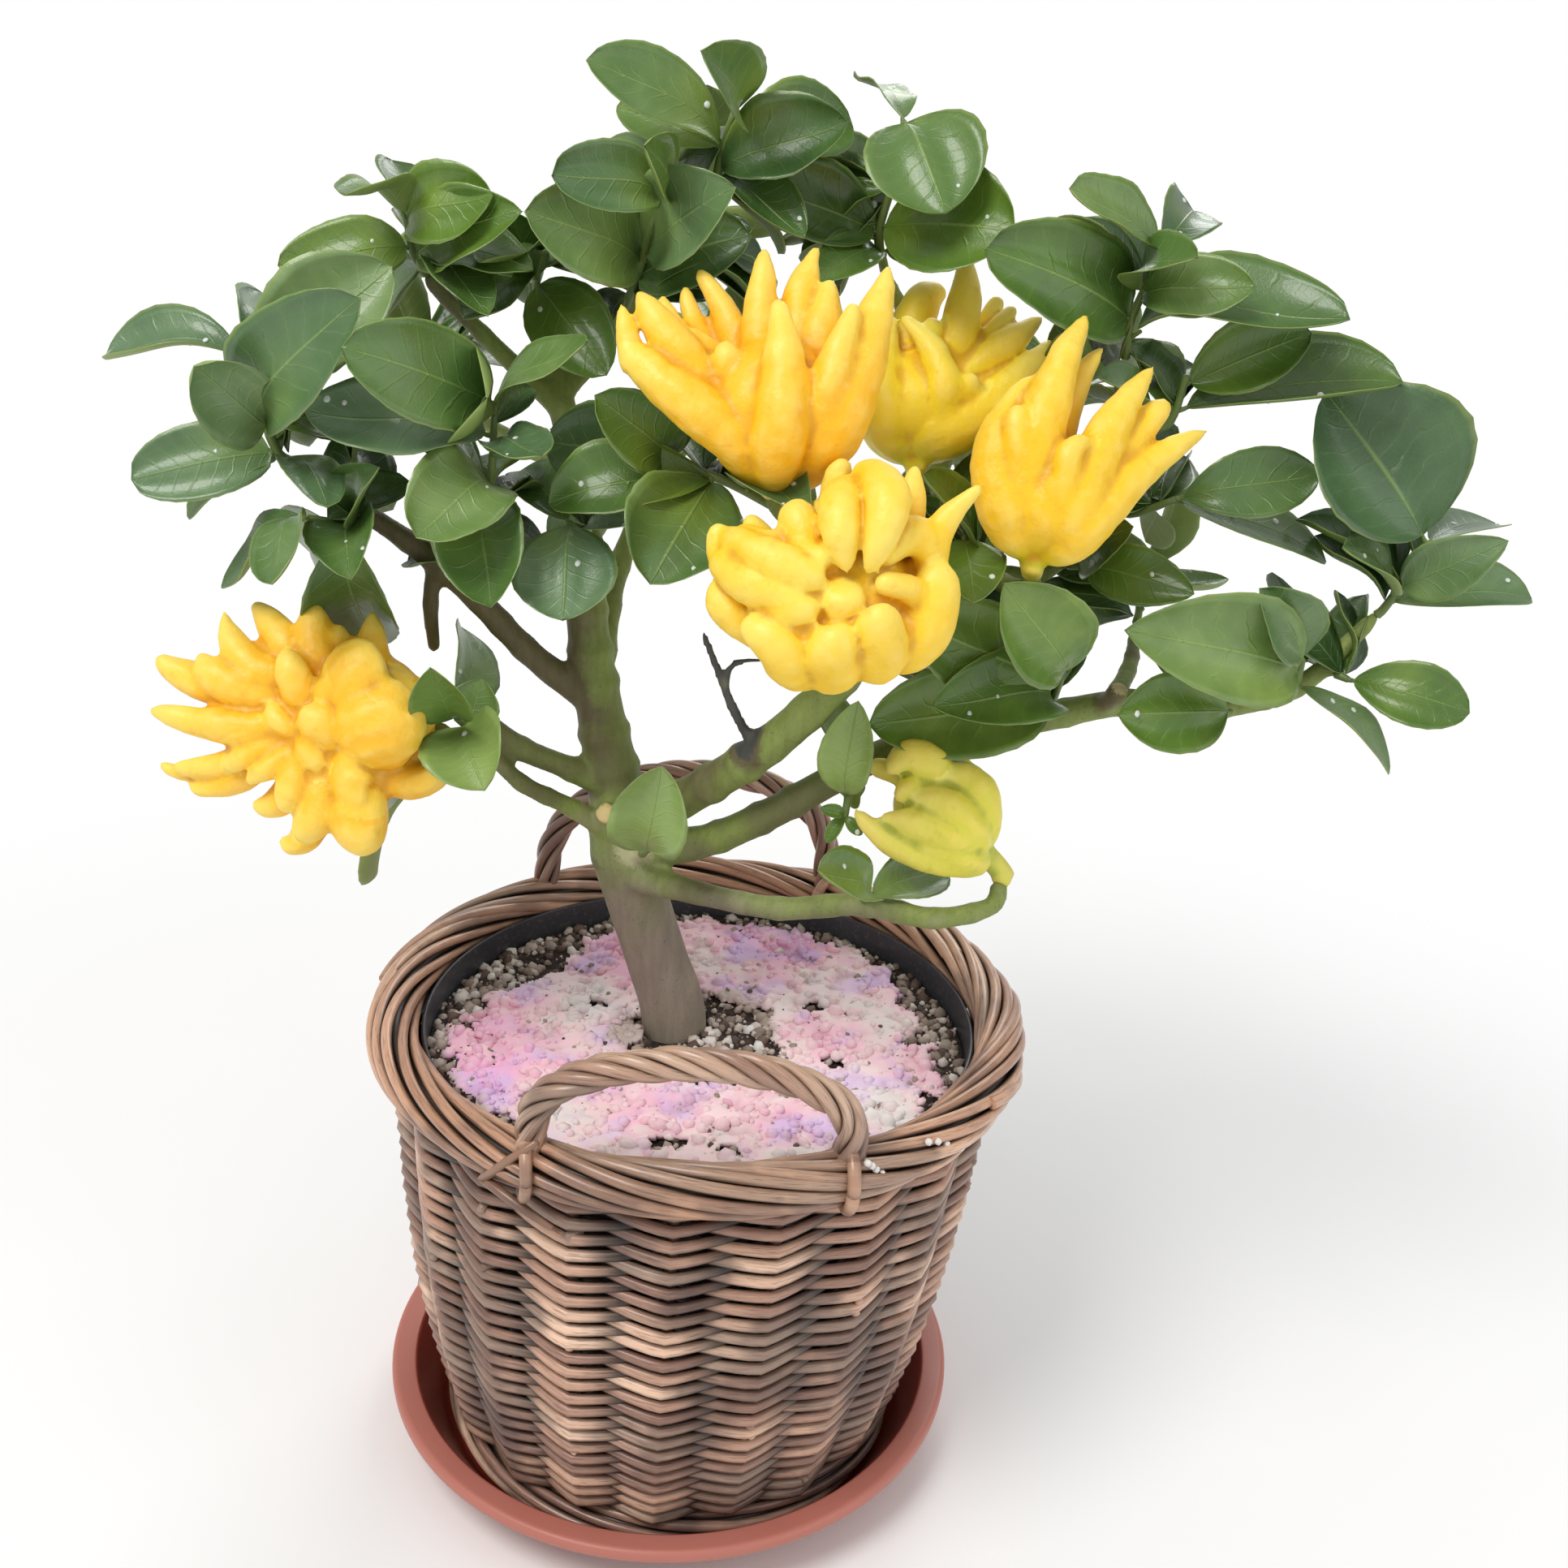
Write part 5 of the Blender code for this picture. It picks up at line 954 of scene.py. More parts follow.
def buildDressing(stone):
    cell = dressing["cell"]
    half = int(dressing["reach"] / cell)
    axis = np.arange(-half, half + 1) * cell
    gridX, gridY = np.meshgrid(axis, axis, indexing="ij")

    def rough(scale, layer):
        return np.array([noise.noise(Vector((x * scale, y * scale, layer)))
                         for x, y in zip(gridX.ravel(), gridY.ravel())]).reshape(gridX.shape)

    mound = rough(24, 8.0)
    keep, dusty = dressingMask(gridX, gridY, rough(70, 1.0))
    height, tone, shade = layFlakes(axis, gridX, gridY, mound)
    quads = keep[:-1, :-1] & keep[1:, :-1] & keep[1:, 1:] & keep[:-1, 1:]
    used = np.zeros(keep.shape, bool)
    for di, dj in ((0, 0), (1, 0), (1, 1), (0, 1)):
        used[di:used.shape[0] - 1 + di, dj:used.shape[1] - 1 + dj] |= quads
    count = int(used.sum())
    index = -np.ones(keep.shape, int)
    index[used] = np.arange(count)
    floor = bed["top"] + dressing["lift"]
    jog = rough(900, 5.0) * cell * 0.35
    top = np.stack([gridX + basket["lean"] * floor + jog, gridY + jog.T, floor + height], -1)[used]
    low = top.copy()
    low[:, 2] = floor
    faces, edges = [], {}
    for i, j in zip(*np.nonzero(quads)):
        ring = (index[i, j], index[i + 1, j], index[i + 1, j + 1], index[i, j + 1])
        faces += [ring, tuple(v + count for v in ring[::-1])]
        edges.update(dict.fromkeys(zip(ring, ring[1:] + ring[:1])))
    faces += [(b, a, a + count, b + count) for a, b in edges if (b, a) not in edges]
    shape = Shape("tone", "shade", "dust", "cover")
    tone, shade, dusty = [np.tile(value[used], 2) for value in (tone, shade, dusty)]
    shape.add(np.vstack([top, low]), faces, tone=tone, shade=shade, dust=dusty,
              cover=np.r_[np.ones(count), np.zeros(count)])
    paint = pinkCrumb()
    item = shape.piece("crumbly_dressing", paint)
    grounds = [item.data.copy(), item.data.copy()]
    finishPiece(item, "pink_dressing", "top_dressing")
    loose = strewn("strewn_crumbs", grounds[0], paint, crumbs)
    finishPiece(addPiece("pink_crumbs", loose, paint), "pink_dressing")
    bits = Shape("tone")
    for angle, high in dressing["bits"]:  # white bits caught in the border
        spot = leaned(onRing(dressing["bitRadius"], angle, high))
        verts, faces = tube([spot - Vector((0.0013, 0, 0.0004)), spot, spot + Vector((0.0012, 0, 0.0005))],
                            [0.0011, 0.0018, 0.0010], 7, crown=0.4)
        bits.add(verts, faces, tone=1.0)
    stones = strewn("stones_on_dressing", grounds[1], stone, strayGrit)
    finishPiece(merged("stray_stones", [stones, bits.mesh("bits")], stone), "earth")


gritFinish = gritStone()
buildSoil(buildPot(), gritFinish)
buildDressing(gritFinish)
print("pot is filled and dressed")


# layout of the plant, in millimetres

stems = {  # every woody stem from the stem that bears it: x, y, z, radius
    "trunk": [(-5, 10, 222, 16.5), (-14, 10, 258, 15.5), (-24, 5, 294, 15.5), (-30, 0, 322, 17)],
    "leader": [(-30, 0, 318, 16.5), (-35, 0, 355, 13), (-42, 0, 390, 11), (-48, 0, 430, 9.5),
        (-50, 5, 462, 8.5), (-57, 20, 496, 7), (-67, 38, 530, 5.5), (-75, 50, 561, 4.2)],
    "left_bough": [(-43, 0, 393, 7), (-73, -5, 418, 6), (-98, -10, 446, 5.6), (-122, -11, 466, 5),
        (-145, -15, 483, 4.2), (-166, -20, 499, 3.2)],
    "left_hanger": [(-114, -10, 459, 4), (-116, -12, 440, 3.6), (-115, -12, 420, 3)],
    "fruit_bough": [(-28, 0, 335, 11), (0, -20, 359, 9), (30, -42, 389, 8.6), (54, -56, 418, 8),
        (70, -46, 434, 7), (82, -10, 446, 6.5), (86, 14, 466, 6)],
    "stalk_cupped": [(85, 4, 456, 5), (62, -28, 482, 4.5), (38, -49, 499, 4), (33, -54, 507, 4)],
    "back_right_bough": [(86, 14, 466, 6), (95, 36, 488, 5.5), (110, 62, 506, 5), (97, 85, 550, 4.2),
        (77, 60, 582, 3.2)],
    "stalk_upright": [(94, 33, 486, 5), (98, 20, 494, 4.4), (95, 11, 505, 4)],
    "side_bough": [(86, 10, 462, 5.5), (120, 2, 464, 5), (156, 10, 466, 4.6), (176, 35, 494, 4.2),
        (182, 32, 526, 3.8), (181, 22, 554, 3.2)],
    "stalk_pointed": [(128, 3, 464, 4.6), (139, -22, 466, 4.2), (142, -44, 473, 4), (141, -49, 479, 4)],
    "stalk_knuckled": [(50, -54, 414, 5), (60, -64, 430, 4.4), (62, -74, 446, 4), (62, -79, 453, 4)],
    "right_bough": [(-26, 0, 322, 10), (8, -18, 336, 7.8), (38, -28, 356, 7.4), (66, -33, 377, 7),
        (90, -22, 387, 7), (125, -10, 393, 7.2), (162, 0, 400, 6.8), (197, 0, 409, 6.2), (231, 0, 409, 5.8),
        (257, 0, 414, 5.4), (278, 0, 425, 4.6), (300, 0, 453, 3.6)],
    "cut_stub": [(186, 0, 406, 5), (189, -10, 414, 4.6), (191, -14, 420, 4.6)],
    "low_bough": [(-24, -8, 312, 8), (10, -30, 315, 5.6), (45, -50, 320, 5.4), (80, -60, 329, 5.2),
        (112, -67, 328, 4.8), (137, -63, 333, 4.2), (141, -57, 341, 4)],
    "left_low_bough": [(-38, -3, 355, 7), (-56, -10, 366, 5.6), (-75, -20, 378, 5.4), (-91, -30, 394, 5),
        (-105, -35, 404, 4.4)],
    "left_foot_bough": [(-32, -5, 331, 6.5), (-54, -18, 350, 4.4), (-73, -28, 364, 4), (-88, -30, 379, 3.4)],
    "crown_left": [(-64, 33, 520, 5), (-92, 30, 546, 4.2), (-118, 20, 573, 3.2)],
    "crown_top": [(-66, 37, 526, 5), (-41, 42, 558, 4.6), (-12, 40, 594, 4), (0, 36, 614, 3.2)],
    "dead_twig": [(31, -43, 392, 2.8), (21, -50, 413, 2.3), (14, -52, 430, 2), (7, -55, 448, 1.5)],
    "dead_fork": [(17, -51, 422, 1.8), (20, -51, 434, 1.6), (36, -48, 436, 1.3)],
    "cut_knob": [(-34, -6, 343, 6), (-36, -17, 347, 5), (-37, -21, 349, 5)],
    "back_bough": [(-44, 4, 405, 7), (-40, 48, 446, 5.4), (-22, 92, 482, 4.4), (-10, 124, 500, 3.2)],
    "back_left_bough": [(-57, 22, 497, 5), (-94, 68, 500, 4), (-130, 100, 512, 3)],
    "far_right_bough": [(108, 58, 503, 4.6), (136, 96, 505, 3.8), (162, 124, 506, 3)],
    "back_top_bough": [(-68, 40, 532, 4.6), (-48, 84, 554, 3.8), (-22, 116, 572, 3)],
    "back_low_bough": [(190, 0, 407, 5), (206, 44, 412, 4), (214, 80, 420, 3)],
}

sprays = {  # stub, path of the shoot, and leaves: share along it, tip, breadth seen from the front
    "spray_left_tip": (6, [(-166, -20, 499), (-174, -30, 509), (-178, -35, 528), (-182, -35, 547)], [
        (0.18, (-228, -50, 498), 32), (0.12, (-214, -30, 479), 19), (0.1, (-143, -68, 496), 16),
        (0.42, (-189, -75, 549), 32), (0.5, (-126, -70, 577), 42), (1, (-242, -30, 543), 22),
        (1, (-189, 12, 567), 20), (0.72, (-123, -30, 585), 46)]),
    "spray_left_low": (9, [(-140, -14, 481), (-141, -30, 479), (-158, -45, 485)], [
        (0.3, (-133, -76, 469), 30), (1, (-159, -95, 471), 22), (0.95, (-200, -35, 451), 18),
        (0.25, (-142, -65, 511), 20), (0.5, (-144, -5, 419), 40), (0.7, (-168, 10, 420), 40)]),
    "spray_left_mid": (10, [(-98, -10, 446), (-90, -30, 478), (-84, -35, 504), (-83, -30, 533)], [
        (0.45, (-77, -77, 461), 38), (0.62, (-105, -81, 489), 39), (0.85, (-153, -55, 538), 35),
        (1, (-131, -80, 560), 40), (1, (-42, -55, 564), 18), (0.95, (-81, -54, 575), 40),
        (0.75, (-56, -76, 523), 16)]),
    "spray_crown_left": (5, [(-118, 20, 573), (-125, 15, 587), (-126, 10, 601)], [
        (1, (-138, -39, 612), 14), (0.9, (-85, -18, 613), 34), (0.5, (-175, -10, 581), 29),
        (0.35, (-73, -20, 608), 34), (0.2, (-87, -20, 567), 20), (0.15, (-148, 53, 551), 22)]),
    "spray_top_left": (9, [(-41, 42, 558), (-31, 20, 580), (-24, 0, 600), (-19, -5, 616)], [
        (0.5, (-69, -35, 609), 42), (1, (-53, 32, 629), 21), (1, (-58, -38, 623), 29),
        (1, (-21, -53, 636), 25), (0.55, (7, -35, 622), 39), (0.35, (18, 0, 602), 39)]),
    "spray_leader_tip": (5, [(-75, 50, 561), (-77, 40, 574), (-72, 30, 589)], [
        (0.4, (-42, 10, 541), 36), (1, (-90, -19, 588), 18), (0.9, (-41, -9, 587), 18),
        (0.5, (-100, -5, 563), 23)]),
    "spray_top": (5, [(0, 36, 614), (3, 30, 632), (8, 25, 648)], [
        (0.5, (-50, 0, 665), 31), (0.5, (-43, 45, 648), 26), (1, (-3, -21, 670), 30),
        (0.2, (55, 10, 647), 35), (0.6, (58, 55, 645), 35), (0.15, (40, 4, 602), 23)]),
    "spray_top_right": (5, [(77, 60, 582), (72, 45, 603), (77, 40, 627), (79, 40, 648)], [
        (1, (60, 86, 664), 19), (1, (97, 0, 615), 51), (0.35, (93, -10, 643), 49), (0.3, (17, 30, 628), 36),
        (0.25, (39, 60, 633), 32), (0.15, (124, 40, 605), 27), (0.15, (45, 11, 590), 23)]),
    "spray_right_up": (5, [(181, 22, 554), (180, 15, 574), (184, 10, 591), (186, 5, 604)], [
        (0.35, (118, -25, 610), 44), (1, (144, -15, 628), 22), (1, (207, 47, 619), 27),
        (0.6, (194, -34, 606), 18), (0.55, (206, -30, 609), 27), (0.2, (260, -25, 585), 35)]),
    "spray_right_fan": (8, [(182, 30, 526), (193, 20, 527), (203, 15, 534), (206, 10, 554)], [
        (0.9, (253, 0, 576), 31), (0.6, (290, -15, 559), 34), (0.55, (191, 57, 562), 25),
        (0.35, (165, -14, 555), 17)]),
    "spray_right_mid": (8, [(176, 35, 496), (192, 20, 491), (209, 10, 501)], [
        (1, (267, 0, 517), 31), (0.95, (280, -15, 505), 25), (0.6, (210, 62, 469), 12),
        (0.5, (219, 60, 512), 26)]),
    "spray_far_right": (4, [(300, 0, 453), (306, 0, 461), (314, -2, 480), (316, -5, 491)], [
        (1, (266, 10, 551), 70), (0.3, (274, -25, 492), 17), (0.4, (338, -35, 501), 26),
        (0.2, (369, 0, 468), 23), (1, (363, 35, 492), 16)]),
    "spray_right_low": (10, [(270, 0, 416), (269, -12, 428), (267, -20, 440)], [
        (0.6, (182, -50, 458), 47), (1, (237, -43, 477), 29), (0.15, (311, -30, 393), 16)]),
    "spray_right_side": (7, [(283, 0, 431), (292, -10, 429)], [
        (1, (338, -35, 425), 29)]),
    "spray_right_bough": (8, [(231, 0, 409), (235, -12, 410), (239, -22, 415)], [
        (1, (185, -45, 419), 36), (0.4, (228, 43, 409), 14)]),
    "spray_bough_inner": (9, [(162, 0, 400), (161, -20, 416), (162, -30, 431)], [
        (1, (131, -50, 485), 40), (0.7, (90, -55, 460), 43), (0.4, (104, -65, 425), 34),
        (0.3, (75, -40, 410), 43)]),
    "spray_behind_fruit": (8, [(128, 0, 464), (123, -12, 475), (115, -20, 486)], [
        (1, (116, -70, 472), 29), (0.5, (156, 27, 485), 26)]),
    "spray_fruit_side": (8, [(159, 12, 469), (171, 0, 471)], [
        (1, (213, -31, 470), 26), (0.6, (178, -35, 502), 21)]),
    "spray_centre": (10, [(44, -45, 496), (15, -40, 508), (-9, -30, 514)], [
        (0.55, (-58, -50, 498), 32), (0.6, (-17, -75, 468), 47), (1, (-38, -60, 544), 30),
        (0.3, (48, -92, 509), 24), (1, (-64, -15, 516), 38)]),
    "spray_leader_mid": (12, [(-53, 8, 469), (-46, -20, 480), (-52, -30, 485)], [
        (1, (-49, -73, 456), 44), (0.5, (-19, -50, 494), 17), (1, (-80, 12, 497), 23)]),
    "spray_starred_fruit": (9, [(-88, -29, 386), (-91, -42, 392), (-98, -49, 402)], [
        (1, (-100, -87, 437), 26), (0.7, (-77, -82, 381), 37), (0.4, (-149, 0, 302), 38),
        (1, (-107, 8, 425), 13)]),
    "spray_crown": (19, [(-24, -10, 322), (-16, -35, 338)], [
        (1, (-9, -52, 386), 35)]),
    "spray_low": (6, [(80, -60, 330), (84, -70, 339)], [
        (1, (60, -107, 367), 16), (0.7, (119, -30, 335), 23)]),
    "spray_closed_fruit": (9, [(67, -35, 378), (72, -50, 376), (71, -55, 369)], [
        (1, (64, -60, 358), 6), (1, (79, -60, 363), 6), (1, (60, -60, 374), 6), (0.35, (73, -61, 424), 23),
        (0.3, (50, 6, 381), 18)]),
}

backSprays = {  # stub, path of the shoot, number of leaves
    "spray_back_middle": (4, [(-10, 124, 500), (-8, 138, 511), (-4, 150, 530)], 5),
    "spray_back_left": (4, [(-130, 100, 512), (-142, 111, 520), (-149, 118, 537)], 5),
    "spray_back_right": (4, [(162, 124, 506), (172, 133, 514), (178, 138, 532)], 5),
    "spray_back_top": (4, [(-22, 116, 572), (-16, 126, 584), (-11, 131, 602)], 5),
    "spray_back_low": (4, [(214, 80, 420), (217, 92, 428), (216, 102, 443)], 4),
    "spray_back_inner": (9, [(-30, 71, 466), (-42, 90, 461), (-58, 103, 466)], 4),
    "spray_back_side": (8, [(134, 93, 505), (122, 110, 497), (110, 123, 493)], 4),
}

fruits = {  # stalk, centre, body, and fingers: root, bend, tip, radii, as seen from the front
    "fruit_cupped": ("stalk_cupped", (30, -55, 560), ((1, -20, -4), (29, 30, 26)), [
        ((-8, -33, 5), (-40, -12, 10), (-58, 6, 5), (10.8, 8.5, 4.0)),
        ((-52, -4, 8), (-56, 9, 6), (-58, 22, 3), (4.8, 4.0, 1.9)),
        ((-22, -14, 0), (-43, 12, 5), (-52, 28, 0), (9.0, 6.5, 1.9)),
        ((-25, -4, -10), (-39, 17, -12), (-44, 30, -15), (6.0, 4.3, 1.9)),
        ((-22, 0, -15), (-31, 21, -18), (-35, 35, -20), (6.0, 4.3, 1.9)),
        ((-10, -4, -12), (-19, 24, -15), (-30, 41, -18), (6.0, 5.5, 1.9)),
        ((-16, -6, -5), (-28, 6, -3), (-37, 10, 0), (7.2, 6.1, 2.7)),
        ((-4, -8, -8), (-4, 19, -5), (-3, 48, -8), (7.2, 7.0, 2.0)),
        ((-16, -10, 2), (-17, -2, 8), (-19, 6, 8), (6.6, 6.1, 3.2)),
        ((2, -35, 15), (5, -9, 20), (2, 21, 15), (10.2, 8.5, 3.5)),
        ((13, -9, -8), (11, 24, -10), (19, 50, -14), (8.4, 7.4, 2.2)),
        ((17, -14, -5), (20, 12, -5), (23, 35, -8), (9.0, 8.2, 3.2)),
        ((19, -30, 5), (34, 0, 6), (46, 39, 0), (13.2, 10.9, 1.9)),
        ((17, -25, 12), (25, -4, 16), (32, 20, 14), (8.4, 7.0, 3.2)),
        ((-12, -14, -24), (-22, 9, -34), (-32, 24, -44), (7.2, 6.5, 1.9)),
        ((3, -14, -28), (1, 13, -40), (-4, 31, -50), (7.2, 6.5, 1.9)),
        ((13, -14, -26), (24, 11, -36), (31, 27, -44), (7.2, 6.5, 2.0))]),
    "fruit_upright": ("stalk_upright", (99, 28, 550), ((-9, -18, -4), (25, 26, 23)), [
        ((-19, -28, 5), (-25, -5, 8), (-17, 22, 3), (11.7, 10.9, 2.5)),
        ((4, -21, 12), (0, 0, 14), (-15, 20, 8), (8.0, 6.4, 2.1)),
        ((-11, 0, -8), (-6, 27, -10), (7, 37, -12), (8.6, 9.1, 4.3)),
        ((4, -7, 2), (12, 19, 4), (14, 50, 0), (4.8, 8.3, 1.9)),
        ((-2, 0, 5), (-1, 13, 8), (1, 18, 10), (5.1, 4.8, 2.5)),
        ((9, -5, -5), (24, 19, -8), (30, 33, -10), (4.8, 4.8, 3.6)),
        ((10, -7, 0), (27, 15, 0), (37, 27, -4), (4.5, 4.5, 3.4)),
        ((8, -9, 4), (31, 8, 4), (49, 22, 0), (5.3, 6.4, 2.1)),
        ((-2, -32, 5), (30, -14, 6), (52, 12, 0), (12.0, 9.1, 2.1)),
        ((7, -18, 12), (15, -12, 14), (18, -10, 14), (5.6, 5.7, 3.4)),
        ((14, -14, -6), (30, -5, -8), (41, 0, -8), (7.4, 6.8, 2.7)),
        ((-14, -14, -26), (-19, 14, -36), (-24, 27, -46), (8.0, 7.5, 1.9)),
        ((2, -14, -26), (7, 16, -36), (11, 30, -46), (8.0, 7.5, 1.9)),
        ((11, -21, -20), (30, 0, -32), (41, 16, -40), (8.0, 7.3, 1.9))]),
    "fruit_pointed": ("stalk_pointed", (152, -45, 522), ((-8, -10, -4), (28, 26, 23)), [
        ((-26, -16, 5), (-30, 14, 6), (-14, 38, 4), (11.4, 7.3, 2.3)),
        ((-19, -11, 5), (-9, 29, 8), (8, 64, -2), (11.0, 9.1, 1.9)),
        ((-22, 2, 12), (-23, 16, 14), (-24, 23, 14), (6.4, 5.1, 2.6)),
        ((-8, -2, -5), (1, 29, -8), (17, 54, -12), (7.7, 6.1, 1.9)),
        ((-5, -9, 14), (-2, 5, 18), (6, 9, 18), (6.4, 5.1, 2.3)),
        ((-10, -11, 14), (-4, -1, 16), (-2, 4, 16), (5.4, 4.4, 3.2)),
        ((-1, -20, 8), (14, 14, 8), (35, 43, 0), (10.3, 8.1, 1.9)),
        ((4, -20, 2), (25, 13, 0), (42, 28, -4), (10.1, 7.5, 3.2)),
        ((1, -28, 5), (26, -2, 4), (57, 17, -3), (10.1, 7.3, 1.9)),
        ((-21, -11, -22), (-26, 14, -32), (-21, 32, -40), (7.7, 6.8, 1.9)),
        ((-5, -13, -24), (-1, 14, -36), (10, 32, -44), (7.7, 6.8, 1.9)),
        ((1, -20, -20), (22, 0, -32), (37, 9, -40), (7.5, 6.4, 1.9))]),
    "fruit_knuckled": ("stalk_knuckled", (58, -110, 491), ((0, -9, -16), (37, 30, 24)), [
        ((3, -13, 0), (3, -9, 8), (3, -6, 12), (6.6, 8.2, 5.3)),
        ((5, 35, -6), (2, 19, 12), (5, -2, 10), (4.7, 7.8, 2.5)),
        ((10, 8, -8), (12, 22, -5), (11, 31, -7), (9.0, 8.0, 6.0)),
        ((11, 39, -8), (20, 24, 14), (11, -2, 10), (4.5, 7.8, 3.0)),
        ((3, 17, -14), (2, 37, -14), (6, 43, -8), (5.8, 5.9, 3.8)),
        ((-7, 6, 0), (-13, 19, 0), (-14, 26, -6), (6.2, 7.5, 5.5)),
        ((-14, 11, 2), (-8, 6, 8), (-1, 3, 12), (4.8, 4.8, 4.0)),
        ((-41, 17, -4), (-22, 4, 10), (-2, -4, 10), (3.6, 7.2, 4.4)),
        ((-35, 18, -6), (-27, 13, -2), (-18, 13, 4), (3.2, 5.3, 3.6)),
        ((-38, 0, -6), (-44, 13, -5), (-41, 20, -2), (5.6, 4.2, 1.9)),
        ((-43, 6, -2), (-28, -5, 6), (-8, -8, 10), (5.2, 7.9, 5.1)),
        ((-30, -18, -10), (-41, -10, -10), (-44, 0, -10), (6.6, 6.4, 3.8)),
        ((-26, -10, 4), (-16, -14, 8), (-5, -14, 10), (4.3, 6.4, 4.7)),
        ((-14, -31, -6), (-22, -25, 4), (-35, -18, 4), (11.2, 9.0, 4.7)),
        ((0, -33, -6), (0, -25, 6), (0, -19, 8), (10.7, 11.1, 6.4)),
        ((17, -30, -6), (17, -20, 10), (15, -13, 12), (10.2, 9.2, 4.7)),
        ((30, -26, -10), (38, -9, -4), (38, 6, 0), (10.2, 10.0, 5.3)),
        ((39, 6, -4), (28, 15, 2), (15, 3, 8), (5.6, 7.5, 6.4)),
        ((31, -7, 2), (23, -5, 8), (15, -4, 10), (4.8, 4.8, 3.6)),
        ((37, 6, -4), (42, 20, -2), (56, 33, 4), (6.7, 5.3, 1.9)),
        ((26, 13, -12), (30, 30, -12), (32, 44, -12), (6.2, 5.9, 2.0)),
        ((-5, 6, -16), (-5, 19, -18), (-6, 31, -16), (5.6, 5.3, 2.7)),
        ((-22, 1, -14), (-28, 16, -14), (-33, 25, -14), (6.0, 5.5, 3.0))]),
    "fruit_starred": ("left_low_bough", (-159, -60, 400), ((24, 2, -12), (27, 30, 19)), [
        ((-15, 12, -2), (-45, 17, -4), (-66, 29, -4), (5.9, 7.7, 3.6)),
        ((-9, 11, 0), (-35, 18, 2), (-45, 31, 2), (6.4, 8.6, 2.0)),
        ((-9, -2, 4), (-37, -1, 4), (-67, 6, 2), (5.6, 7.3, 2.5)),
        ((-9, 19, 0), (-26, 26, 0), (-37, 49, -4), (7.6, 8.1, 1.9)),
        ((-3, 21, -4), (-14, 38, -6), (-26, 52, -8), (7.6, 8.1, 1.9)),
        ((4, 24, -2), (2, 40, -4), (0, 55, -6), (8.6, 7.8, 1.9)),
        ((2, 6, 6), (-3, 20, 10), (-5, 32, 10), (5.6, 7.3, 2.7)),
        ((-7, -2, 5), (-22, -6, 6), (-32, -9, 4), (3.0, 4.4, 2.2)),
        ((-5, -6, 6), (-24, -14, 6), (-33, -19, 4), (3.4, 4.7, 1.9)),
        ((-13, -7, 0), (-39, -18, -2), (-59, -17, -3), (4.7, 5.3, 2.5)),
        ((-18, -17, -4), (-37, -26, -5), (-53, -26, -6), (4.7, 5.3, 2.2)),
        ((-39, -19, -8), (-54, -21, -8), (-66, -16, -8), (3.2, 3.4, 1.9)),
        ((0, -9, 6), (-13, -18, 8), (-24, -25, 6), (3.7, 5.1, 1.9)),
        ((2, -11, 8), (-4, -26, 9), (-7, -38, 8), (3.9, 6.1, 3.6)),
        ((4, -6, 10), (5, -13, 12), (9, -20, 12), (4.7, 5.6, 3.1)),
        ((-3, -19, -4), (-13, -33, -4), (-25, -34, -4), (6.4, 6.6, 2.2)),
        ((6, -19, 2), (6, -35, 4), (-4, -49, 2), (7.1, 9.5, 5.1)),
        ((8, -30, -6), (-4, -50, -4), (-13, -48, -4), (6.4, 6.1, 2.2)),
        ((19, -23, 0), (23, -43, 2), (26, -56, 0), (10.1, 11.7, 5.1)),
        ((17, -15, 6), (23, -29, 8), (29, -32, 8), (7.4, 8.3, 5.1)),
        ((25, -17, -4), (48, -25, -4), (63, -9, -2), (6.9, 7.0, 1.9)),
        ((21, 9, 0), (27, 20, 6), (33, 24, 4), (14.1, 16.4, 11.2)),
        ((25, -2, 2), (35, 1, 6), (40, 3, 0), (15.4, 19.2, 14.6)),
        ((25, 24, -8), (25, 36, -8), (26, 49, -8), (7.6, 6.4, 1.9)),
        ((16, -5, 8), (8, 0, 14), (5, 6, 12), (7.6, 8.3, 5.3)),
        ((15, 4, 6), (12, 13, 10), (11, 20, 10), (6.9, 7.0, 2.0)),
        ((2, -2, 6), (-8, 0, 10), (-13, 9, 8), (5.2, 5.3, 2.5)),
        ((20, -6, 4), (22, -15, 8), (24, -21, 8), (6.4, 7.7, 4.4)),
        ((15, 19, -6), (11, 33, -6), (17, 38, -6), (7.6, 8.1, 5.9)),
        ((6, -9, -20), (-13, -15, -30), (-33, -9, -36), (7.4, 6.6, 1.9)),
        ((6, 11, -20), (-11, 21, -30), (-26, 31, -38), (7.4, 6.6, 1.9)),
        ((17, -15, -22), (15, -32, -32), (10, -45, -36), (7.4, 7.0, 2.0))]),
    "fruit_closed": ("low_bough", (112, -54, 373), ((4, 0, -6), (25, 25, 18)), [
        ((19, -22, 0), (-14, -17, 6), (-38, 2, 4), (5.5, 6.6, 1.9)),
        ((15, -21, 4), (-7, -13, 8), (-28, -2, 6), (5.9, 6.0, 1.9)),
        ((12, -13, 8), (-7, -6, 12), (-27, -1, 8), (5.8, 7.4, 1.9)),
        ((15, -10, 8), (1, 3, 12), (-14, 5, 10), (6.6, 7.7, 2.2)),
        ((17, 3, 4), (9, 14, 6), (-3, 11, 8), (8.9, 7.9, 3.9)),
        ((2, 11, 4), (-11, 24, 8), (-23, 16, 6), (6.8, 7.9, 3.0)),
        ((-3, 12, 6), (-14, 10, 8), (-19, 4, 8), (4.0, 5.1, 2.0)),
        ((9, 16, -4), (0, 28, -2), (-3, 31, 0), (7.4, 5.3, 2.5)),
        ((-10, 14, -6), (-25, 19, -6), (-31, 19, -4), (4.5, 4.3, 2.2)),
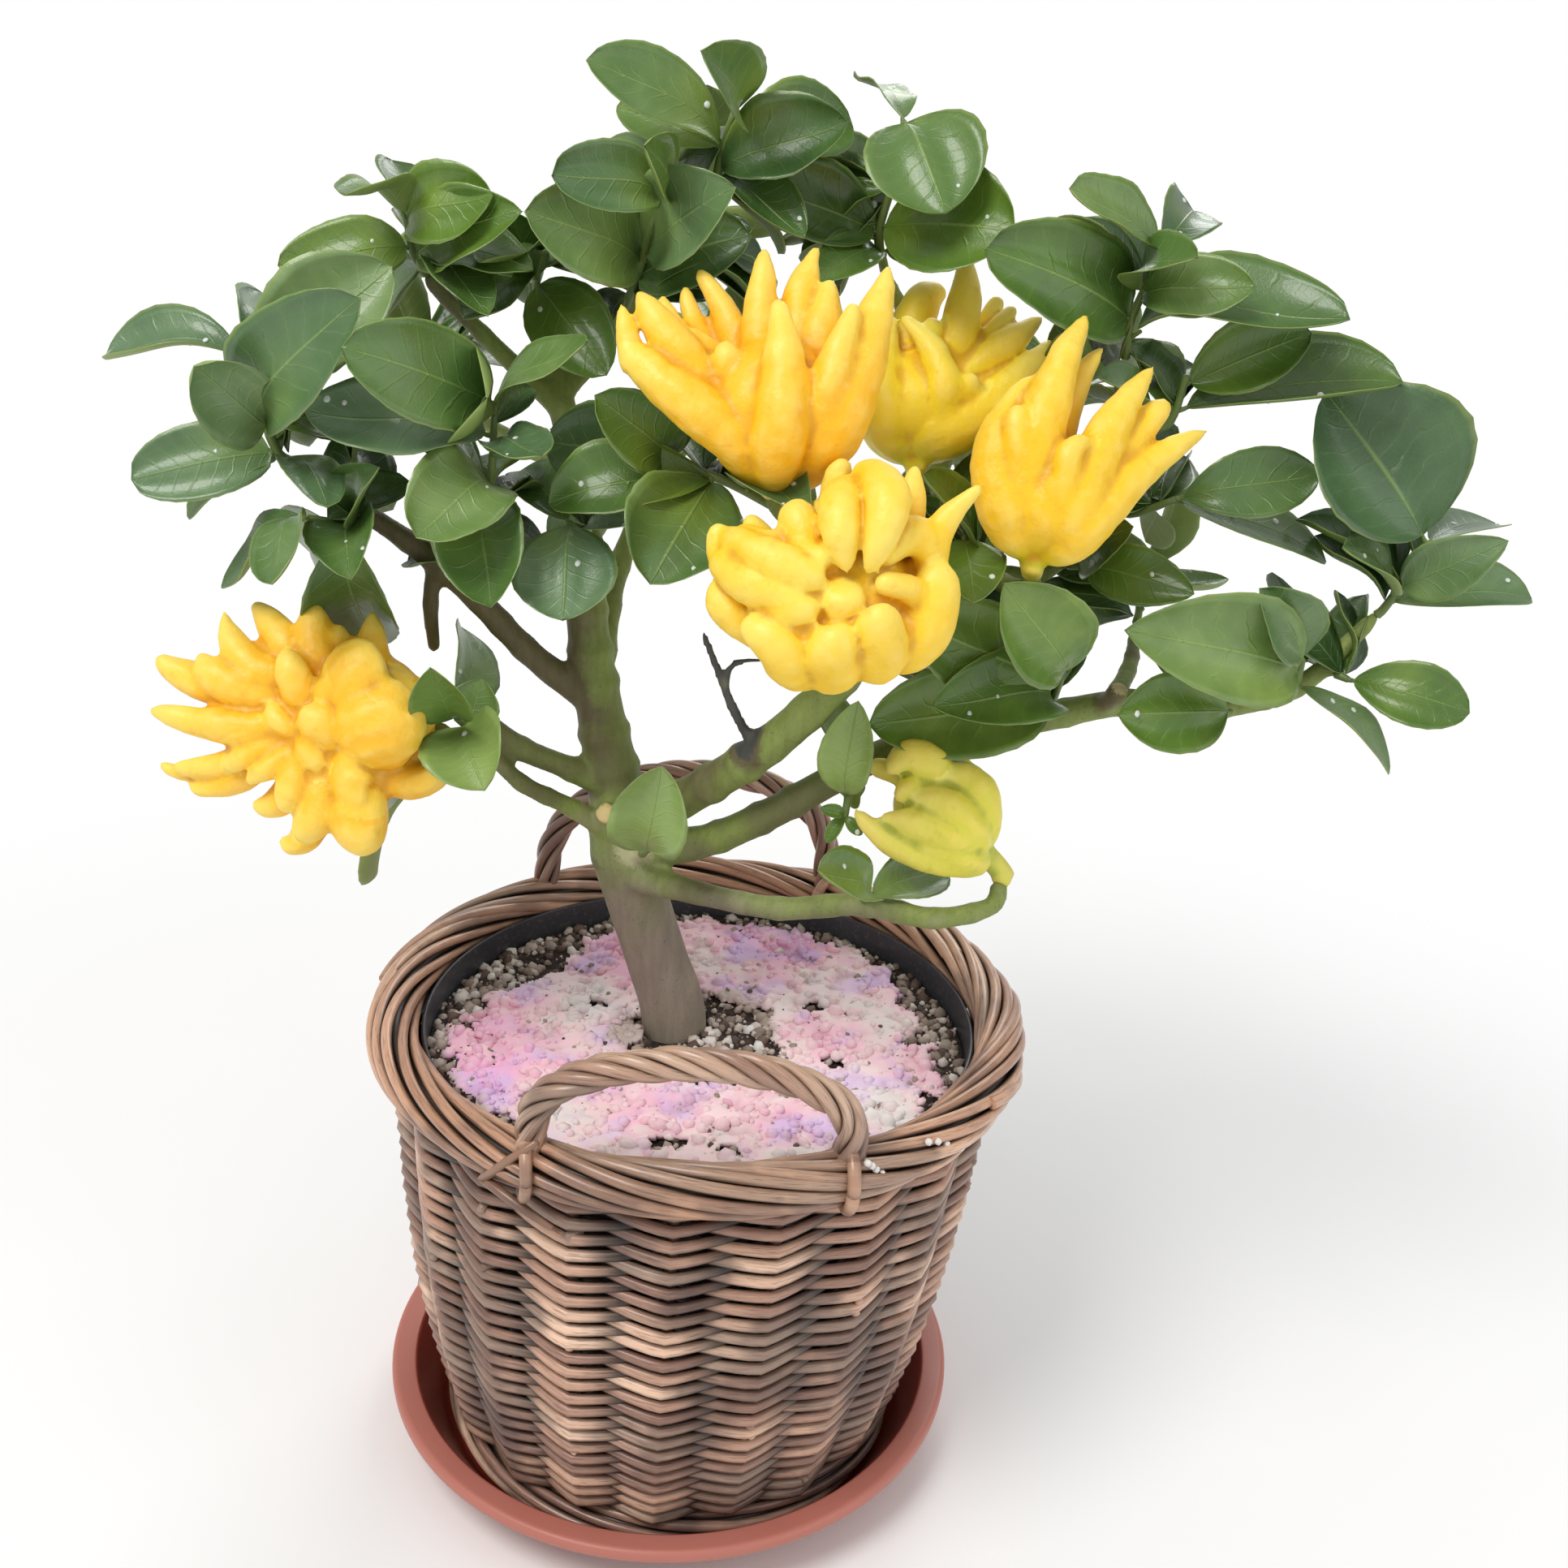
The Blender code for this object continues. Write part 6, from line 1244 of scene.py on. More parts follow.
        ((12, 11, -14), (-1, 17, -20), (-10, 14, -22), (6.7, 5.9, 2.5)),
        ((13, -6, -14), (-1, -3, -20), (-12, -4, -22), (6.7, 6.2, 2.5))]),
}


# trunk and boughs

wood = {"grain": 0.0018, "soften": 3, "sides": 14, "stumpDepth": 0.048, "stumpRadius": 0.0165, "stub": 0.0026,
        "gap": 0.0003, "knotSpan": (0.014, 0.030), "knotSwell": 0.16, "knotWidth": 0.0022, "seed": 8}
scars = (((-37, -22, 349), 6.5, (232, 206, 146)), ((-24, -17, 329), 11.0, (192, 190, 150)),
         ((191, -14, 421), 5.0, (196, 184, 140)))  # where, how far, what colour
browned = {"left_bough": 0.95, "left_hanger": 0.95, "dead_twig": 1.5, "dead_fork": 1.5, "leader": 0.55,
           "left_low_bough": 0.35, "fruit_bough": 0.35, "cut_stub": 0.6, "crown_left": 0.5, "low_bough": 0.15,
           "right_bough": 0.2}  # past 1 the stem is dead and grey


def barkSkin():
    paint = Finish("citron_bark", 0.62)
    height = paint.apart(paint.place).also("Z")
    # painted shade: sides that face west are pushed towards the dark brown
    westShade = paint.apart(paint.node("ShaderNodeNewGeometry", out="Normal")) * -0.25
    streak = paint.cloud(paint.stretched((220, 220, 46)), 1.0, 4.0, 0.6)
    broad = paint.cloud(paint.place, 34.0, 3.0)
    fine = paint.cloud(paint.place, 700.0, 3.0, 0.6)
    patch = paint.cloud(paint.place, 16.0, 2.0)
    old = paint.blend(streak, tint(116, 106, 92), tint(164, 152, 136))
    green = paint.blend(streak, tint(98, 114, 46), tint(150, 164, 88))
    green = paint.blend(paint.between(patch, 0.52, 0.68) * 0.6, green, tint(90, 80, 60))
    young = paint.blend(broad, tint(98, 124, 48), tint(130, 156, 72))
    grown = paint.blend(paint.between(height + (broad - 0.5) * 0.10, 0.265, 0.345), old, green)
    grown = paint.blend(paint.between(height + (broad - 0.5) * 0.2, 0.50, 0.66), grown, young)
    scuffed = paint.blend(paint.between(fine, 0.58, 0.74) * 0.4, grown, tint(70, 62, 40))
    brown = paint.mark("brown")
    # dark brown of browned stems, also used as painted shade on the west-facing sides
    rustAndShade = paint.blend(streak, tint(66, 54, 42), tint(108, 90, 68))
    share = paint.between(brown + (broad - 0.5) * 1.3 + westShade, 0.30, 0.85)
    scuffed = paint.blend(share * 0.85, scuffed, rustAndShade)
    dead = paint.blend(streak, tint(44, 46, 44), tint(84, 84, 78))
    scuffed = paint.blend(paint.between(brown, 1.05, 1.4), scuffed, dead)
    pale = paint.blend(paint.between(broad, 0.60, 0.74) * 0.35, scuffed, tint(168, 162, 132))
    for spot, reach, shade in scars:
        away = paint.vector("DISTANCE", paint.place, tuple(Vector(spot) * mm), out=1)
        scar = paint.between(away + (fine - 0.5) * 0.006, reach * mm, reach * mm * 0.6)
        pale = paint.blend(scar * 0.85, pale, tint(*shade))
    paint.feed("Base Color", pale)
    paint.feed("Roughness", 0.5 + fine * 0.25)
    paint.relief(streak * 0.7 + fine * 0.3, 0.0009, 0.7)
    return paint


def shootPath(stub, shoot):  # the shoot beyond its stub, and the stub itself
    path = [Vector(point) * mm for point in shoot]
    forward = (path[1] - path[0]).normalized()
    stubEnd = path[0] + forward * stub * mm
    return [stubEnd + forward * wood["gap"]] + path[1:], (path[0], stubEnd)


def knotted(path, radii, draw):  # swells a stem a little at its leaf scars
    spans = np.r_[0.0, np.cumsum(np.linalg.norm(np.diff(path, axis=0), axis=1))]
    at = draw.uniform(*wood["knotSpan"])
    out = np.array(radii)
    while at < spans[-1]:
        out *= 1 + wood["knotSwell"] * np.exp(-((spans - at) / wood["knotWidth"]) ** 2)
        at += draw.uniform(*wood["knotSpan"])
    return out


def nearestOf(points):  # a tree that finds the points near a spot
    found = KDTree(len(points))
    for index, point in enumerate(points):
        found.insert(point, index)
    found.balance()
    return found


def buildTrunk():
    draw = random.Random(wood["seed"])
    shape, points, shares = Shape(), [], []
    for name, stem in stems.items():
        rows = np.array(stem, float) * mm
        if name == "trunk":
            low = np.r_[rows[0, :3] - (0, 0, wood["stumpDepth"]), wood["stumpRadius"]]
            rows = np.vstack([low, np.r_[rows[0, :3] + (0, 0, 0.004), wood["stumpRadius"]], rows[1:]])
        path = smoothPath(rows, 8)
        points += path[:, :3].tolist()
        shares += [browned.get(name, 0.0)] * len(path)
        radii = path[:, 3] if name == "trunk" else knotted(path[:, :3], path[:, 3], draw)
        shape.add(*tube(path[:, :3], radii, wood["sides"], crown=0.5))
    for stub, shoot, leaves in [*sprays.values(), *backSprays.values()]:
        start, end = shootPath(stub, shoot)[1]
        radii = [wood["stub"] * size for size in (1.15, 1, 0.9)]
        shape.add(*tube([start, start.lerp(end, 0.5), end], radii, 8, crown=0.3))
    item = shape.piece("trunk_and_boughs", barkSkin())
    skinned(item, wood["grain"], wood["soften"])
    nearest, browns = nearestOf(points), []
    for vert in item.data.vertices:  # shares of the three nearest points, softened by their distance
        hits = nearest.find_n(vert.co, 3)
        pulls = [1 / (hit[2] + 0.001) ** 4 for hit in hits]
        browns.append(sum(shares[hit[1]] * pull for hit, pull in zip(hits, pulls)) / sum(pulls))
    addMark(item.data, "brown", browns)
    finishPiece(item, "bark", "trunk")


buildTrunk()
print("trunk and boughs are grown")


# fruits

fruitLook = {"tilt": 22.4, "roll": 3.2, "grain": 0.0014, "sides": 14, "rings": 16, "rib": 0.88, "ribSteps": 9,
             "stout": (1.16, 1.07, 1.0), "lumps": ((62.0, 0.0012), (170.0, 0.0004)), "soften": 4,
             "neck": (0.0042, 0.0050, 0.0075), "crease": 0.0011}
seenAxes = viewAxes(fruitLook["tilt"], fruitLook["roll"])  # the way the photo looks at the plant
fruitTone = {  # base, body, tip and shaded colours of each fruit
    "fruit_cupped": ((238, 186, 30), (250, 190, 26), (250, 214, 76), (206, 140, 12)),
    "fruit_upright": ((220, 214, 34), (252, 222, 44), (254, 236, 96), (206, 140, 12)),
    "fruit_pointed": ((204, 196, 22), (246, 198, 28), (250, 212, 60), (206, 140, 12)),
    "fruit_knuckled": ((240, 192, 44), (250, 206, 44), (250, 222, 88), (206, 140, 12)),
    "fruit_starred": ((242, 172, 22), (250, 190, 34), (250, 214, 78), (206, 140, 12)),
    "fruit_closed": ((178, 196, 70), (224, 216, 72), (244, 234, 118), (126, 140, 26)),
}


def rindSkin(name, base, body, tip, shaded):
    paint = Finish(name, 0.45, {"Subsurface Weight": 0.06, "Subsurface Radius": (0.012, 0.006, 0.002),
                                "Subsurface Scale": 0.4})
    share, crease = paint.mark("share"), paint.mark("crease")
    broad = paint.cloud(paint.place, 38.0, 3.0) - 0.5
    mottled = paint.cloud(paint.place, 150.0, 3.0)
    pores = paint.node("ShaderNodeTexVoronoi", {"feature": "SMOOTH_F1"}, {
        "Vector": paint.place, "Scale": 620.0})
    grown = paint.blend(paint.between(paint.mark("base") + broad * 0.5, 0.25, 0.85), body, base)
    grown = paint.blend(paint.between(share + broad * 0.4, 0.25, 0.95), grown, tip)
    # painted highlight on the proud ridges and painted shade in the hollows of the creases
    ridgeHighlight = paint.blend(paint.between(crease, -0.05, -0.45) * 0.45, grown, tint(252, 222, 112))
    shade = paint.blend(0.7, body, shaded)
    deep = paint.blend(paint.between(crease, 0.0, 0.42) * 0.85, ridgeHighlight, shade)
    flecked = paint.blend(paint.between(mottled, 0.56, 0.76) * 0.25, deep, shade)
    flecked = paint.blend(paint.between(mottled, 0.44, 0.28) * 0.25, flecked, tint(252, 224, 120))
    brown = paint.between(share + (mottled - 0.5) * 0.12, 0.965, 1.0)
    paint.feed("Base Color", paint.blend(brown * 0.7, flecked, tint(138, 92, 30)))
    paint.feed("Roughness", 0.40 + mottled * 0.16)
    paint.relief(pores * 0.45 + mottled * 0.55, 0.0009, 0.4)
    return paint


def bent(start, middle, end, share):  # the curve through all three
    pull = middle * 2 - (start + end) / 2
    return start * (1 - share) ** 2 + pull * 2 * share * (1 - share) + end * share ** 2


def meshPoints(mesh):  # every point and the way it faces
    spot, facing = np.empty((2, len(mesh.vertices) * 3))
    mesh.vertices.foreach_get("co", spot)
    mesh.vertex_normals.foreach_get("vector", facing)
    return spot.reshape(-1, 3), facing.reshape(-1, 3)


def creases(mesh, reach=6, rounds=3):  # how hollow (+) or proud (-) the surface is at each point
    spot, facing = meshPoints(mesh)
    edges = np.empty(len(mesh.edges) * 2, int)
    mesh.edges.foreach_get("vertices", edges)
    edges = edges.reshape(-1, 2)
    degree = np.bincount(edges.ravel(), minlength=len(spot))[:, None]

    def spread(values):
        out = np.zeros_like(values)
        np.add.at(out, edges[:, 0], values[edges[:, 1]])
        np.add.at(out, edges[:, 1], values[edges[:, 0]])
        return out / np.maximum(degree, 1)

    wide = spot
    for step in range(reach):
        wide = spread(wide)
    hollow = ((wide - spot) * facing).sum(1, keepdims=True)
    for step in range(rounds):
        hollow = (hollow + spread(hollow)) / 2
    return spot, hollow[:, 0]


def fingerPath(finger, spotAt):  # points, radii and shares along one finger
    shares = np.linspace(0, 1, fruitLook["rings"])
    path = [bent(*[spotAt(point) for point in finger[:3]], share) for share in shares]
    widths = [width * stout for width, stout in zip(finger[3], fruitLook["stout"])]
    point = [max(0.0, (share - 0.82) / 0.18) for share in shares]
    radii = [bent(*widths, share) * mm * math.sqrt(max(0.0, 1 - thin * thin * 0.93))
             for share, thin in zip(shares, point)]
    return path, radii, shares


def ribbed(path, radii, root, below, spotAt, place, reach):  # adds the rib from the stalk up to the finger
    away = np.linalg.norm(root)
    lead, leadRadii = [], []
    if 0.5 < away < 1.6:
        power = 1 if away < 1.1 else 2
        for t in np.linspace(0.0, 0.9, fruitLook["ribSteps"]):
            way = below * (1 - t) + root / away * t
            way /= np.linalg.norm(way)
            lead.append(spotAt(place + way * reach * (0.74 + (away - 0.74) * t ** power)))
            leadRadii.append(radii[0] * fruitLook["rib"] * (0.60 + 0.40 * t))
    line, girth = np.array(lead + path[:-1]), np.array(leadRadii + radii[:-1])
    for step in range(4 if lead else 0):  # rounds the turn from rib to finger
        line[1:-1] = (line[:-2] + line[1:-1] * 2 + line[2:]) / 4
        girth[1:-1] = (girth[:-2] + girth[1:-1] * 2 + girth[2:]) / 4
    return line, girth


def buildFruit(name, form):
    stalk, centre, (place, reach), fingers = form
    place, reach = np.array(place, float), np.array(reach, float)
    axes = np.array(seenAxes).T * mm

    def spotAt(point):
        return Vector(centre) * mm + Vector(axes @ np.array(point, float))

    middle = spotAt(place)
    before, stalkEnd = [Vector(point[:3]) * mm for point in stems[stalk][-2:]]
    forward = (stalkEnd - before).normalized()
    below = np.linalg.solve(axes, np.array(stalkEnd - middle)) / reach
    below /= np.linalg.norm(below)
    ball = bmesh.new()
    bmesh.ops.create_icosphere(ball, subdivisions=4, radius=1.0)
    shape = Shape()
    shape.add([spotAt(place + reach * 0.97 * (vert.co.x, vert.co.y, -vert.co.z)) for vert in ball.verts],
              [[vert.index for vert in face.verts] for face in ball.faces])
    ball.free()
    samples = []
    for finger in fingers:
        path, radii, shares = fingerPath(finger, spotAt)
        samples += zip(path, radii, shares)
        root = (np.array(finger[0], float) - place) / reach
        line, girth = ribbed(path, radii, root, below, spotAt, place, reach)
        shape.add(*tube(line, girth, fruitLook["sides"], tip=path[-1]))
    neck = [stalkEnd + forward * wood["gap"], stalkEnd + forward * 0.005, middle]
    shape.add(*tube(neck, fruitLook["neck"], 12))
    colours = [tint(*colour) for colour in fruitTone[name]]
    item = shape.piece(name + "_rind", rindSkin(name + "_rind", *colours))
    skinned(item, fruitLook["grain"], fruitLook["soften"])
    spot, facing = meshPoints(item.data)
    push = [sum(noise.noise(Vector(point) * scale) * depth for scale, depth in fruitLook["lumps"])
            for point in spot]
    item.data.vertices.foreach_set("co", (spot + facing * np.array(push)[:, None]).ravel())
    item.data.update()
    spot, hollow = creases(item.data)
    nearest, shares = nearestOf([sample[0] for sample in samples]), []
    for point in spot:  # how far along its finger each point lies
        hits = nearest.find_n(point, 5)
        gap, share = min((hit[2] - samples[hit[1]][1], samples[hit[1]][2]) for hit in hits)
        shares.append(share if gap < 0.003 else 0.0)
    away = np.linalg.norm(spot - np.array(stalkEnd), axis=1)
    addMark(item.data, "share", shares)
    addMark(item.data, "crease", hollow / fruitLook["crease"])
    addMark(item.data, "base", 1.0 - away / (1.5 * max(reach) * mm))
    finishPiece(item, "rind", name)


for name, form in fruits.items():
    buildFruit(name, form)
print("fruits are grown")


# leaves

leaf = {
    "breadth": 0.48, "thickness": 0.0008, "arch": 0.10, "fold": 0.40, "petiole": 0.05,
    "cells": (20, 10), "fewCells": (12, 6), "near": 0.0002, "drops": 70, "plainTone": (0.45, 0.6),
    "shootRadius": (0.0022, 0.0015), "stalkRadius": (0.0013, 0.0009), "backSeed": 11,
    "backLength": (0.048, 0.066), "backSpread": 62.0, "golden": 137.5, "axis": (-0.030, 0.015, 0.0),
    "inner": 5, "innerLength": (0.036, 0.056), "innerAim": (0.010, 0.080, 0.540),
    # innerTone keeps the leaves behind dark: painted shade
    "innerBreadth": (0.44, 0.56), "innerTone": (0.0, 0.4),
}
blade = {  # how far one leaf may differ from the next
    "peak": (0.90, 1.32), "blunt": (0.40, 0.70), "fold": (0.3, 1.7), "dome": (0.06, 0.22),
    "wave": (0.0, 0.12), "waves": (1.0, 2.4), "shift": (0, 6.28), "droop": (-0.02, 0.06),
    "petiole": (0.7, 1.1), "bow": (0.6, 1.7),  # above 1 the peak is nearer the tip
}
bends = [(0, 0, 1.0)] + [  # turn, lift and length of a leaf, tried until its solid holds the tip too
    (swing * math.cos(step * math.pi / 4), swing * math.sin(step * math.pi / 4), length)
    for length in (1.0, 0.84, 0.68) for swing in (7, 14, 22, 31, 42) for step in range(8)]
sprayTone = {  # how light (leaf colour with painted light and sheen) and how yellow a spray's leaves are
    "spray_left_tip": (0.80, 0.1), "spray_left_low": (0.55, 0.4), "spray_left_mid": (0.66, 0.25),
    "spray_crown_left": (0.50, 0.7), "spray_top_left": (0.52, 0.4), "spray_leader_tip": (0.35, 0.7),
    "spray_top": (0.50, 0.6), "spray_top_right": (0.52, 0.9), "spray_right_up": (0.55, 0.5),
    "spray_right_fan": (0.45, 0.7), "spray_right_mid": (0.45, 0.5), "spray_far_right": (0.62, 0.1),
    "spray_right_low": (0.72, 0.3), "spray_right_side": (0.55, 0.6), "spray_right_bough": (0.60, 0.8),
    "spray_bough_inner": (0.50, 0.8), "spray_behind_fruit": (0.60, 1.0), "spray_fruit_side": (0.30, 0.7),
    "spray_centre": (0.42, 0.5), "spray_leader_mid": (0.70, 0.35), "spray_starred_fruit": (0.92, 0.5),
    "spray_crown": (0.80, 0.4), "spray_low": (0.75, 0.5), "spray_closed_fruit": (0.75, 0.8),
}
fillers = {  # more leaves of a spray: share along its shoot, tip in millimetres, breadth seen, lightness (leaf colour with painted light and shade)
    "spray_left_tip": [(0.45, (-146, -8, 521), 22, 0.2)],
    "spray_left_low": [(0.1, (-148, -45, 493), 9, 0.6)],
    "spray_left_mid": [(0.55, (-136, -5, 513), 20, 0.05), (0.9, (-70, -15, 538), 14, 0.35),
                       (0.1, (-129, 2, 456), 18, 0.1)],
    "spray_leader_tip": [(0.5, (-85, 15, 605), 20, 0.35), (0.1, (-49, 35, 559), 20, 0.1)],
    "spray_crown_left": [(0.3, (-70, -12, 585), 24, 0.4)],
    "spray_top_left": [(0.2, (18, 8, 604), 26, 0.1)],
    "spray_right_fan": [(0.1, (207, 25, 516), 22, 0.1)],
    "spray_bough_inner": [(0.4, (109, -8, 464), 26, 0.05), (0.1, (83, -18, 431), 25, 0.2)],
    "spray_behind_fruit": [(0.5, (94, -35, 515), 16, 0.6)],
    "spray_closed_fruit": [(0.1, (78, -42, 373), 12, 0.75)],
    "spray_centre": [(0.3, (51, -30, 502), 16, 0.6)],
    "spray_leader_mid": [(0.6, (-62, -22, 474), 24, 0.8)],
    "spray_starred_fruit": [(0.5, (-88, -42, 418), 24, 0.75)],
}
bareSprays = ("spray_closed_fruit", "spray_starred_fruit", "spray_crown", "spray_low")  # no inner leaves
dew = {"Smallest": 0.0007, "Largest": 0.0016, "Seed": 12}


def leafSkin():
    paint = Finish("citron_leaf", 0.34, {"Specular IOR Level": 0.6})
    along, across, under = paint.mark("along"), paint.mark("across"), paint.mark("under")
    tone, warm = paint.mark("tone"), paint.mark("warm")
    side = paint.maths("ABSOLUTE", across)
    broad = paint.cloud(paint.place, 26.0, 3.0)
    patch = paint.cloud(paint.place, 13.0, 2.0)
    wobble = paint.cloud(paint.place, 60.0, 2.0)
    ladder = (along - side * 0.24 + side * side * 0.07) * 8.0 + (wobble - 0.5) * 1.3
    rung = paint.maths("PINGPONG", ladder, 0.5)
    vein = paint.between(rung, 0.09, 0.0) * paint.between(side, 1.0, 0.6)
    midrib = paint.between(side, 0.05, 0.0)
    net = paint.node("ShaderNodeTexVoronoi", {"feature": "DISTANCE_TO_EDGE"}, {
        "Vector": paint.place, "Scale": 420.0})
    meshy = paint.between(net, 0.14, 0.0)
    deep = paint.blend(warm, tint(36, 66, 34), tint(40, 70, 14))
    middle = paint.blend(warm, tint(76, 108, 66), tint(88, 122, 34))
    # the light end is partly painted sheen: the greyer pale green stands for the sky's reflection on lit
    # leaves
    pale = paint.blend(warm, tint(118, 146, 112), tint(152, 176, 74))
    level = tone + (broad - 0.5) * 0.7 + (wobble - 0.5) * 0.25
    upper = paint.blend(paint.between(level, 0.0, 0.55), deep, middle)
    upper = paint.blend(paint.between(level, 0.5, 1.1), upper, pale)
    glow = paint.between(patch, 0.50, 0.68) * paint.between(along, 0.75, 0.1)  # painted light shining through the leaf, yellower towards the foot
    upper = paint.blend(glow * 0.5, upper, tint(134, 158, 44))
    upper = paint.blend(paint.between(rung, 0.0, 0.5) * 0.07, upper, tint(36, 66, 20))
    upper = paint.blend(vein * 0.06 + meshy * 0.03, upper, tint(150, 176, 100))
    upper = paint.blend(midrib * 0.4, upper, tint(152, 178, 96))
    lower = paint.blend(paint.between(level, 0.1, 1.0), tint(88, 112, 48), tint(140, 160, 86))
    lower = paint.blend(vein * 0.2 + midrib * 0.5, lower, tint(168, 184, 120))
    both = paint.blend(under, upper, lower)
    paint.feed("Base Color", paint.blend(paint.between(side, 0.93, 0.99) * 0.55, both, tint(150, 170, 92)))
    paint.feed("Roughness", 0.32 + broad * 0.14 + under * 0.2)
    paint.feed("Coat Weight", 0.18 * (1.0 - under))
    depth = vein * -0.28 + midrib * -0.8 + meshy * -0.06 + wobble * 0.35
    paint.relief(depth * (1.0 - under * 1.7), 0.0007, 0.7)
    return paint


def stalkSkin():
    paint = Finish("green_shoot", 0.45)
    broad = paint.cloud(paint.place, 60.0, 3.0)
    fine = paint.cloud(paint.stretched((500, 500, 160)), 1.0, 3.0)
    shade = paint.blend(broad, tint(74, 98, 44), tint(126, 150, 78))
    paint.feed("Base Color", paint.blend(fine * 0.4, shade, tint(96, 100, 56)))
    paint.feed("Roughness", 0.36 + fine * 0.2)
    paint.relief(fine, 0.0004, 0.5)
    return paint


def waterSkin():
    paint = Finish("water_drop", 0.04, {"IOR": 1.33, "Transmission Weight": 0.2})
    streaked = paint.cloud(paint.place, 900.0, 1.0)
    # painted glint: the drops are near-white, where clear water would only catch highlights
    paint.feed("Base Color", paint.blend(streaked, tint(226, 238, 226), tint(255, 255, 255)))
    return paint


def pointAlong(path, share):
    spans = [(b - a).length for a, b in zip(path, path[1:])]
    left = share * sum(spans)
    for start, end, span in zip(path, path[1:], spans):
        if left <= span:
            return start.lerp(end, left / span)
        left -= span
    return path[-1].copy()


def leafFacing(foot, tip, width, seen):  # the way its upper side looks, so that the breadth seen fits
    line = (tip - foot).normalized()
    if seen is None:  # a leaf at the back looks up and outward
        outward = (foot + tip) / 2 - Vector(leaf["axis"])
        outward.z = 0
        facing = Vector((0, 0, 0.75)) + outward.normalized() * 0.45
        return (facing - line * facing.dot(line)).normalized()
    near = seenAxes[2]
    square = (near - line * near.dot(line)).normalized()
    aside = line.cross(square)
    if aside.z < 0:
        aside.negate()
    share = min(1.0, seen / width)
    return (square * share + aside * math.sqrt(1 - share * share)).normalized()


def bentTip(foot, tip, bend):
    turn, lift, length = bend
    line = Matrix.Rotation(math.radians(turn), 3, "Z") @ (tip - foot)
    level = Vector((-line.y, line.x, 0))
    if level.length < 1e-6:
        level = Vector((1, 0, 0))
    return foot + Matrix.Rotation(math.radians(lift), 3, level) @ line * length


def tipInside(corners, foot, aim):  # the first bent tip that is a corner of the spray's solid
    tips = (bentTip(foot, aim, bend) for bend in bends)
    return next((spot for spot in tips if corners.find(spot)[2] < leaf["near"]), aim)


def backLeaves(path, count, draw):
    forward = (path[-1] - path[0]).normalized()
    side = forward.cross(Vector((0, 0, 1))).normalized()
    lift = side.cross(forward)
    leaves = []
    for index in range(count):
        share = 0.25 + 0.75 * index / (count - 1)
        angle = math.radians(leaf["golden"]) * index + draw.uniform(-0.3, 0.3)
        length = draw.uniform(*leaf["backLength"])
        spread = math.radians(leaf["backSpread"]) * (1.1 - 0.45 * share)
        reach = side * math.cos(angle) + lift * math.sin(angle)
        line = forward * math.cos(spread) + reach * math.sin(spread)
        leaves.append((share, (pointAlong(path, share) + line * length) / mm, None))
    return leaves


def innerLeaves(path, draw):  # small leaves behind the ones that face the viewer
    leaves = []
    for index in range(leaf["inner"]):
        foot = pointAlong(path, draw.uniform(0.0, 0.8))
        inward = (Vector(leaf["innerAim"]) - foot).normalized()
        aside = Vector((draw.uniform(-1, 1), draw.uniform(0.1, 1.0), draw.uniform(-0.6, 0.9)))
        line = (inward * 0.55 + aside).normalized() * draw.uniform(*leaf["innerLength"])
        leaves.append((foot, foot + line))
    return leaves


def bladeFaces(count, wide):  # upper side, lower side and the edge between them
    row, under = wide + 1, (count + 1) * (wide + 1)
    faces = []
    for i in range(count):
        for j in range(wide):
            a = i * row + j
            faces.append((a, a + row, a + row + 1, a + 1))
            faces.append((under + a, under + a + 1, under + a + row + 1, under + a + row))
    edge = [i * row for i in range(count + 1)] + [count * row + j for j in range(1, row)]
    edge += [i * row + wide for i in range(count - 1, -1, -1)] + list(range(wide - 1, 0, -1))
    return faces + [(a, under + a, under + b, b) for a, b in zip(edge, edge[1:] + edge[:1])]


def bladeMesh(foot, tip, width, normal, draw, calm=1.0, cells="cells"):
    form = {name: draw.uniform(*span) for name, span in blade.items()}
    count, wide = leaf[cells]
    line, normal = np.array(tip - foot), np.array(normal)
    size = np.linalg.norm(line)
    line /= size
    across = np.cross(line, normal)
    start, bow = leaf["petiole"] * form["petiole"], leaf["arch"] * form["bow"]
    u = (1 - np.cos(np.linspace(0, math.pi, count + 1))) / 2 * 0.35 + np.linspace(0, 1, count + 1) * 0.65
    v = np.linspace(-1, 1, wide + 1)
    gridU, gridV = np.meshgrid(u, np.sign(v) * np.abs(v) ** 0.9, indexing="ij")
    along, side = start + (1 - start) * gridU, np.abs(gridV)
    teeth = 1 + 0.012 * np.sin(gridU * 62 + form["shift"]) * (side > 0.95)
    swell = np.maximum(np.sin(math.pi * np.clip(gridU, 0, 1) ** form["peak"]), 0)
    half = width / 2 * swell ** form["blunt"] * teeth
    arch = bow * 4 * along * (1 - along) * size + form["droop"] * size * np.sin(math.pi * along * 2)
    lift = leaf["fold"] * form["fold"] * calm * half * side ** 1.25
    lift -= form["dome"] * calm * half * (1 - (2 * side - 1) ** 2)
    ripple = np.sin(gridU * math.tau * form["waves"] + form["shift"] + (gridV > 0) * 1.3)
    lift += form["wave"] * calm * half * ripple * side ** 2
    centre = np.array(foot) + line * (along * size)[..., None] + normal * (arch + lift)[..., None]
    top = (centre + across * (half * gridV)[..., None]).reshape(-1, 3)
    thin = leaf["thickness"] * (0.55 + 0.45 * np.cos(gridV * math.pi / 2)).reshape(-1, 1)
    marks = {"along": np.tile(gridU.ravel(), 2), "across": np.tile(gridV.ravel(), 2),
             "under": np.repeat((0.0, 1.0), len(top))}
    stalkEnd = np.array(foot) + line * start * size * 1.25 + normal * (bow * 4 * start * size)
    return np.vstack([top, top - normal * thin]), bladeFaces(count, wide), marks, stalkEnd


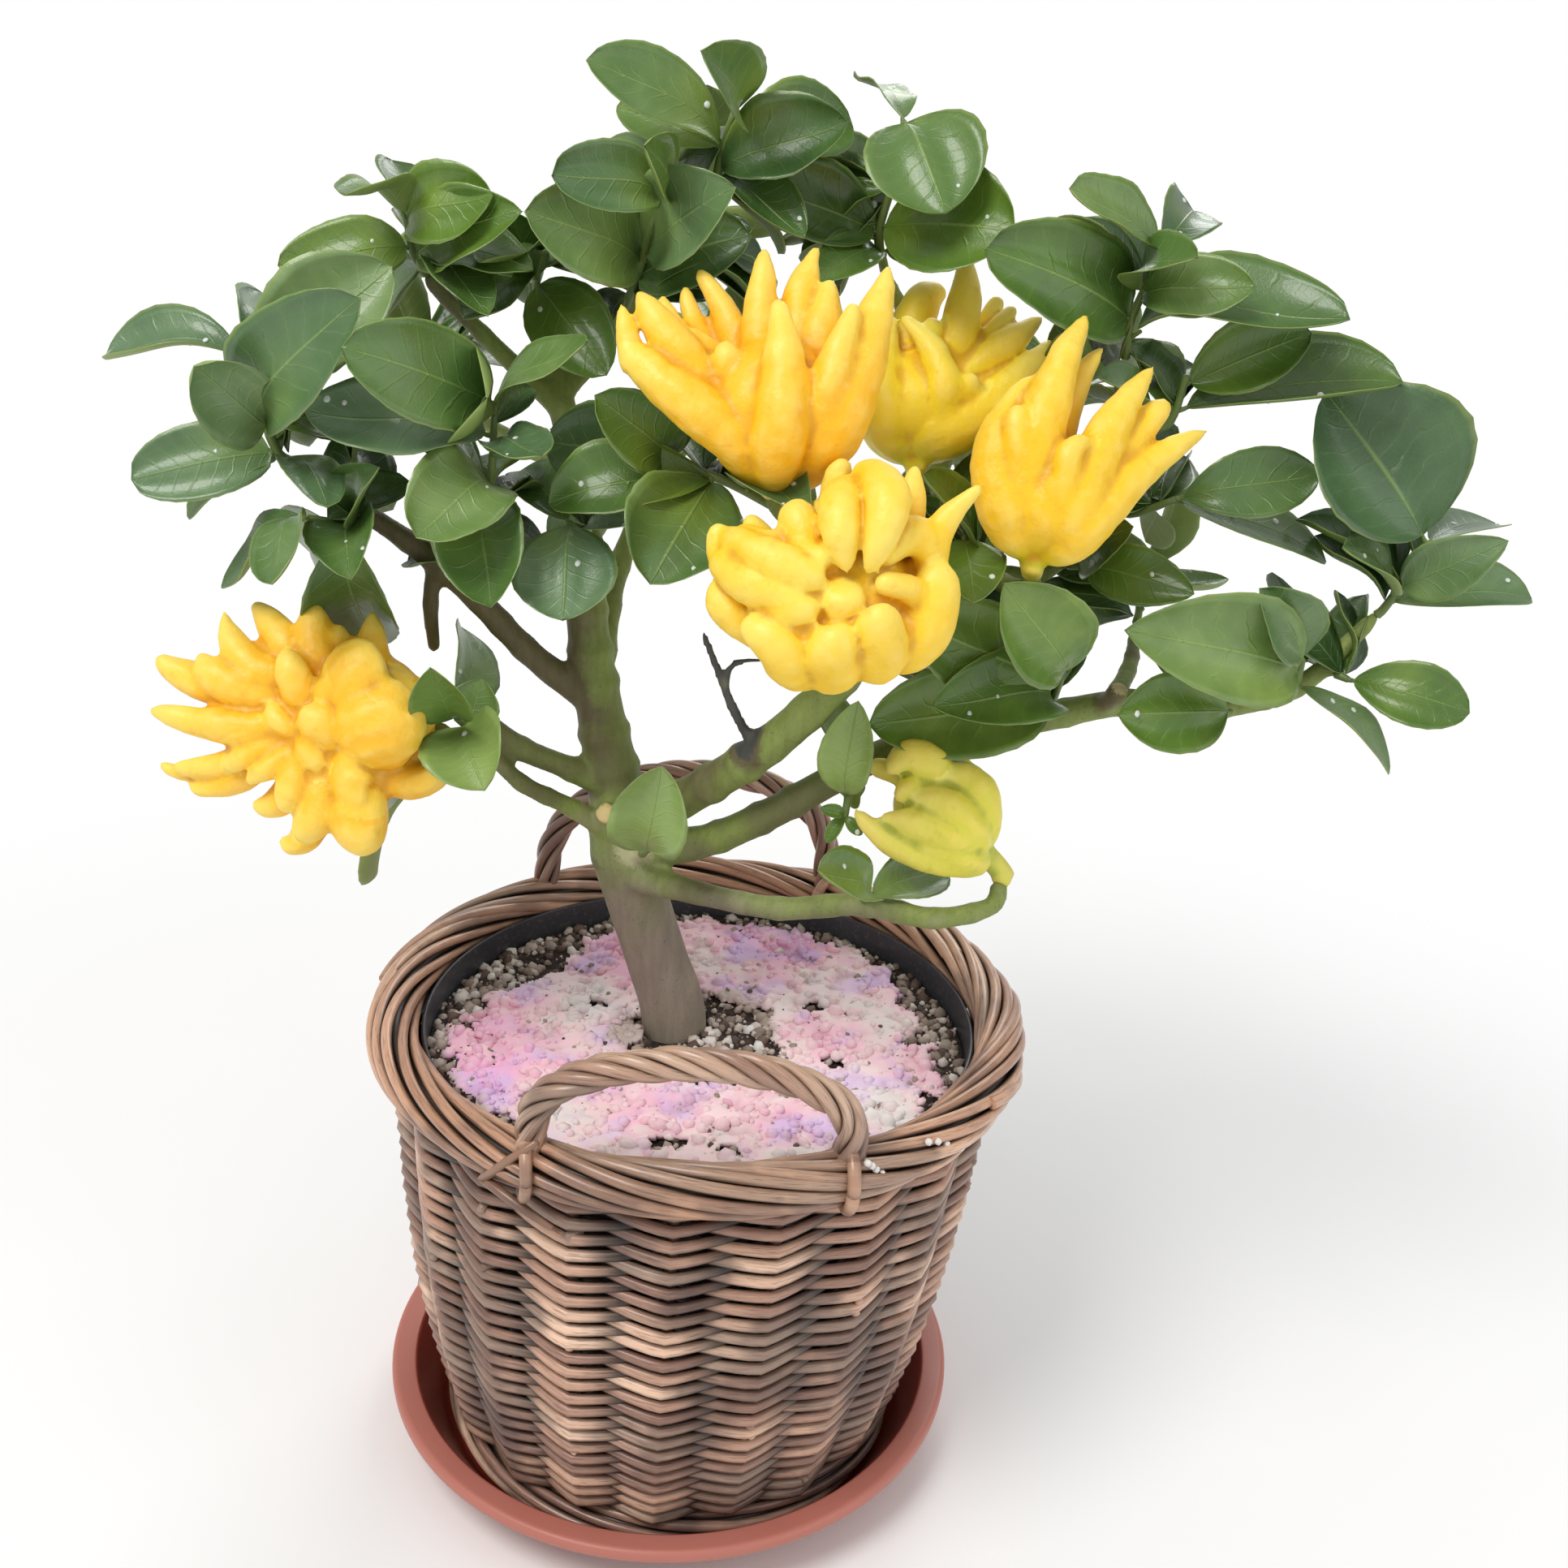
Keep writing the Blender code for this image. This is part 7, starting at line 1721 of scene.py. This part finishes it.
def dewTree(skin):  # a flattened drop on every point
    graph, given = newTree("dew_drops", dew)
    bead = graph.node("GeometryNodeMeshIcoSphere", None, {"Radius": 1.0, "Subdivisions": 2})
    turn = graph.node("FunctionNodeAlignRotationToVector", {"axis": "Z"},
                      {"Vector": graph.kept("facing", "FLOAT_VECTOR")})
    size = graph.chance(given["Seed"], Min=given["Smallest"], Max=given["Largest"])
    drops = graph.node("GeometryNodeInstanceOnPoints", None, {
        "Points": given["Geometry"], "Instance": bead, "Rotation": turn,
        "Scale": graph.spot(size, size * 1.25, size * 0.55)})
    return endTree(graph, drops, skin)


def buildDew(spots):
    chosen = random.Random(dew["Seed"]).sample(spots, leaf["drops"])
    mesh = bpy.data.meshes.new("dew_spots")
    mesh.from_pydata([tuple(spot) for spot, facing in chosen], [], [])
    ways = np.array([tuple(facing) for spot, facing in chosen])
    mesh.attributes.new("facing", "FLOAT_VECTOR", "POINT").data.foreach_set("vector", ways.ravel())
    skin = waterSkin()
    made = noded(hostObject("dew", mesh), dewTree(skin), dew)
    finishPiece(addPiece("dew_drops", made, skin), "leaf")


def addSmallLeaves(name, path, blades, yellow, draw):  # the ones that no solid stands for
    for foot, end in [] if name in bareSprays else innerLeaves(path, draw):
        width = draw.uniform(*leaf["innerBreadth"]) * (end - foot).length
        facing = leafFacing(foot, end, width, width * draw.uniform(0.5, 1.0))
        verts, faces, marks = bladeMesh(foot, end, width, facing, draw, cells="fewCells")[:3]
        # painted shade: the small leaves behind keep a low, dark tone
        blades.add(verts, faces, tone=draw.uniform(*leaf["innerTone"]), warm=yellow, **marks)
    for share, tip, seen, shade in fillers.get(name, []):
        foot, end = pointAlong(path, share), Vector(tip) * mm
        width = leaf["breadth"] * (end - foot).length
        facing = leafFacing(foot, end, width, seen * mm)
        verts, faces, marks = bladeMesh(foot, end, max(width, seen * mm), facing, draw)[:3]
        blades.add(verts, faces, tone=shade, warm=yellow, **marks)


def buildSpray(name, path, leaves, draw, greenLeaf, greenStalk):  # gives the spots where dew may lie
    corners = nearestOf([vert.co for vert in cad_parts[name].data.vertices])
    blades, stalks, spots = Shape("along", "across", "under", "tone", "warm"), Shape(), []
    light, yellow = sprayTone.get(name, leaf["plainTone"])
    rows = smoothPath(path, 5)
    radii = np.linspace(*leaf["shootRadius"], len(rows))
    stalks.add(*tube(rows, knotted(rows, radii, draw), 10, crown=0.6))
    addSmallLeaves(name, path, blades, yellow, draw)
    for share, tip, seen in leaves:
        foot = pointAlong(path, share)
        end = tipInside(corners, foot, Vector(tip) * mm)
        width = max(leaf["breadth"] * (end - foot).length, (seen or 0) * mm)
        facing = leafFacing(foot, end, width, seen and seen * mm)
        calm = min(1.0, 1.2 * seen * mm / width) if seen else 1.0  # a leaf seen edge-on stays plain
        verts, faces, marks, stalkEnd = bladeMesh(foot, end, width, facing, draw, calm)
        tone = min(1.0, max(0.0, light + draw.uniform(-0.25, 0.22)))
        warm = min(1.0, max(0.0, yellow + draw.uniform(-0.3, 0.3)))
        blades.add(verts, faces, tone=tone, warm=warm, **marks)
        if seen and facing.z > 0.35:
            count, wide = leaf["cells"]
            spots += [(verts[(wide + 1) * draw.randint(5, count - 3) + draw.randint(2, wide - 2)], facing)
                      for drop in range(2)]
        middle = (foot + Vector(stalkEnd)) / 2 - facing * 0.0004
        line = smoothPath([foot, middle, stalkEnd], 3)
        stalks.add(*tube(line, np.linspace(*leaf["stalkRadius"], len(line)), 8, crown=0.4))
    finishPiece(blades.piece(name + "_blades", greenLeaf), "leaf", name)
    finishPiece(stalks.piece(name + "_shoot", greenStalk), "leaf", name)
    return spots


def buildSprays():
    finishes = leafSkin(), stalkSkin()
    drawBack = random.Random(leaf["backSeed"])
    plan = {name: (shootPath(stub, shoot)[0], leaves) for name, (stub, shoot, leaves) in sprays.items()}
    for name, (stub, shoot, count) in backSprays.items():
        path = shootPath(stub, shoot)[0]
        plan[name] = path, backLeaves(path, count, drawBack)
    spots = []
    for order, (name, (path, leaves)) in enumerate(plan.items(), 100):
        spots += buildSpray(name, path, leaves, random.Random(order), *finishes)
    buildDew(spots)


buildSprays()
print("leaves are grown")


# end of the scene

print("the scene is built")
